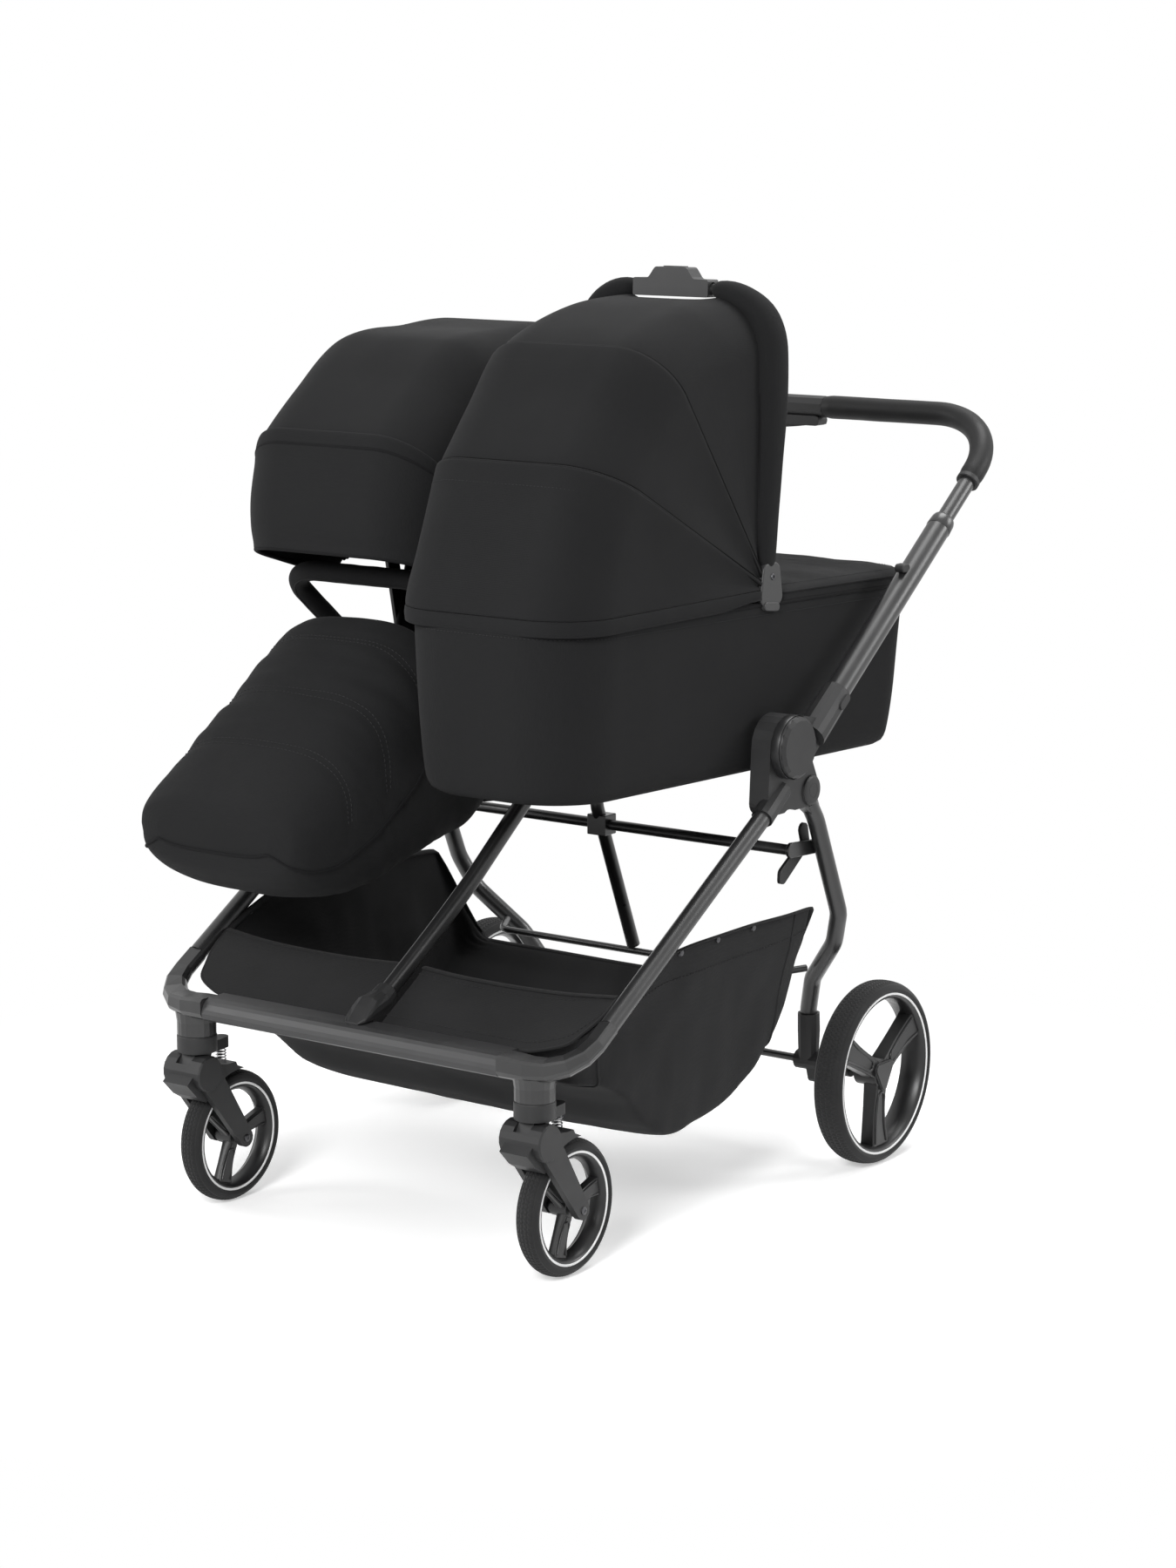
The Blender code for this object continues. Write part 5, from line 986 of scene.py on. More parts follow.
def hood_row(lean, half, height, sag=0.0, wave=0.0, slot=0.0):
    """An arch of the hood, drawn in by the sag; the slot dips it below the carry handle's grip."""
    row = []
    for x, up in arch_line(half, height, 0.078, 0.02):
        push = wave * ripple(Vector((x, up, radians(lean) * 0.4)), 0.1, 5.0)
        dip = slot * (1 - smooth_step((abs(x) - 0.038) / 0.034)) if up > height / 2 else 0
        share = 1 - (sag + push + dip) / hypot(x, up)
        row.append(cot_arch(x * share, up * share, lean))
    return row


class MakeHood(bpy.types.Operator):
    """Makes the hood's three panels, each lapped over the one behind, with welts, dark tubes of painted shade
    in the laps and a hem
    """

    bl_idname = "stroller.make_hood"
    bl_label = "Carrycot hood"

    def execute(self, context):
        sizes = context.scene.stroller_sizes
        pieces = []
        for name, keys in HOOD_PANELS:
            first, last = keys[0][0], keys[-1][0]
            count = max(8, round((last - first) / 1.1))
            grid = []
            for i in range(count + 1):
                t = i / count
                lean = first + (last - first) * t
                half, height = smooth_value(keys, lean)
                sag = 0.0045 * sin(pi * t) ** 1.2
                calm = sin(pi * t) ** 0.5 if 0 < t < 1 else 0
                slot = 0.015 * max(0, 1 - t / 0.16) ** 0.7 if name == "rear" else 0
                grid.append(hood_row(lean, half, height, sag, sizes.folds * 0.8 * calm, slot))
            panel = cloth(f"hood_{name}_panel", grid, None, "cloth_fine", sizes.cloth_thickness)
            pieces.append(panel)
        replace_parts(pieces[0], "carrycot_hood")
        pieces += self.make_trim(sizes)
        for piece in pieces:
            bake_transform(piece)
        return {"FINISHED"}

    def behind(self, lean, half, height, gap):
        """A line over the hood, this far behind the row at the lean."""
        row, ahead = hood_row(lean, half, height), hood_row(lean + 1, half, height)
        return [p - (q - p).normalized() * gap for p, q in zip(row, ahead)]

    def make_trim(self, sizes):
        """The rolled edges of the laps, dark tubes of painted shade beside them, and the front hem."""
        rolls = []
        for lean, half, height in (keys[0] for _, keys in HOOD_PANELS[1:]):
            rolls.append(tube(hood_row(lean, half - 0.0006, height - 0.0006), sizes.piping, 12, AXIS_Y))
        edge = loose("hood_lap_rolls", joined(*rolls), "cloth_fine")
        # These near-black tubes are painted shade: they stand in for the shadow along each lap of the hood.
        lap_shadows = []
        for lean, half, height in ((38.2, 0.1496, 0.4076), (64.6, 0.151, 0.4108)):
            lap_shadows.append(tube(self.behind(lean, half, height, 0.003), 0.0014, 8, AXIS_Y))
            lap_shadows.append(
                tube(self.behind(lean, half + 0.0006, height + 0.0024, -0.0026), 0.0013, 8, AXIS_Y)
            )
        lap_shadow = loose("hood_lap_grooves", joined(*lap_shadows), "gap")
        brim = hood_row(*HOOD_PANELS[-1][1][-1])
        drop = cot_at(0, 0, -0.018) - cot_at(0, 0, 0)
        grid = []
        for i in range(7):
            t = i / 6
            row = []
            for p in brim:
                away = (p - cot_at(p.x, HINGE_Y, HINGE_Z)).length
                hang = drop * t * (0.6 + 0.4 * smooth_step((away - 0.02) / 0.11))
                out = (p - cot_at(COT_X, 0.3, 0.83)).normalized()
                row.append(p + hang + out * 0.0012 * sin(pi * t))
            grid.append(row)
        skirt = cloth("hood_skirt", grid, None, "cloth_fine", sizes.cloth_thickness)
        hem_piece = loose("hood_hem_roll", tube(grid[-1], 0.0024, 12, AXIS_Z), "cloth")
        seams = []
        centre = cot_at(COT_X, HINGE_Y, HINGE_Z)
        for lean, half, height in (
            (42.6, 0.1497, 0.4085), (61.8, 0.1499, 0.408), (68.6, 0.1516, 0.415),
            (88.4, 0.152, 0.433), (34.6, 0.1478, 0.4035),
        ):
            line = hood_row(lean, half, height)
            seams.append(stitch_shape(line, [(p - centre).normalized() for p in line], *FINE_STITCH))
        threads = loose("hood_stitching", joined(*seams), "thread")
        return edge, lap_shadow, skirt, hem_piece, threads


class MakeArch(bpy.types.Operator):
    """Makes the carry handle's padded sleeves, its brackets and their screws"""

    bl_idname = "stroller.make_arch"
    bl_label = "Carry handle"

    def execute(self, context):
        folds = context.scene.stroller_sizes.folds
        turn = radians(COT_TILT)
        up = Vector((0, -sin(turn), cos(turn)))
        origin = Vector((COT_X, HINGE_Y, HINGE_Z))
        sleeves, pipes = [], []
        for side in (1, -1):
            corner = [
                (side * ARCH_HALF, 0.022), (side * ARCH_HALF, ARCH_HEIGHT - 0.002),
                (side * (GRIP_HALF + 0.004), ARCH_HEIGHT - 0.002),
            ]
            line = fillet([origin + AXIS_X * x + up * z for x, z in corner], 0.078, 20)
            line = [cot_at(*p) for p in even(line, 0.007)]
            count = len(line)
            rings = []
            for i, (point, across, upright) in enumerate(frames_along(line, AXIS_Y)):
                t = i / (count - 1)
                fat = smooth_value(
                    [(0.0, 0.55), (0.03, 0.78), (0.12, 0.9), (0.38, 1.12), (0.6, 1.34),
                     (0.78, 1.28), (0.92, 1.0), (0.985, 0.74), (1.0, 0.5)], t,
                )[0]
                back = smooth_value([(0.0, 0.2), (0.25, 0.5), (0.55, 1.0), (0.8, 0.9), (1.0, 0.1)], t)[0]
                loop = []
                for u, v in ring(0.016, 0.02, 2.3, 28):
                    lean = 0.0125 * back
                    radial = 1 + folds * 22 * ripple(point + across * u + upright * v, 0.05, 9.0)
                    loop.append(point + across * u * fat * radial + upright * (v * fat * radial + lean))
                rings.append(loop)
            sleeves.append(bridge(rings))
            planes = frames_along(line, AXIS_Y)[3:-3]
            seam = [point - upright * 0.0125 + across * 0.001 for point, across, upright in planes]
            pipes.append(tube(seam, 0.0015, 8, AXIS_Y))
        sleeve = place("carry_handle_sleeves", joined(*sleeves), "carry_arch", "cloth", sharp=60)
        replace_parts(sleeve, "carrycot_handle")
        place("carry_handle_piping", joined(*pipes), "carry_arch", "cloth_dark")
        core = [cot_at(*(origin + AXIS_X * x + up * (ARCH_HEIGHT - 0.002))) for x in (-0.078, -0.05)]
        stubs = [tube(core, 0.0078, 20, AXIS_Y)]
        stubs.append(tube([Vector((2 * COT_X - p.x, p.y, p.z)) for p in core], 0.0078, 20, AXIS_Y))
        place("carry_handle_core", joined(*stubs), "carry_arch", "tube")
        self.make_brackets()
        return {"FINISHED"}

    def cover_outline(self, *circles):
        """The outline (y, z) of a cover wrapped round circles that tip with the carrycot."""
        return [tuple(cot_at(0, y, z))[1:] for y, z in wrap(circles)]

    def make_brackets(self):
        """The plastic hinge covers on the rim, one on each side, with a screw in each."""
        for name, side in SIDES:
            face = COT_X + side * (COT_HALF + 0.0005)
            flat = self.cover_outline(
                (0.464, 0.83, 0.012), (0.493, 0.83, 0.012), (0.47, 0.862, 0.013),
                (0.485, 0.862, 0.013),
            )
            low, high = sorted((face - side * 0.01, face + side * 0.0035))
            place(f"hinge_cover_{name}", slab(flat, low, high), "frame", "moulding", 0.0022, 4)
            middle = cot_at(face + side * 0.0035, 0.479, 0.856)
            screw = [
                (0.0001, -0.001), (0.0044, -0.001), (0.0044, 0.0009), (0.0038, 0.0015), (0.0022, 0.0015),
                (0.002, 0.0002), (0.0001, 0.0002),
            ]
            place(
                f"hinge_screw_{name}", turned(screw, middle, AXIS_X * side, 28), "frame",
                "screw", sharp=40,
            )
            flat = self.cover_outline((0.466, 0.8175, 0.006), (0.49, 0.8155, 0.006))
            low, high = sorted((face - side * 0.012, face + side * 0.0052))
            place(f"hinge_foot_{name}", slab(flat, low, high), "frame", "moulding", 0.0015, 3)


# Seat


CANOPY_KEYS = (
    (-44.0, 0.1475, 0.3475), (-27, 0.1495, 0.4035), (-13, 0.1505, 0.383), (2, 0.1505, 0.3722),
    (18, 0.1505, 0.3785), (33, 0.1505, 0.368), (48.6, 0.1508, 0.365),
)
# The middle band between the welts is real cloth whose paler colour is a painted sheen for the light along
# the canopy's rear top.
CANOPY_BANDS = (
    ("rear", -44.0, -27.0, "cloth_fine"), ("strip", -27.0, -13.0, "strip"),
    ("front", -13.0, 48.6, "cloth_fine"),
)
VISOR_KEYS = (
    (47.6, 0.1526, 0.3682), (53.5, 0.1526, 0.35), (61, 0.1526, 0.333), (67.5, 0.1524, 0.318),
    (72.9, 0.1524, 0.306),
)


def canopy_row(keys, lean, sag=0.0, wave=0.0, seed=12.0):
    """One arch of the canopy's skin at this lean."""
    half, height = smooth_value(keys, lean)
    row = []
    for x, up in arch_line(half, height, 0.076, 0.071):
        push = sag + wave * ripple(Vector((x, up, radians(lean) * 0.4)), 0.09, seed)
        share = 1 - push / hypot(x, up)
        row.append(seat_arch(x * share, up * share, lean))
    return row


def canopy_normals(line):
    centre = seat_arch(0, 0.1, 10)
    return [(p - centre).normalized() for p in line]


class MakeCanopy(bpy.types.Operator):
    """Makes the seat's canopy with its pale band of painted sheen, its welts, and the visor with its seam
    roll
    """

    bl_idname = "stroller.make_canopy"
    bl_label = "Seat canopy"

    def execute(self, context):
        sizes = context.scene.stroller_sizes
        pieces = []
        for name, first, last, key in CANOPY_BANDS:
            count = max(8, round((last - first) / 1.2))
            grid = []
            for i in range(count + 1):
                t = i / count
                lean = first + (last - first) * t
                sag = 0.0035 * abs(sin(pi * t * (2 if name == "front" else 1)))
                calm = sin(pi * t) ** 0.5 if 0 < t < 1 else 0
                grid.append(canopy_row(CANOPY_KEYS, lean, sag, sizes.folds * 0.8 * calm))
            panel = cloth(f"canopy_{name}_panel", grid, None, key, sizes.cloth_thickness)
            pieces.append(panel)
        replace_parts(pieces[0], "seat_canopy")
        welts = [tube(canopy_row(CANOPY_KEYS, lean, 0.0002), 0.0017, 10, AXIS_Y) for lean in (-27, -13, 18)]
        pieces.append(loose("canopy_welts", joined(*welts), "cloth_dark"))
        rims = [tube(canopy_row(CANOPY_KEYS, lean, 0.001), 0.0028, 10, AXIS_Y) for lean in (-44, 48.4)]
        pieces.append(loose("canopy_edge_rolls", joined(*rims), "cloth_dark"))
        seams = []
        for lean in (-30, -10.2, 15.6, 20.4, 45.4):
            line = canopy_row(CANOPY_KEYS, lean, -0.0002)
            seams.append(stitch_shape(line, canopy_normals(line), *FINE_STITCH))
        pieces.append(loose("canopy_stitching", joined(*seams), "thread"))
        for piece in pieces:
            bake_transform(piece)
        self.make_visor(sizes)
        return {"FINISHED"}

    def make_visor(self, sizes):
        """The visor's sheet, rolled at both edges, with its stitches."""
        grid = []
        for i in range(25):
            t = i / 24
            lean = 47.6 + 25.3 * t
            bulge = -0.003 * sin(pi * t)
            grid.append(canopy_row(VISOR_KEYS, lean, bulge, sizes.folds * 0.5 * sin(pi * t), seed=4.0))
        visor = cloth("visor_panel", grid, "visor", "cloth", sizes.cloth_thickness)
        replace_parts(visor, "canopy_visor")
        rolls = [tube(canopy_row(VISOR_KEYS, 50.6, -0.001), 0.003, 12, AXIS_Y)]
        rolls.append(tube(canopy_row(VISOR_KEYS, 72.9, 0.001), 0.0031, 12, AXIS_Y))
        place("visor_seam_rolls", joined(*rolls), "visor", "cloth_dark")
        seams = []
        for lean in (52.6, 70.4):
            line = canopy_row(VISOR_KEYS, lean, -0.0024)
            seams.append(stitch_shape(line, canopy_normals(line), 0.0034, 0.0024, 0.00036))
        place("visor_stitching", joined(*seams), "visor", "thread")


MUFF_STATIONS = (
    ((-0.096, 0.566), (-0.096, 0.53), 0.095), ((-0.088, 0.584), (-0.09, 0.502), 0.126),
    ((-0.066, 0.604), (-0.068, 0.478), 0.14), ((-0.028, 0.632), (-0.024, 0.458), 0.147),
    ((0.018, 0.666), (0.018, 0.45), 0.15), ((0.066, 0.7), (0.064, 0.446), 0.15),
    ((0.12, 0.74), (0.125, 0.454), 0.15), ((0.165, 0.775), (0.185, 0.466), 0.149),
    ((0.205, 0.792), (0.24, 0.478), 0.147), ((0.245, 0.755), (0.3, 0.49), 0.144),
    ((0.27, 0.7), (0.335, 0.51), 0.132),
)


def muff_station(t):
    """The footmuff's section at t from toe to lap: its top, its underside and its half width."""
    last = len(MUFF_STATIONS) - 1
    keys = [(i / last, *top, *low, half) for i, (top, low, half) in enumerate(MUFF_STATIONS)]
    return smooth_value(keys, t)


def muff_point(t, angle, out=0.0):
    """A point of the footmuff's skin; the angle goes round from the right side over the top."""
    top_y, top_z, low_y, low_z, half = muff_station(t)
    c, s = cos(angle), sin(angle)
    scale = (abs(c) ** 3.2 + abs(s) ** 3.2) ** (-1 / 3.2)
    across, up = c * scale, s * scale
    length = hypot(top_y - low_y, top_z - low_z) / 2
    middle_y, middle_z = (top_y + low_y) / 2, (top_z + low_z) / 2
    x = across * (half + out)
    lift = up * (1 + out / length)
    return at(SEAT_X + x, middle_y + (top_y - low_y) / 2 * lift, middle_z + (top_z - low_z) / 2 * lift)


def muff_normal(t, angle):
    """The way out of the footmuff's plain form."""
    a = muff_point(t, angle + 0.02) - muff_point(t, angle - 0.02)
    b = muff_point(min(t + 0.01, 1), angle) - muff_point(max(t - 0.01, 0), angle)
    return a.cross(b).normalized() * -1


QUILT_LINES = (0.365, 0.53, 0.69)
MUFF_SEAM = ((0.0, -0.62), (0.12, -0.52), (0.3, -0.4), (0.6, -0.1), (0.85, 0.3), (1.0, 0.45))


def muff_depth(t, angle, sizes):
    """How far the skin stands off its plain form: quilted pads, seams drawn in and wrinkles."""
    folds, fill = sizes.folds * 0.7, sizes.muff_fill
    over = max(0.0, min(1.0, sin(angle) * 4 + 0.6))
    near = min(abs(t - q) for q in QUILT_LINES)
    pad = fill * (1 - exp(-((near / 0.027) ** 2))) * over
    point = muff_point(t, angle)
    wave = ripple(point, 0.075, 3.0) * folds + ripple(point, 0.03, 8.0) * folds * 0.35
    crease = ripple(Vector((point.x * 2.2, point.y * 7 + point.z * 5, 0)), 0.16, 6.0)
    slack = exp(-(((t - 0.62) / 0.24) ** 2)) * folds * 2.4 * crease
    return pad * 0.55 - fill * 0.25 + wave + slack


def muff_skin(t, angle, sizes, lift=0.0):
    """A point of the quilted skin, which is plain at the toe and at the lap."""
    ends = max(0.0, min(1.0, t / 0.05, (1 - t) / 0.05))
    return muff_point(t, angle, muff_depth(t, angle, sizes) * ends + lift)


class MakeFootmuff(bpy.types.Operator):
    """Makes the quilted footmuff with its piping, its gussets and its stitching"""

    bl_idname = "stroller.make_footmuff"
    bl_label = "Footmuff"

    def execute(self, context):
        sizes = context.scene.stroller_sizes
        rows, columns = 150, 150
        rings = []
        for i in range(rows + 1):
            angles = [2 * pi * (k + 0.5) / columns for k in range(columns)]
            rings.append([muff_skin(i / rows, angle, sizes) for angle in angles])
        muff = place("footmuff_cover", bridge(rings), "frame", "cloth", sharp=80)
        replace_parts(muff, "footmuff")
        self.make_piping(sizes)
        self.make_stitches(sizes)
        return {"FINISHED"}

    def make_piping(self, sizes):
        """A piped seam from the lap down the right side, round the toe and up the left side."""
        right, left = [], []
        for i in range(100):
            t = 0.035 + 0.93 * i / 99
            drop = smooth_value(MUFF_SEAM, t)[0]
            for line, angle in ((right, pi - drop), (left, drop)):
                line.append(muff_skin(t, angle, sizes, 0.0006))
        toe = []
        for i in range(1, 40):
            u = i / 40
            angle = pi + 0.6 + (pi - 1.2) * u
            toe.append(muff_point(0.03, angle, 0.0006))
        seam = list(reversed(right)) + toe + left
        line = even(through(seam[::3], 3), 0.005)
        place("footmuff_piping", tube(line, sizes.piping, 10, AXIS_Y), "frame", "cloth_dark")

    def make_stitches(self, sizes):
        """Two rows of stitches along each quilting line across the top."""
        rows = []
        for q in QUILT_LINES:
            for shift in (-0.0075, 0.0075):
                line, normals = [], []
                for k in range(90):
                    angle = 0.12 + (pi - 0.24) * k / 89
                    line.append(muff_skin(q + shift, angle, sizes, 0.0002))
                    normals.append(muff_normal(q + shift, angle))
                rows.append(stitch_shape(line, normals, 0.004, 0.0026, 0.0005))
        place("footmuff_stitching", joined(*rows), "frame", "thread")


SEAT_BACK = (
    (0.0, 0.3482, 0.536, 0.02), (0.12, 0.405, 0.53, 0.035), (0.23, 0.445, 0.554, 0.055),
    (0.36, 0.484, 0.62, 0.075), (0.53, 0.52, 0.72, 0.085), (0.74, 0.553, 0.86, 0.08),
    (0.92, 0.585, 0.985, 0.06), (1.0, 0.6, 1.05, 0.04),
)


class MakeSeat(bpy.types.Operator):
    """Makes the seat's padded shell and liner, its harness and adapters, and the bumper bar's cover"""

    bl_idname = "stroller.make_seat"
    bl_label = "Seat and bumper bar"

    def execute(self, context):
        self.make_shell(context.scene.stroller_sizes.folds)
        self.make_adapters()
        self.make_liner()
        self.make_harness()
        self.make_bumper()
        return {"FINISHED"}

    def make_shell(self, folds):
        """The seat's padded back and base, whose wings come forward, with a bound edge."""
        rows, columns = 90, 72
        middle = []
        for i in range(rows + 1):
            y, z, wing = smooth_value(SEAT_BACK, i / rows)
            row = []
            for k in range(columns + 1):
                share = -1 + 2 * k / columns
                push = wing * max(0, (abs(share) - 0.6) / 0.4) ** 1.7
                row.append(at(SEAT_X + 0.116 * share, y - push, z + push * 0.25))
            middle.append(row)
        rings = []
        for i, row in enumerate(middle):
            t = i / rows
            inner, outer = [], []
            for k, point in enumerate(row):
                share = abs(-1 + 2 * k / columns)
                ahead = middle[min(i + 1, rows)][k] - middle[max(i - 1, 0)][k]
                across = row[min(k + 1, columns)] - row[max(k - 1, 0)]
                forward = across.cross(ahead).normalized()
                if forward.y > 0:
                    forward = -forward
                edge = min(1, (1 - share) / 0.05, t / 0.03, (1 - t) / 0.03)
                round_off = 0.3 + 0.7 * sqrt(max(edge, 0))
                channel = 1 - exp(-(((t * 5.0) % 1 - 0.5) / 0.16) ** 2) * 0.5
                wave = folds * 0.7 * ripple(point, 0.06, 4.0)
                inner.append(point + forward * 0.0048 * round_off)
                outer.append(point - forward * (0.0045 * round_off * channel + wave * max(edge, 0)))
            rings.append(inner + list(reversed(outer)))
        back = place("seat_shell_cover", bridge(rings), "frame", "lining", sharp=70)
        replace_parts(back, "seat_shell")
        edge = [row[0] for row in middle] + middle[-1][1:-1] + [row[-1] for row in reversed(middle)]
        line = even(edge, 0.006)
        place("seat_shell_binding", tube(line, 0.0042, 12, AXIS_X), "frame", "cloth_dark")

    def make_adapters(self):
        """The mouldings that lock the seat to the hubs, and the posts that carry the canopy."""
        adapters, posts = [], []
        for face, inward in ((-0.3157, 1), (-0.0111, -1)):
            middle = at(0, HUB_Y, HUB_Z)
            button = [
                (0.0001, face), (0.03, face), (0.032, face + inward * 0.002),
                (0.032, face + inward * 0.022), (0.03, face + inward * 0.024),
                (0.0001, face + inward * 0.024),
            ]
            adapters.append(turned(button, middle, AXIS_X, 64))
            arm = side_wrap((HUB_Y, HUB_Z, 0.02), (0.505, 0.655, 0.024))
            adapters.append(slab(arm, *sorted((face + inward * 0.012, face + inward * 0.046))))
            block = side_wrap(*[(y, z, 0.006) for y in (0.4765, 0.499) for z in (0.646, 0.661)])
            adapters.append(slab(block, *sorted((face + inward * 0.03, SEAT_X - inward * 0.088))))
            post = SEAT_X - inward * 0.125
            flat = side_wrap((0.472, 0.648, 0.014), (0.422, 0.88, 0.012))
            posts.append(slab(flat, *sorted((post, post + inward * 0.0065))))
            flat = side_wrap((0.42, 0.855, 0.011), (0.42, 0.888, 0.011))
            posts.append(slab(flat, *sorted((SEAT_X - inward * 0.1427, post + inward * 0.003))))
        place("seat_adapters", joined(*adapters), "frame", "plastic", 0.0014, 3)
        place("canopy_posts", joined(*posts), "frame", "plastic", 0.0012, 3)

    def make_liner(self):
        """The quilted pad that lies on the seat's base and back."""
        rings = []
        back = [
            (0.0, 0.355, 0.556), (0.18, 0.405, 0.553), (0.32, 0.442, 0.58), (0.5, 0.479, 0.66),
            (0.7, 0.523, 0.79), (0.86, 0.554, 0.905), (1.0, 0.572, 1.01),
        ]
        rows, columns = 60, 26
        for i in range(rows + 1):
            t = i / rows
            y, z = smooth_value(back, t)
            after = smooth_value(back, min(t + 0.01, 1))
            before = smooth_value(back, max(t - 0.01, 0))
            dy, dz = after[0] - before[0], after[1] - before[1]
            size = hypot(dy, dz)
            normal = Vector((0, -dz / size, dy / size))
            line_top, line_under = [], []
            for k in range(columns + 1):
                u = -1 + 2 * k / columns
                edge = (1 - abs(u) ** 6) * min(1, t / 0.06, (1 - t) / 0.06) ** 0.5 if 0 < t < 1 else 0
                quilt = abs(sin(pi * t * 6)) ** 0.6 * abs(cos(pi * u * 1.5)) ** 0.4
                base = at(SEAT_X + u * 0.08, y, z)
                line_top.append(base + normal * (0.006 + 0.009 * max(edge, 0) + 0.003 * quilt * max(edge, 0)))
                line_under.append(base + normal * 0.001)
            rings.append(line_top + list(reversed(line_under)))
        pad = place("seat_liner_cover", bridge(rings), "frame", "lining", sharp=60)
        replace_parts(pad, "seat_liner")

    def make_harness(self):
        """Two shoulder straps with pads, a lap strap, a crotch strap and the buckle."""
        strap = [(-0.01, -0.0008), (0.01, -0.0008), (0.01, 0.0008), (-0.01, 0.0008)]
        straps, pads = [], []
        for side in (-1, 1):
            path = through([
                at(SEAT_X + side * 0.045, 0.54, 0.885), at(SEAT_X + side * 0.044, 0.512, 0.825),
                at(SEAT_X + side * 0.036, 0.485, 0.75), at(SEAT_X + side * 0.016, 0.462, 0.665),
                at(SEAT_X + side * 0.006, 0.455, 0.64),
            ], 8)
            straps.append(tube(path, 1, up=AXIS_Y, section=strap))
            pads.append(tube(path[3:22], 1, up=AXIS_Y, section=ring(0.0165, 0.0045, 3, 24)))
            lap = through([
                at(SEAT_X + side * 0.078, 0.47, 0.6), at(SEAT_X + side * 0.05, 0.452, 0.618),
                at(SEAT_X + side * 0.014, 0.448, 0.634),
            ], 8)
            straps.append(tube(lap, 1, up=AXIS_Y, section=strap))
        straps = place("harness_straps", joined(*straps), "frame", "cloth_dark", sharp=40)
        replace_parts(straps, "seat_harness")
        pad = place("harness_pads", joined(*pads), "frame", "cloth", sharp=60)
        line = [at(SEAT_X, 0.4545, 0.652), at(SEAT_X, 0.45, 0.634), at(SEAT_X, 0.447, 0.612)]
        buckle = tube(line, 1, up=AXIS_Y, section=ring(0.02, 0.0065, 3.5, 32))
        place("harness_buckle", buckle, "frame", "plastic_smooth", 0.0016, 3)

    def make_bumper(self):
        """The cloth-covered bar across the seat's front, with its seam underneath."""
        hub = Vector((HUB_Y, HUB_Z))
        reach = (Vector((0.312, 0.78)) - hub).normalized()
        start = hub + reach * 0.0325
        corners = [
            at(-0.0225, start.x, start.y), at(-0.0225, 0.215, 0.85), at(-0.3015, 0.215, 0.85),
            at(-0.3015, start.x, start.y),
        ]
        line = even(fillet(corners, 0.062, 16), 0.005)
        rings = []
        count = len(line) - 1
        for i, (point, across, upright) in enumerate(frames_along(line, AXIS_Z)):
            t = i / count
            grip = min(1, max(0, (t - 0.045) / 0.02), max(0, (0.955 - t) / 0.02))
            loop = []
            for u, v in ring(1, 1, 2, 32):
                wave = ripple(point + across * u * 0.014 + upright * v * 0.014, 0.022, 2.0)
                radius = 0.0112 + 0.0024 * grip + 0.00045 * wave * grip
                loop.append(point + across * u * radius + upright * v * radius)
            rings.append(loop)
        cover = place("bumper_bar_cover", bridge(rings), "frame", "cloth_dark", sharp=60)
        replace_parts(cover, "bumper_bar")
        seam = [p - u * 0.0136 for p, _, u in frames_along(line, AXIS_Z)][8:-8]
        place("bumper_bar_seam", tube(seam, 0.001, 8, AXIS_Z), "frame", "cloth")
        caps = []
        for side in (-0.0225, -0.3015):
            first = at(side, *(hub + reach * 0.03))
            second = at(side, *(hub + reach * 0.052))
            caps.append(tube([first, first.lerp(second, 0.9), second], 0.015, 32, AXIS_X, (1, 1, 0.93)))
        place("bumper_bar_sockets", joined(*caps), "frame", "plastic", 0.001, 3)


# Wheels


WHEELS = (
    ("rear_left", "rear_wheel_left", REAR_AXLE, 1, 0.1302, 0.113, 0.045, -90, 0.023, 1),
    ("rear_right", "rear_wheel_right", REAR_AXLE, -1, 0.1302, 0.113, 0.045, -90, 0.023, -1),
    ("front_left", "front_wheel_left", FRONT_AXLE, 1, 0.0902, 0.073, 0.034, 12, 0.015, 1),
    ("front_right", "front_wheel_right", FRONT_AXLE, -1, 0.0902, 0.073, 0.034, 12, 0.015, 1),
)


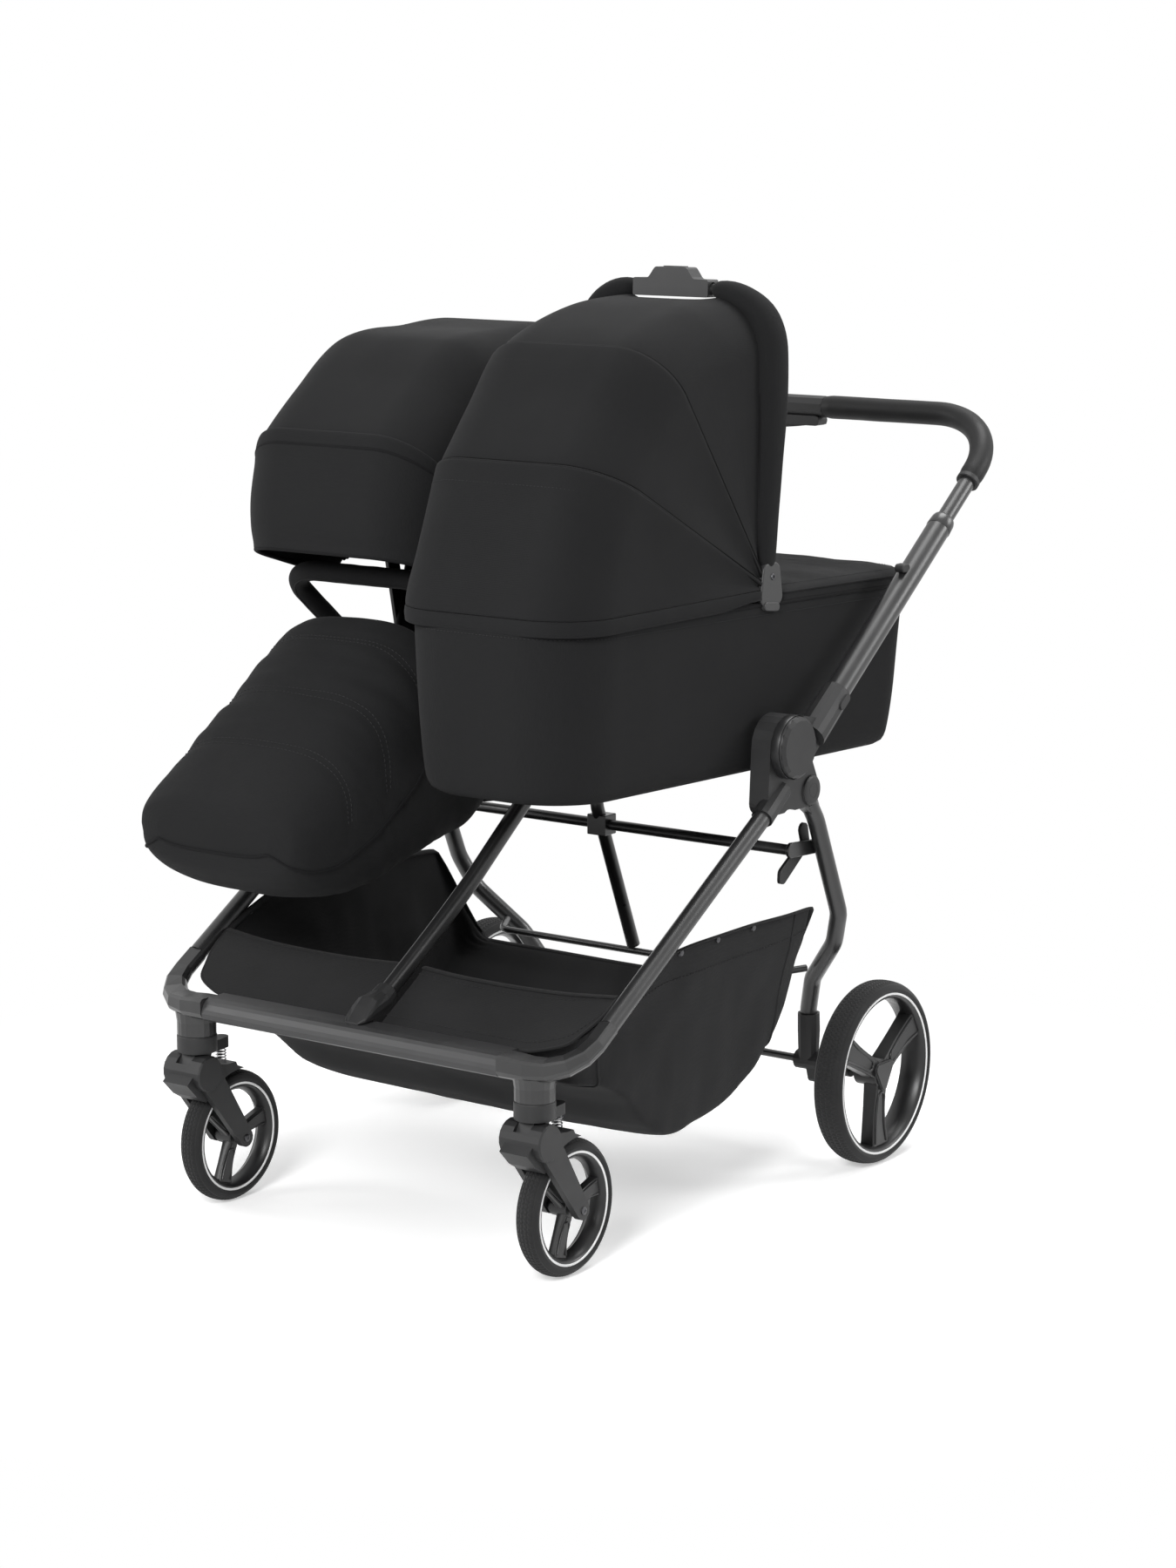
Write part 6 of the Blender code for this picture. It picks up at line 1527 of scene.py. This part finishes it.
class MakeWheels(bpy.types.Operator):
    """Makes each wheel's treaded tyre, its pale ring, its spoked rim and its hub cap"""

    bl_idname = "stroller.make_wheels"
    bl_label = "Wheels"

    def execute(self, context):
        depth = context.scene.stroller_sizes.tread_depth
        for name, body, axle, side, radius, rim, width, phase, hub, outward in WHEELS:
            middle = at(side * axle[0], *axle[1:])
            tyre = place(
                f"{name}_tyre_tread", self.tyre_shape(middle, radius, rim, width, depth), body,
                "tyre", sharp=28,
            )
            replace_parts(tyre, f"{name}_tyre")
            wheel = (middle, rim, width, phase, hub, outward)
            dish = place(f"{name}_rim_dish", self.dish_shape(wheel), body, "rim", sharp=32)
            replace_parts(dish, f"{name}_rim")
            spokes = self.spoke_shape(wheel, 0.115, 0.175)
            place(f"{name}_rim_spokes", spokes, body, "rim", 0.0022, 4)
            place(f"{name}_rim_ribs", self.rib_shape(wheel), body, "rim", sharp=60)
            self.make_hub(name, body, wheel)
            self.make_band(name, body, middle, rim, width)
        return {"FINISHED"}

    def tyre_shape(self, middle, radius, rim, width, depth):
        """The tyre's outline turned about the axle, with fine blocks cut in across its crown."""
        half = width / 2
        profile = [
            (rim + 0.0003, -half + 0.005), (rim + 0.0006, -half + 0.003), (rim + 0.0035, -half + 0.0008),
            (radius - 0.0105, -half), (radius - 0.0068, -half + 0.0018), (radius - 0.0045, -half + 0.0042),
        ]
        crown = []
        lanes = 8
        for i in range(lanes * 2 + 1):
            u = -1 + i / lanes
            offset = u * (half - 0.006)
            fall = 0.003 * abs(u) ** 2.6
            crown.append((radius - fall - 0.0002, offset))
        profile += crown + [(r, -o) for r, o in reversed(profile)]
        first, last = 6, 6 + len(crown)
        pitches = round(2 * pi * radius / 0.0064)
        sides = pitches * 4
        rings = []
        for i in range(sides):
            angle = 2 * pi * i / sides
            loop = []
            for k, (r, offset) in enumerate(profile):
                if first <= k < last:
                    lane = k - first
                    if (i + (lane // 2) * 2) % 4 == 0 or lane % 4 == 0:
                        r -= depth
                loop.append(middle + Vector((offset, r * cos(angle), r * sin(angle))))
            rings.append(loop)
        return bridge(rings, closed=True)

    def dish_shape(self, wheel):
        """The rim's well with its rolled outer lip, hollow towards the hub."""
        middle, rim, width, _, _, outward = wheel
        half = width / 2
        face = [
            (rim, half - 0.004), (rim - 0.0008, half - 0.0026), (rim - 0.003, half - 0.0022),
            (rim - 0.0048, half - 0.0034), (rim - 0.0066, half - 0.007), (rim - 0.0098, half * 0.3),
            (rim - 0.01, -half * 0.3), (rim - 0.0062, -half + 0.007), (rim - 0.0045, -half + 0.0035),
            (rim - 0.002, -half + 0.0028), (rim, -half + 0.004),
        ]
        return turned_ring(face, middle, AXIS_X * outward, 120)

    def dip(self, reach):
        """How far a spoke's face sinks at this share of the rim's radius."""
        return 0.0032 * sin(pi * min(max((reach - 0.16) / 0.8, 0), 1))

    def spoke_outline(self, middle, along, start, end, half, foot):
        """A spoke's outline (y, z), round at the hub and spreading towards the rim."""
        across = Vector((0, -along.z, along.y))
        origin = Vector((0, middle.y, middle.z))
        inner = origin + along * start
        points = []
        for k in range(13):
            a = radians(180 - 15 * k)
            points.append(inner - along * half * sin(a) + across * half * cos(a))
        for side, order in ((1, range(1, 9)), (-1, range(8, 0, -1))):
            for k in order:
                t = k / 8
                spread = half + (foot - half) * t ** 1.6
                points.append(origin + along * (start + (end - start) * t) + across * spread * side)
        return [(p.y, p.z) for p in points]

    def spoke_shape(self, wheel, half, foot):
        """Three spokes that dip from the rim's lip towards the hub, where they rise again."""
        middle, rim, width, phase, hub, outward = wheel
        depth = width / 2 - 0.0075
        shapes = []
        for i in range(3):
            angle = radians(phase + 120 * i)
            along = Vector((0, cos(angle), sin(angle)))
            outline = self.spoke_outline(middle, along, hub * 0.5, rim - 0.0075, rim * half, rim * foot)
            rings = []
            for face in (-0.55, -0.35, 1.0):
                loop = []
                for y, z in outline:
                    reach = (Vector((0, y, z)) - Vector((0, middle.y, middle.z))).dot(along) / rim
                    dip = self.dip(reach) if face > 0 else 0
                    loop.append(Vector((middle.x + outward * (depth * face - dip), y, z)))
                rings.append(loop)
            shapes.append(bridge(rings))
        return joined(*shapes)

    def rib_shape(self, wheel):
        """A raised U on each spoke, closed at the hub and open at the rim, with a slot inside it."""
        middle, rim, width, phase, hub, outward = wheel
        depth = width / 2 - 0.0075
        shapes = []
        for i in range(3):
            angle = radians(phase + 120 * i)
            along = Vector((0, cos(angle), sin(angle)))
            across = Vector((0, -along.z, along.y))
            start, end = hub + rim * 0.115, rim - 0.012
            half, foot = rim * 0.072, rim * 0.128
            shares = [k / 10 for k in range(10, 0, -1)]
            edge = [(start + (end - start) * t, half + (foot - half) * t ** 1.4) for t in shares]
            line = edge + arc(start, 0, half, 90, 270, 8) + [(u, -v) for u, v in reversed(edge)]
            path = []
            for u, v in line:
                face = outward * (depth - self.dip(u / rim) + 0.0002)
                path.append(middle + AXIS_X * face + along * u + across * v)
            section = ring(rim * 0.017, 0.0019, 2.6, 12)
            shapes.append(tube(through(path, 2), 1, up=AXIS_X * outward, section=section))
        return joined(*shapes)

    def make_hub(self, name, body, wheel):
        """The barrel on the axle and the rounded three-sided cap, or a round cap on a front wheel."""
        middle, _, width, _, hub, outward = wheel
        depth = width / 2 - 0.0075
        half = width / 2
        reach = hub * 0.86
        barrel = [
            (0.0062, -half + 0.001), (reach - 0.001, -half + 0.001), (reach, -half + 0.002),
            (reach, depth - 0.001), (reach - 0.0012, depth + 0.0006), (0.0062, depth + 0.0006),
        ]
        place(f"{name}_hub_barrel", turned_ring(barrel, middle, AXIS_X * outward, 56), body, "rim")
        if hub > 0.02:
            shapes = []
            for shrink, low, high in ((0.0, -0.002, 0.0035), (0.0016, 0.0034, 0.0046)):
                corners = arc(middle.y, middle.z, 0.0165, 30, 270, 2)
                cap = wrap([(y, z, 0.0085 - shrink) for y, z in corners])
                a, b = sorted((middle.x + outward * (depth + low), middle.x + outward * (depth + high)))
                shapes.append(slab(cap, a, b))
            place(f"{name}_hub_cap", joined(*shapes), body, "plastic_smooth", 0.0006, 3)
        else:
            for side in (1, -1):
                cap = [
                    (0.0001, 0.016), (0.0104, 0.016), (0.0104, 0.0198), (0.0098, 0.0202), (0.0001, 0.0202),
                ]
                label = "outer" if side > 0 else "inner"
                place(f"{name}_hub_{label}", turned(cap, middle, AXIS_X * side, 40), body, "rim")

    def make_band(self, name, body, middle, rim, width):
        """The thin pale ring let in between the tyre and the rim, on both faces."""
        half = width / 2
        shapes = []
        for side in (1, -1):
            x = middle.x + side * (half - 0.0026)
            loop = [Vector((x, y, z)) for y, z in arc(middle.y, middle.z, rim + 0.0002, 0, 357, 119)]
            shapes.append(tube(loop, 1, up=AXIS_X, section=ring(0.0017, 0.001, 2.6, 12), closed=True))
        place(f"{name}_pale_ring", joined(*shapes), body, "band")


# Frame tubes, grips and the other hard parts


def on_leg(distance, x):
    """A point of the front legs' line, this far up from the corner mouldings."""
    return at(x, LEG_Y + distance * cos(LEG_SLOPE), LEG_Z + distance * sin(LEG_SLOPE))


def on_handle(distance, x):
    """A point of the handle's line, which passes beside the hub."""
    along, up = cos(HANDLE_SLOPE), sin(HANDLE_SLOPE)
    return at(x, HUB_Y + HANDLE_OFFSET * up + distance * along, HUB_Z - HANDLE_OFFSET * along + distance * up)


HANDLE_UP = Vector((0, -sin(HANDLE_SLOPE), cos(HANDLE_SLOPE)))


def handle_line(start):
    """The handle's line from this far up the left tube, over the bar and down the right one."""
    half = HANDLE_HALF
    corners = [at(side * half, HANDLE_END_Y, HANDLE_END_Z) for side in (1, -1)]
    return even(fillet([on_handle(start, half), *corners, on_handle(start, -half)], 0.115, 20), 0.01)


class MakeTubes(bpy.types.Operator):
    """Makes the chassis's round tubes, which stand for the CAD's faceted ones"""

    bl_idname = "stroller.make_tubes"
    bl_label = "Frame tubes"

    def execute(self, context):
        for name, side in SIDES:
            leg = tube([on_leg(0.0002, side * 0.343), on_leg(0.42, side * 0.343)], 0.01225, 32)
            piece = place(f"front_leg_tube_{name}", leg, "frame", "tube")
            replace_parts(piece, f"front_leg_{name}")
            self.make_rear_leg(name, side)
            self.make_handle_tube(name, side)
        centre = through([
            at(0, 0.03, 0.3155), at(0, 0.104, 0.3605), at(0, 0.175, 0.405), at(0, 0.237, 0.447),
            at(0, 0.294, 0.49), at(0, 0.4, 0.57), at(0, 0.4465, 0.6045),
        ], 5)
        bar = tube(centre, 1, up=AXIS_Z, section=ring(0.0098, 0.011, 3, 32))
        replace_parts(place("centre_leg_tube", bar, "frame", "tube"), "centre_front_leg")
        self.make_rear_tubes()
        slide = tube(handle_line(0.3833), 0.0118, 32, HANDLE_UP)
        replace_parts(place("handle_slide_tube", slide, "handle_slide", "tube"), "handle_bar")
        return {"FINISHED"}

    def make_rear_leg(self, name, side):
        """A bent rear leg and the tongue that it turns on."""
        points = [
            (0.33, 0.557, 0.544), (0.33, 0.578, 0.515), (0.33, 0.64, 0.374),
            (0.312, 0.658, 0.326), (0.254, 0.696, 0.26), (0.23, 0.7235, 0.204),
            (0.23, 0.7256, 0.184),
        ]
        bends = [0.03, 0.05, 0.06, 0.045, 0.03]
        line = even(fillet([at(side * x, y, z) for x, y, z in points], bends, 10), 0.008)
        shapes = [tube(line, 0.012, 32, AXIS_X)]
        tongue = wrap([(0.538 - ORIGIN_Y, 0.564, 0.0196), (0.565 - ORIGIN_Y, 0.534, 0.0105)])
        shapes.append(slab(tongue, side * 0.33 - 0.0068, side * 0.33 + 0.0068))
        piece = place(f"rear_leg_tube_{name}", joined(*shapes), "rear_frame", "tube")
        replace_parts(piece, f"rear_leg_{name}")

    def make_rear_tubes(self):
        """The cross tube with its plates, the thin centre leg and the basket's rear rim."""
        y, z = 0.54 - ORIGIN_Y, 0.477
        shapes = [tube([Vector((-0.3154, y, z)), Vector((0.3154, y, z))], 0.0075, 28)]
        for side in (1, -1):
            plate = wrap([(y, z, 0.0105), (0.598 - ORIGIN_Y, z - 0.004, 0.01)])
            low, high = sorted((side * 0.3174, side * 0.3114))
            shapes.append(slab(plate, low, high))
        block = [(-0.0155, -0.014), (0.0155, -0.014), (0.0155, 0.014), (-0.0155, 0.014)]
        shapes.append(slab(block, -0.0145, 0.0145, AXIS_Z, Vector((0, y, z))))
        bar = place("rear_cross_bar", joined(*shapes), "rear_frame", "tube", 0.0015, 3)
        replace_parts(bar, "rear_cross_tube")
        foot = at(0, 0.6185, 0.288)
        lean = at(0, 0.54, 0.477) - foot
        knee = foot + lean * 1.16
        line = even(fillet([at(0, 0.534, 0.548), knee, foot], 0.02, 10), 0.008)
        leg = place("rear_centre_tube", tube(line, 0.0095, 28, AXIS_X), "rear_frame", "tube")
        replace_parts(leg, "centre_rear_leg")
        low = 0.2787
        half = [(0.261, 0.6665, low + 0.002), (0.235, 0.6185, low)]
        corners = [at(*p) for p in half] + [at(-x, y, z) for x, y, z in reversed(half)]
        line = even(fillet(corners, 0.02, 10), 0.008)
        rim = place("basket_rim_tube", tube(line, 0.005, 20), "rear_frame", "tube")
        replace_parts(rim, "basket_rear_rim")

    def make_handle_tube(self, name, side):
        """The handle's outer tube with its end collar, and the lug under it."""
        x = side * HANDLE_HALF
        line = [on_handle(0.0739, x), on_handle(0.4571, x)]
        collar = [on_handle(s, x) for s in (0.4531, 0.454, 0.469, 0.473, 0.4745)]
        shapes = [tube(line, 0.017, 40, HANDLE_UP)]
        shapes.append(tube(collar, 0.0178, 40, HANDLE_UP, (0.97, 1, 0.95, 0.88, 0.8)))
        piece = place(f"handle_outer_tube_{name}", joined(*shapes), "handle", "tube", sharp=50)
        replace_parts(piece, f"handle_tube_{name}")
        lug = on_handle(0.3535, 0)
        foot = lug + HANDLE_UP * 0.0192
        tip = lug + HANDLE_UP * 0.024 - (on_handle(1, 0) - on_handle(0, 0)) * 0.006
        outline = wrap([(foot.y, foot.z, 0.0064), (tip.y, tip.z, 0.006)])
        place(f"handle_lug_{name}", slab(outline, x - 0.007, x + 0.007), "handle", "plastic", 0.0018, 3)


class MakeGrips(bpy.types.Operator):
    """Makes the handle's two leather-like grips with their stitched seams and end collars"""

    bl_idname = "stroller.make_grips"
    bl_label = "Handle grips"

    def execute(self, context):
        whole = handle_line((GRIP_Y - on_handle(0, 0).y - ORIGIN_Y) / cos(HANDLE_SLOPE))
        middle = len(whole) // 2
        for name, side in SIDES:
            half = whole[:middle] if side > 0 else list(reversed(whole))[:middle]
            half = [p for p in half if abs(p.x) > 0.0453] + [at(side * 0.0453, HANDLE_END_Y, HANDLE_END_Z)]
            line = even(half, 0.004)
            count = len(line) - 1
            rings = []
            for i, (point, across, upright) in enumerate(frames_along(line, HANDLE_UP)):
                t = i / count
                end = min(1, (t * count + 0.3) / 3, ((1 - t) * count + 0.3) / 3)
                loop = []
                for u, v in ring(1, 1, 2, 36):
                    wave = ripple(point + (across * u + upright * v) * 0.02, 0.03, 1.0) * 0.00025
                    radius = 0.0152 + 0.0018 * end + wave
                    loop.append(point + (across * u + upright * v) * radius)
                rings.append(loop)
            grip = place(f"handle_grip_cover_{name}", bridge(rings), "handle_slide", "grip", sharp=50)
            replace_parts(grip, f"handle_grip_{name}")
            seam, normals = [], []
            for point, across, upright in frames_along(line, HANDLE_UP)[4:-4]:
                seam.append(point - upright * 0.0168)
                normals.append(-upright)
            stitches = stitch_shape(seam, normals, 0.0036, 0.0026, 0.0005)
            place(f"handle_grip_stitching_{name}", stitches, "handle_slide", "thread")
            ends = [whole[0], whole[1]] if side > 0 else [whole[-1], whole[-2]]
            ahead = (ends[1] - ends[0]).normalized()
            collar = [ends[0] + ahead * shift for shift in (-0.006, -0.005, 0.001, 0.0016)]
            place(
                f"handle_grip_collar_{name}", tube(collar, 0.0166, 36, HANDLE_UP, (0.93, 1, 1, 0.96)),
                "handle_slide", "plastic",
            )
        return {"FINISHED"}


class MakeFittings(bpy.types.Operator):
    """Makes the covers of the hubs and pivots, the swivels' collars, the axle buttons and the bolts"""

    bl_idname = "stroller.make_fittings"
    bl_label = "Hubs and fittings"

    def execute(self, context):
        for name, side in SIDES:
            axis = AXIS_X * side
            hub = at(side * 0.359, HUB_Y, HUB_Z)
            cap = [
                (0.0001, 0.0072), (0.024, 0.0072), (0.0245, 0.0066), (0.0255, 0.0066), (0.0262, 0.0073),
                (0.0335, 0.0074), (0.0375, 0.0066), (0.0405, 0.0045), (0.0416, 0.0018), (0.0418, -0.004),
                (0.0001, -0.004),
            ]
            place(f"hub_cover_{name}", turned(cap, hub, axis, 72), "handle", "plastic")
            rim = [
                (0.043, -0.0125), (0.0433, -0.0118), (0.0433, -0.0008), (0.0428, 0.0), (0.03, 0.0),
                (0.03, -0.0125),
            ]
            place(f"hub_rim_{name}", turned_ring(rim, hub, axis, 80), "handle", "plastic_smooth")
            pivot = at(side * 0.345, 0.538, 0.564)
            cover = [
                (0.0001, 0.0052), (0.009, 0.0052), (0.0094, 0.0046), (0.0104, 0.0046), (0.0108, 0.0052),
                (0.0165, 0.0051), (0.0196, 0.004), (0.0207, 0.0018), (0.0208, -0.004), (0.0001, -0.004),
            ]
            place(f"pivot_cover_{name}", turned(cover, pivot, axis, 56), "frame", "plastic")
            swivel = at(side * FRONT_AXLE[0], 0, 0.246)
            collar = [
                (0.0268, -0.0235), (0.027, -0.0225), (0.027, -0.0018), (0.0262, -0.0008), (0.021, -0.0008),
                (0.021, -0.0235),
            ]
            place(
                f"swivel_collar_{name}", turned_ring(collar, swivel, AXIS_Z, 64), f"caster_{name}", "plastic",
            )
            axle = at(side * REAR_AXLE[0], *REAR_AXLE[1:])
            knob = [(0.0001, 0.018), (0.0062, 0.018), (0.0074, 0.0172), (0.0076, 0.0155), (0.0001, 0.0155)]
            place(f"axle_button_{name}", turned(knob, axle, axis, 32), f"rear_wheel_{name}", "plastic_smooth")
            for face in (1, -1):
                bolt = at(side * FRONT_AXLE[0] + face * 0.03, *FRONT_AXLE[1:])
                head = [
                    (0.0001, 0.0012), (0.0018, 0.0012), (0.002, 0.0021), (0.004, 0.002), (0.0052, 0.0012),
                    (0.0054, -0.001), (0.0001, -0.001),
                ]
                label = "left" if face > 0 else "right"
                place(
                    f"caster_{name}_bolt_{label}", turned(head, bolt, AXIS_X * face, 28), f"fork_{name}",
                    "screw",
                )
        return {"FINISHED"}


CAD_FINISHES = {
    "frame": "tube", "plastic": "plastic", "grip": "grip", "tyre": "tyre", "fabric": "cloth",
    "lining": "lining", "steel": "steel",
}


# The footboard bar's paler finish is a painted highlight, standing in for the light along the bar's front.
OTHER_FINISHES = {
    "carrycot_grip": "moulding", "grip_button": "moulding", "footboard_bar": "moulding", "rear_axle": "tube",
}


class FinishParts(bpy.types.Operator):
    """Gives every CAD part that is still shown its finish and rounds its shading"""

    bl_idname = "stroller.finish_parts"
    bl_label = "Finishes of the hard parts"

    def execute(self, context):
        slots = {one["node"]: one["material_slot"] for one in frame["record"]["subparts"]}
        for name, part in NODES.items():
            key = OTHER_FINISHES.get(name, CAD_FINISHES[slots[name]])
            if "_rim" in name and "basket" not in name:
                key = "rim"
            part.data.materials.clear()
            part.data.materials.append(finish(key))
            part.data.shade_smooth()
            part.data.set_sharp_from_angle(angle=radians(38))
        return {"FINISHED"}


# Basket


BASKET_STATIONS = (
    (0.0188, 0.268, 0.296, 0.243, 0.236), (0.06, 0.25, 0.318, 0.308, 0.3),
    (0.12, 0.232, 0.357, 0.33, 0.305), (0.175, 0.2, 0.38, 0.33, 0.3),
    (0.23, 0.152, 0.395, 0.33, 0.29), (0.3, 0.124, 0.398, 0.33, 0.285),
    (0.4, 0.13, 0.398, 0.33, 0.28), (0.5, 0.172, 0.395, 0.33, 0.278),
    (0.575, 0.232, 0.392, 0.324, 0.272), (0.6045, 0.262, 0.2745, 0.262, 0.256),
)
WHEEL_ROOM = 0.023


def basket_section(y):
    """The sling's outline (x, z) across the stroller at a station, from the left hem to the right."""
    low, top, half, floor = smooth_value(BASKET_STATIONS, y)
    wall = top - low
    rise = min(0.05, wall * 0.45)
    lean = WHEEL_ROOM * min(1, wall / 0.1)
    left = [
        (half, top), (half - lean * 0.55, top - wall * 0.3), (half - lean, low + wall * 0.42 + rise * 0.3),
        ((half - lean + floor) / 2, low + rise * 0.45), (floor, low + rise * 0.12), (floor * 0.55, low),
    ]
    row = left + [(0, low - 0.001)] + [(-x, z) for x, z in reversed(left)]
    line = through([(x, 0, z) for x, z in row], 10)
    return respaced(line, 110)


class MakeBasket(bpy.types.Operator):
    """Makes the shopping basket's sling with its hems, seams and press studs, and its front panels"""

    bl_idname = "stroller.make_basket"
    bl_label = "Shopping basket"

    def execute(self, context):
        sizes = context.scene.stroller_sizes
        first, last = BASKET_STATIONS[0][0], BASKET_STATIONS[-1][0]
        rows = 110
        grid = []
        for i in range(rows + 1):
            y = first + (last - first) * i / rows
            line = []
            for k, p in enumerate(basket_section(y)):
                point = at(p.x, y, p.z)
                edge = min(1, k / 6, (110 - k) / 6, i / 6, (rows - i) / 6)
                crease = ripple(Vector((point.x * 0.6, point.y * 2.2, point.z)), 0.1, 3.0)
                fold = ripple(Vector((point.x, point.y, point.z * 1.5)), 0.045, 6.0)
                push = (crease * 2.2 + fold * 0.7) * sizes.folds * max(edge, 0)
                inward = Vector((-point.x, 0, 0.25 - point.z)).normalized()
                line.append(point + inward * push)
            grid.append(line)
        sling = cloth("basket_sling", grid, None, "basket", 0.0016)
        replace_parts(sling, "basket")
        hems, seams = [], []
        for side in (0, -1):
            edge = [row[side] for row in grid]
            hems.append(tube(even(edge, 0.006), 1, up=AXIS_X, section=ring(0.002, 0.0055, 3, 12)))
            outwards = AXIS_X if side == 0 else -AXIS_X
            inner = [row[4 if side == 0 else -5] + outwards * 0.0006 for row in grid]
            seams.append(stitch_shape(inner, outwards, *BOLD_STITCH))
        hems.append(tube(even(grid[-1], 0.006), 1, up=AXIS_Z, section=ring(0.0052, 0.0024, 3, 12)))
        pieces = [loose("basket_hems", joined(*hems), "basket")]
        for i in (16, 96):
            line = [p - AXIS_Z * 0.0004 for p in grid[i]]
            welt = tube(even(line, 0.006), 1, up=AXIS_Y, section=ring(0.0013, 0.0026, 2.5, 10))
            beside = [p + AXIS_Y * 0.004 + AXIS_Z * 0.0012 for p in grid[i]]
            seams.append(stitch_shape(beside, AXIS_Z, *BOLD_STITCH))
            pieces.append(loose(f"basket_seam_{i}", welt, "basket"))
        pieces.append(loose("basket_stitching", joined(*seams), "thread"))
        pieces.append(self.make_studs(grid))
        for piece in [sling] + pieces:
            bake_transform(piece)
        self.make_panels(sizes)
        return {"FINISHED"}

    def make_studs(self, grid):
        """Press studs along the upper hem, on both faces at each side."""
        cap = [(0.0001, 0.0016), (0.0022, 0.0015), (0.004, 0.0009), (0.0045, 0.0), (0.0001, -0.001)]
        studs = []
        for side, sign in ((0, 1), (-1, -1)):
            for i in (28, 44, 60, 76):
                point = grid[i][side] - AXIS_Z * 0.004
                studs.append(turned(cap, point + AXIS_X * sign * 0.0012, AXIS_X * sign, 24))
                studs.append(turned(cap, point - AXIS_X * sign * 0.0014, AXIS_X * -sign, 24))
        return loose("basket_press_studs", joined(*studs), "screw")

    def make_panels(self, sizes):
        """The two cloth panels between the front legs and the footboard, hemmed and stitched."""
        slope = tan(LEG_SLOPE)
        inner, outer = 0.0185, 0.3256
        front = [
            (inner, 0.0183), (0.25, 0.0183), (0.281, 0.027), (0.305, 0.04), (0.3135, 0.057),
            (outer - 0.002, 0.085), (outer, 0.118),
        ]
        back = [(inner, 0.112), (0.08, 0.108), (0.16, 0.107), (0.25, 0.11), (outer, 0.118)]
        low = through([(x, y, 0) for x, y in front], 8)
        high = through([(x, y, 0) for x, y in back], 8)
        for name, side in SIDES:
            grid = []
            columns, rows = 72, 26
            low_line = respaced(low, columns)
            high_line = respaced(high, columns)
            for k in range(rows + 1):
                t = k / rows
                line = []
                for a, b in zip(low_line, high_line):
                    p = a.lerp(b, t)
                    sag = sin(pi * t) * min(1, (outer - p.x) / 0.05, (p.x - inner) / 0.05)
                    wave = ripple(Vector((p.x, p.y * 1.6, 0)), 0.06, 4.0 + side) * sizes.folds * 1.3
                    z = LEG_Z + (p.y - LEG_Y) * slope
                    line.append(at(side * p.x, p.y, z + (wave - 0.0012) * max(sag, 0)))
                grid.append(line)
            panel = cloth(f"front_panel_{name}", grid, "frame", "panel", 0.0018)
            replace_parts(panel, f"basket_front_panel_{name}")
            hem = tube(even(grid[-1], 0.006), 1, up=AXIS_Z, section=ring(0.0048, 0.002, 3, 12))
            edge = tube(even(grid[0], 0.006), 1, up=AXIS_Z, section=ring(0.003, 0.0019, 3, 12))
            place(f"front_panel_hems_{name}", joined(hem, edge), "frame", "panel")
            rows_of = []
            for k in (-4, 4):
                line = [p + AXIS_Z * 0.0006 for p in grid[k]]
                rows_of.append(stitch_shape(line, AXIS_Z, 0.0038, 0.0026, 0.0005))
            place(f"front_panel_stitching_{name}", joined(*rows_of), "frame", "thread")


# Panel and run


class StrollerPanel(bpy.types.Panel):
    """The sidebar's list of the stroller's pieces"""

    bl_idname = "VIEW3D_PT_stroller"
    bl_label = "Stroller"
    bl_space_type = "VIEW_3D"
    bl_region_type = "UI"
    bl_category = "Stroller"

    def draw(self, context):
        for settings in (context.scene.stroller_colours, context.scene.stroller_sizes):
            column = self.layout.column(align=True)
            for name in settings.__annotations__:
                column.prop(settings, name)
        column = self.layout.column(align=True)
        for step in STEPS:
            column.operator(step.bl_idname)


STEPS = (
    FinishParts, MakeTubes, MakeGrips, MakeFittings, MakeWheels, MakeTub, MakeApron, MakeHood,
    MakeArch, MakeCanopy, MakeSeat, MakeFootmuff, MakeBasket, MakeStage,
)
CLASSES = (StrollerColours, StrollerSizes, *STEPS, StrollerPanel)


def register():
    for one in CLASSES:
        bpy.utils.register_class(one)
    bpy.types.Scene.stroller_colours = bpy.props.PointerProperty(type=StrollerColours)
    bpy.types.Scene.stroller_sizes = bpy.props.PointerProperty(type=StrollerSizes)


def unregister():
    del bpy.types.Scene.stroller_sizes
    del bpy.types.Scene.stroller_colours
    for one in reversed(CLASSES):
        bpy.utils.unregister_class(one)


def main():
    register()
    for step in STEPS:
        group, name = step.bl_idname.split(".")
        getattr(getattr(bpy.ops, group), name)()


if __name__ == "__main__":
    main()
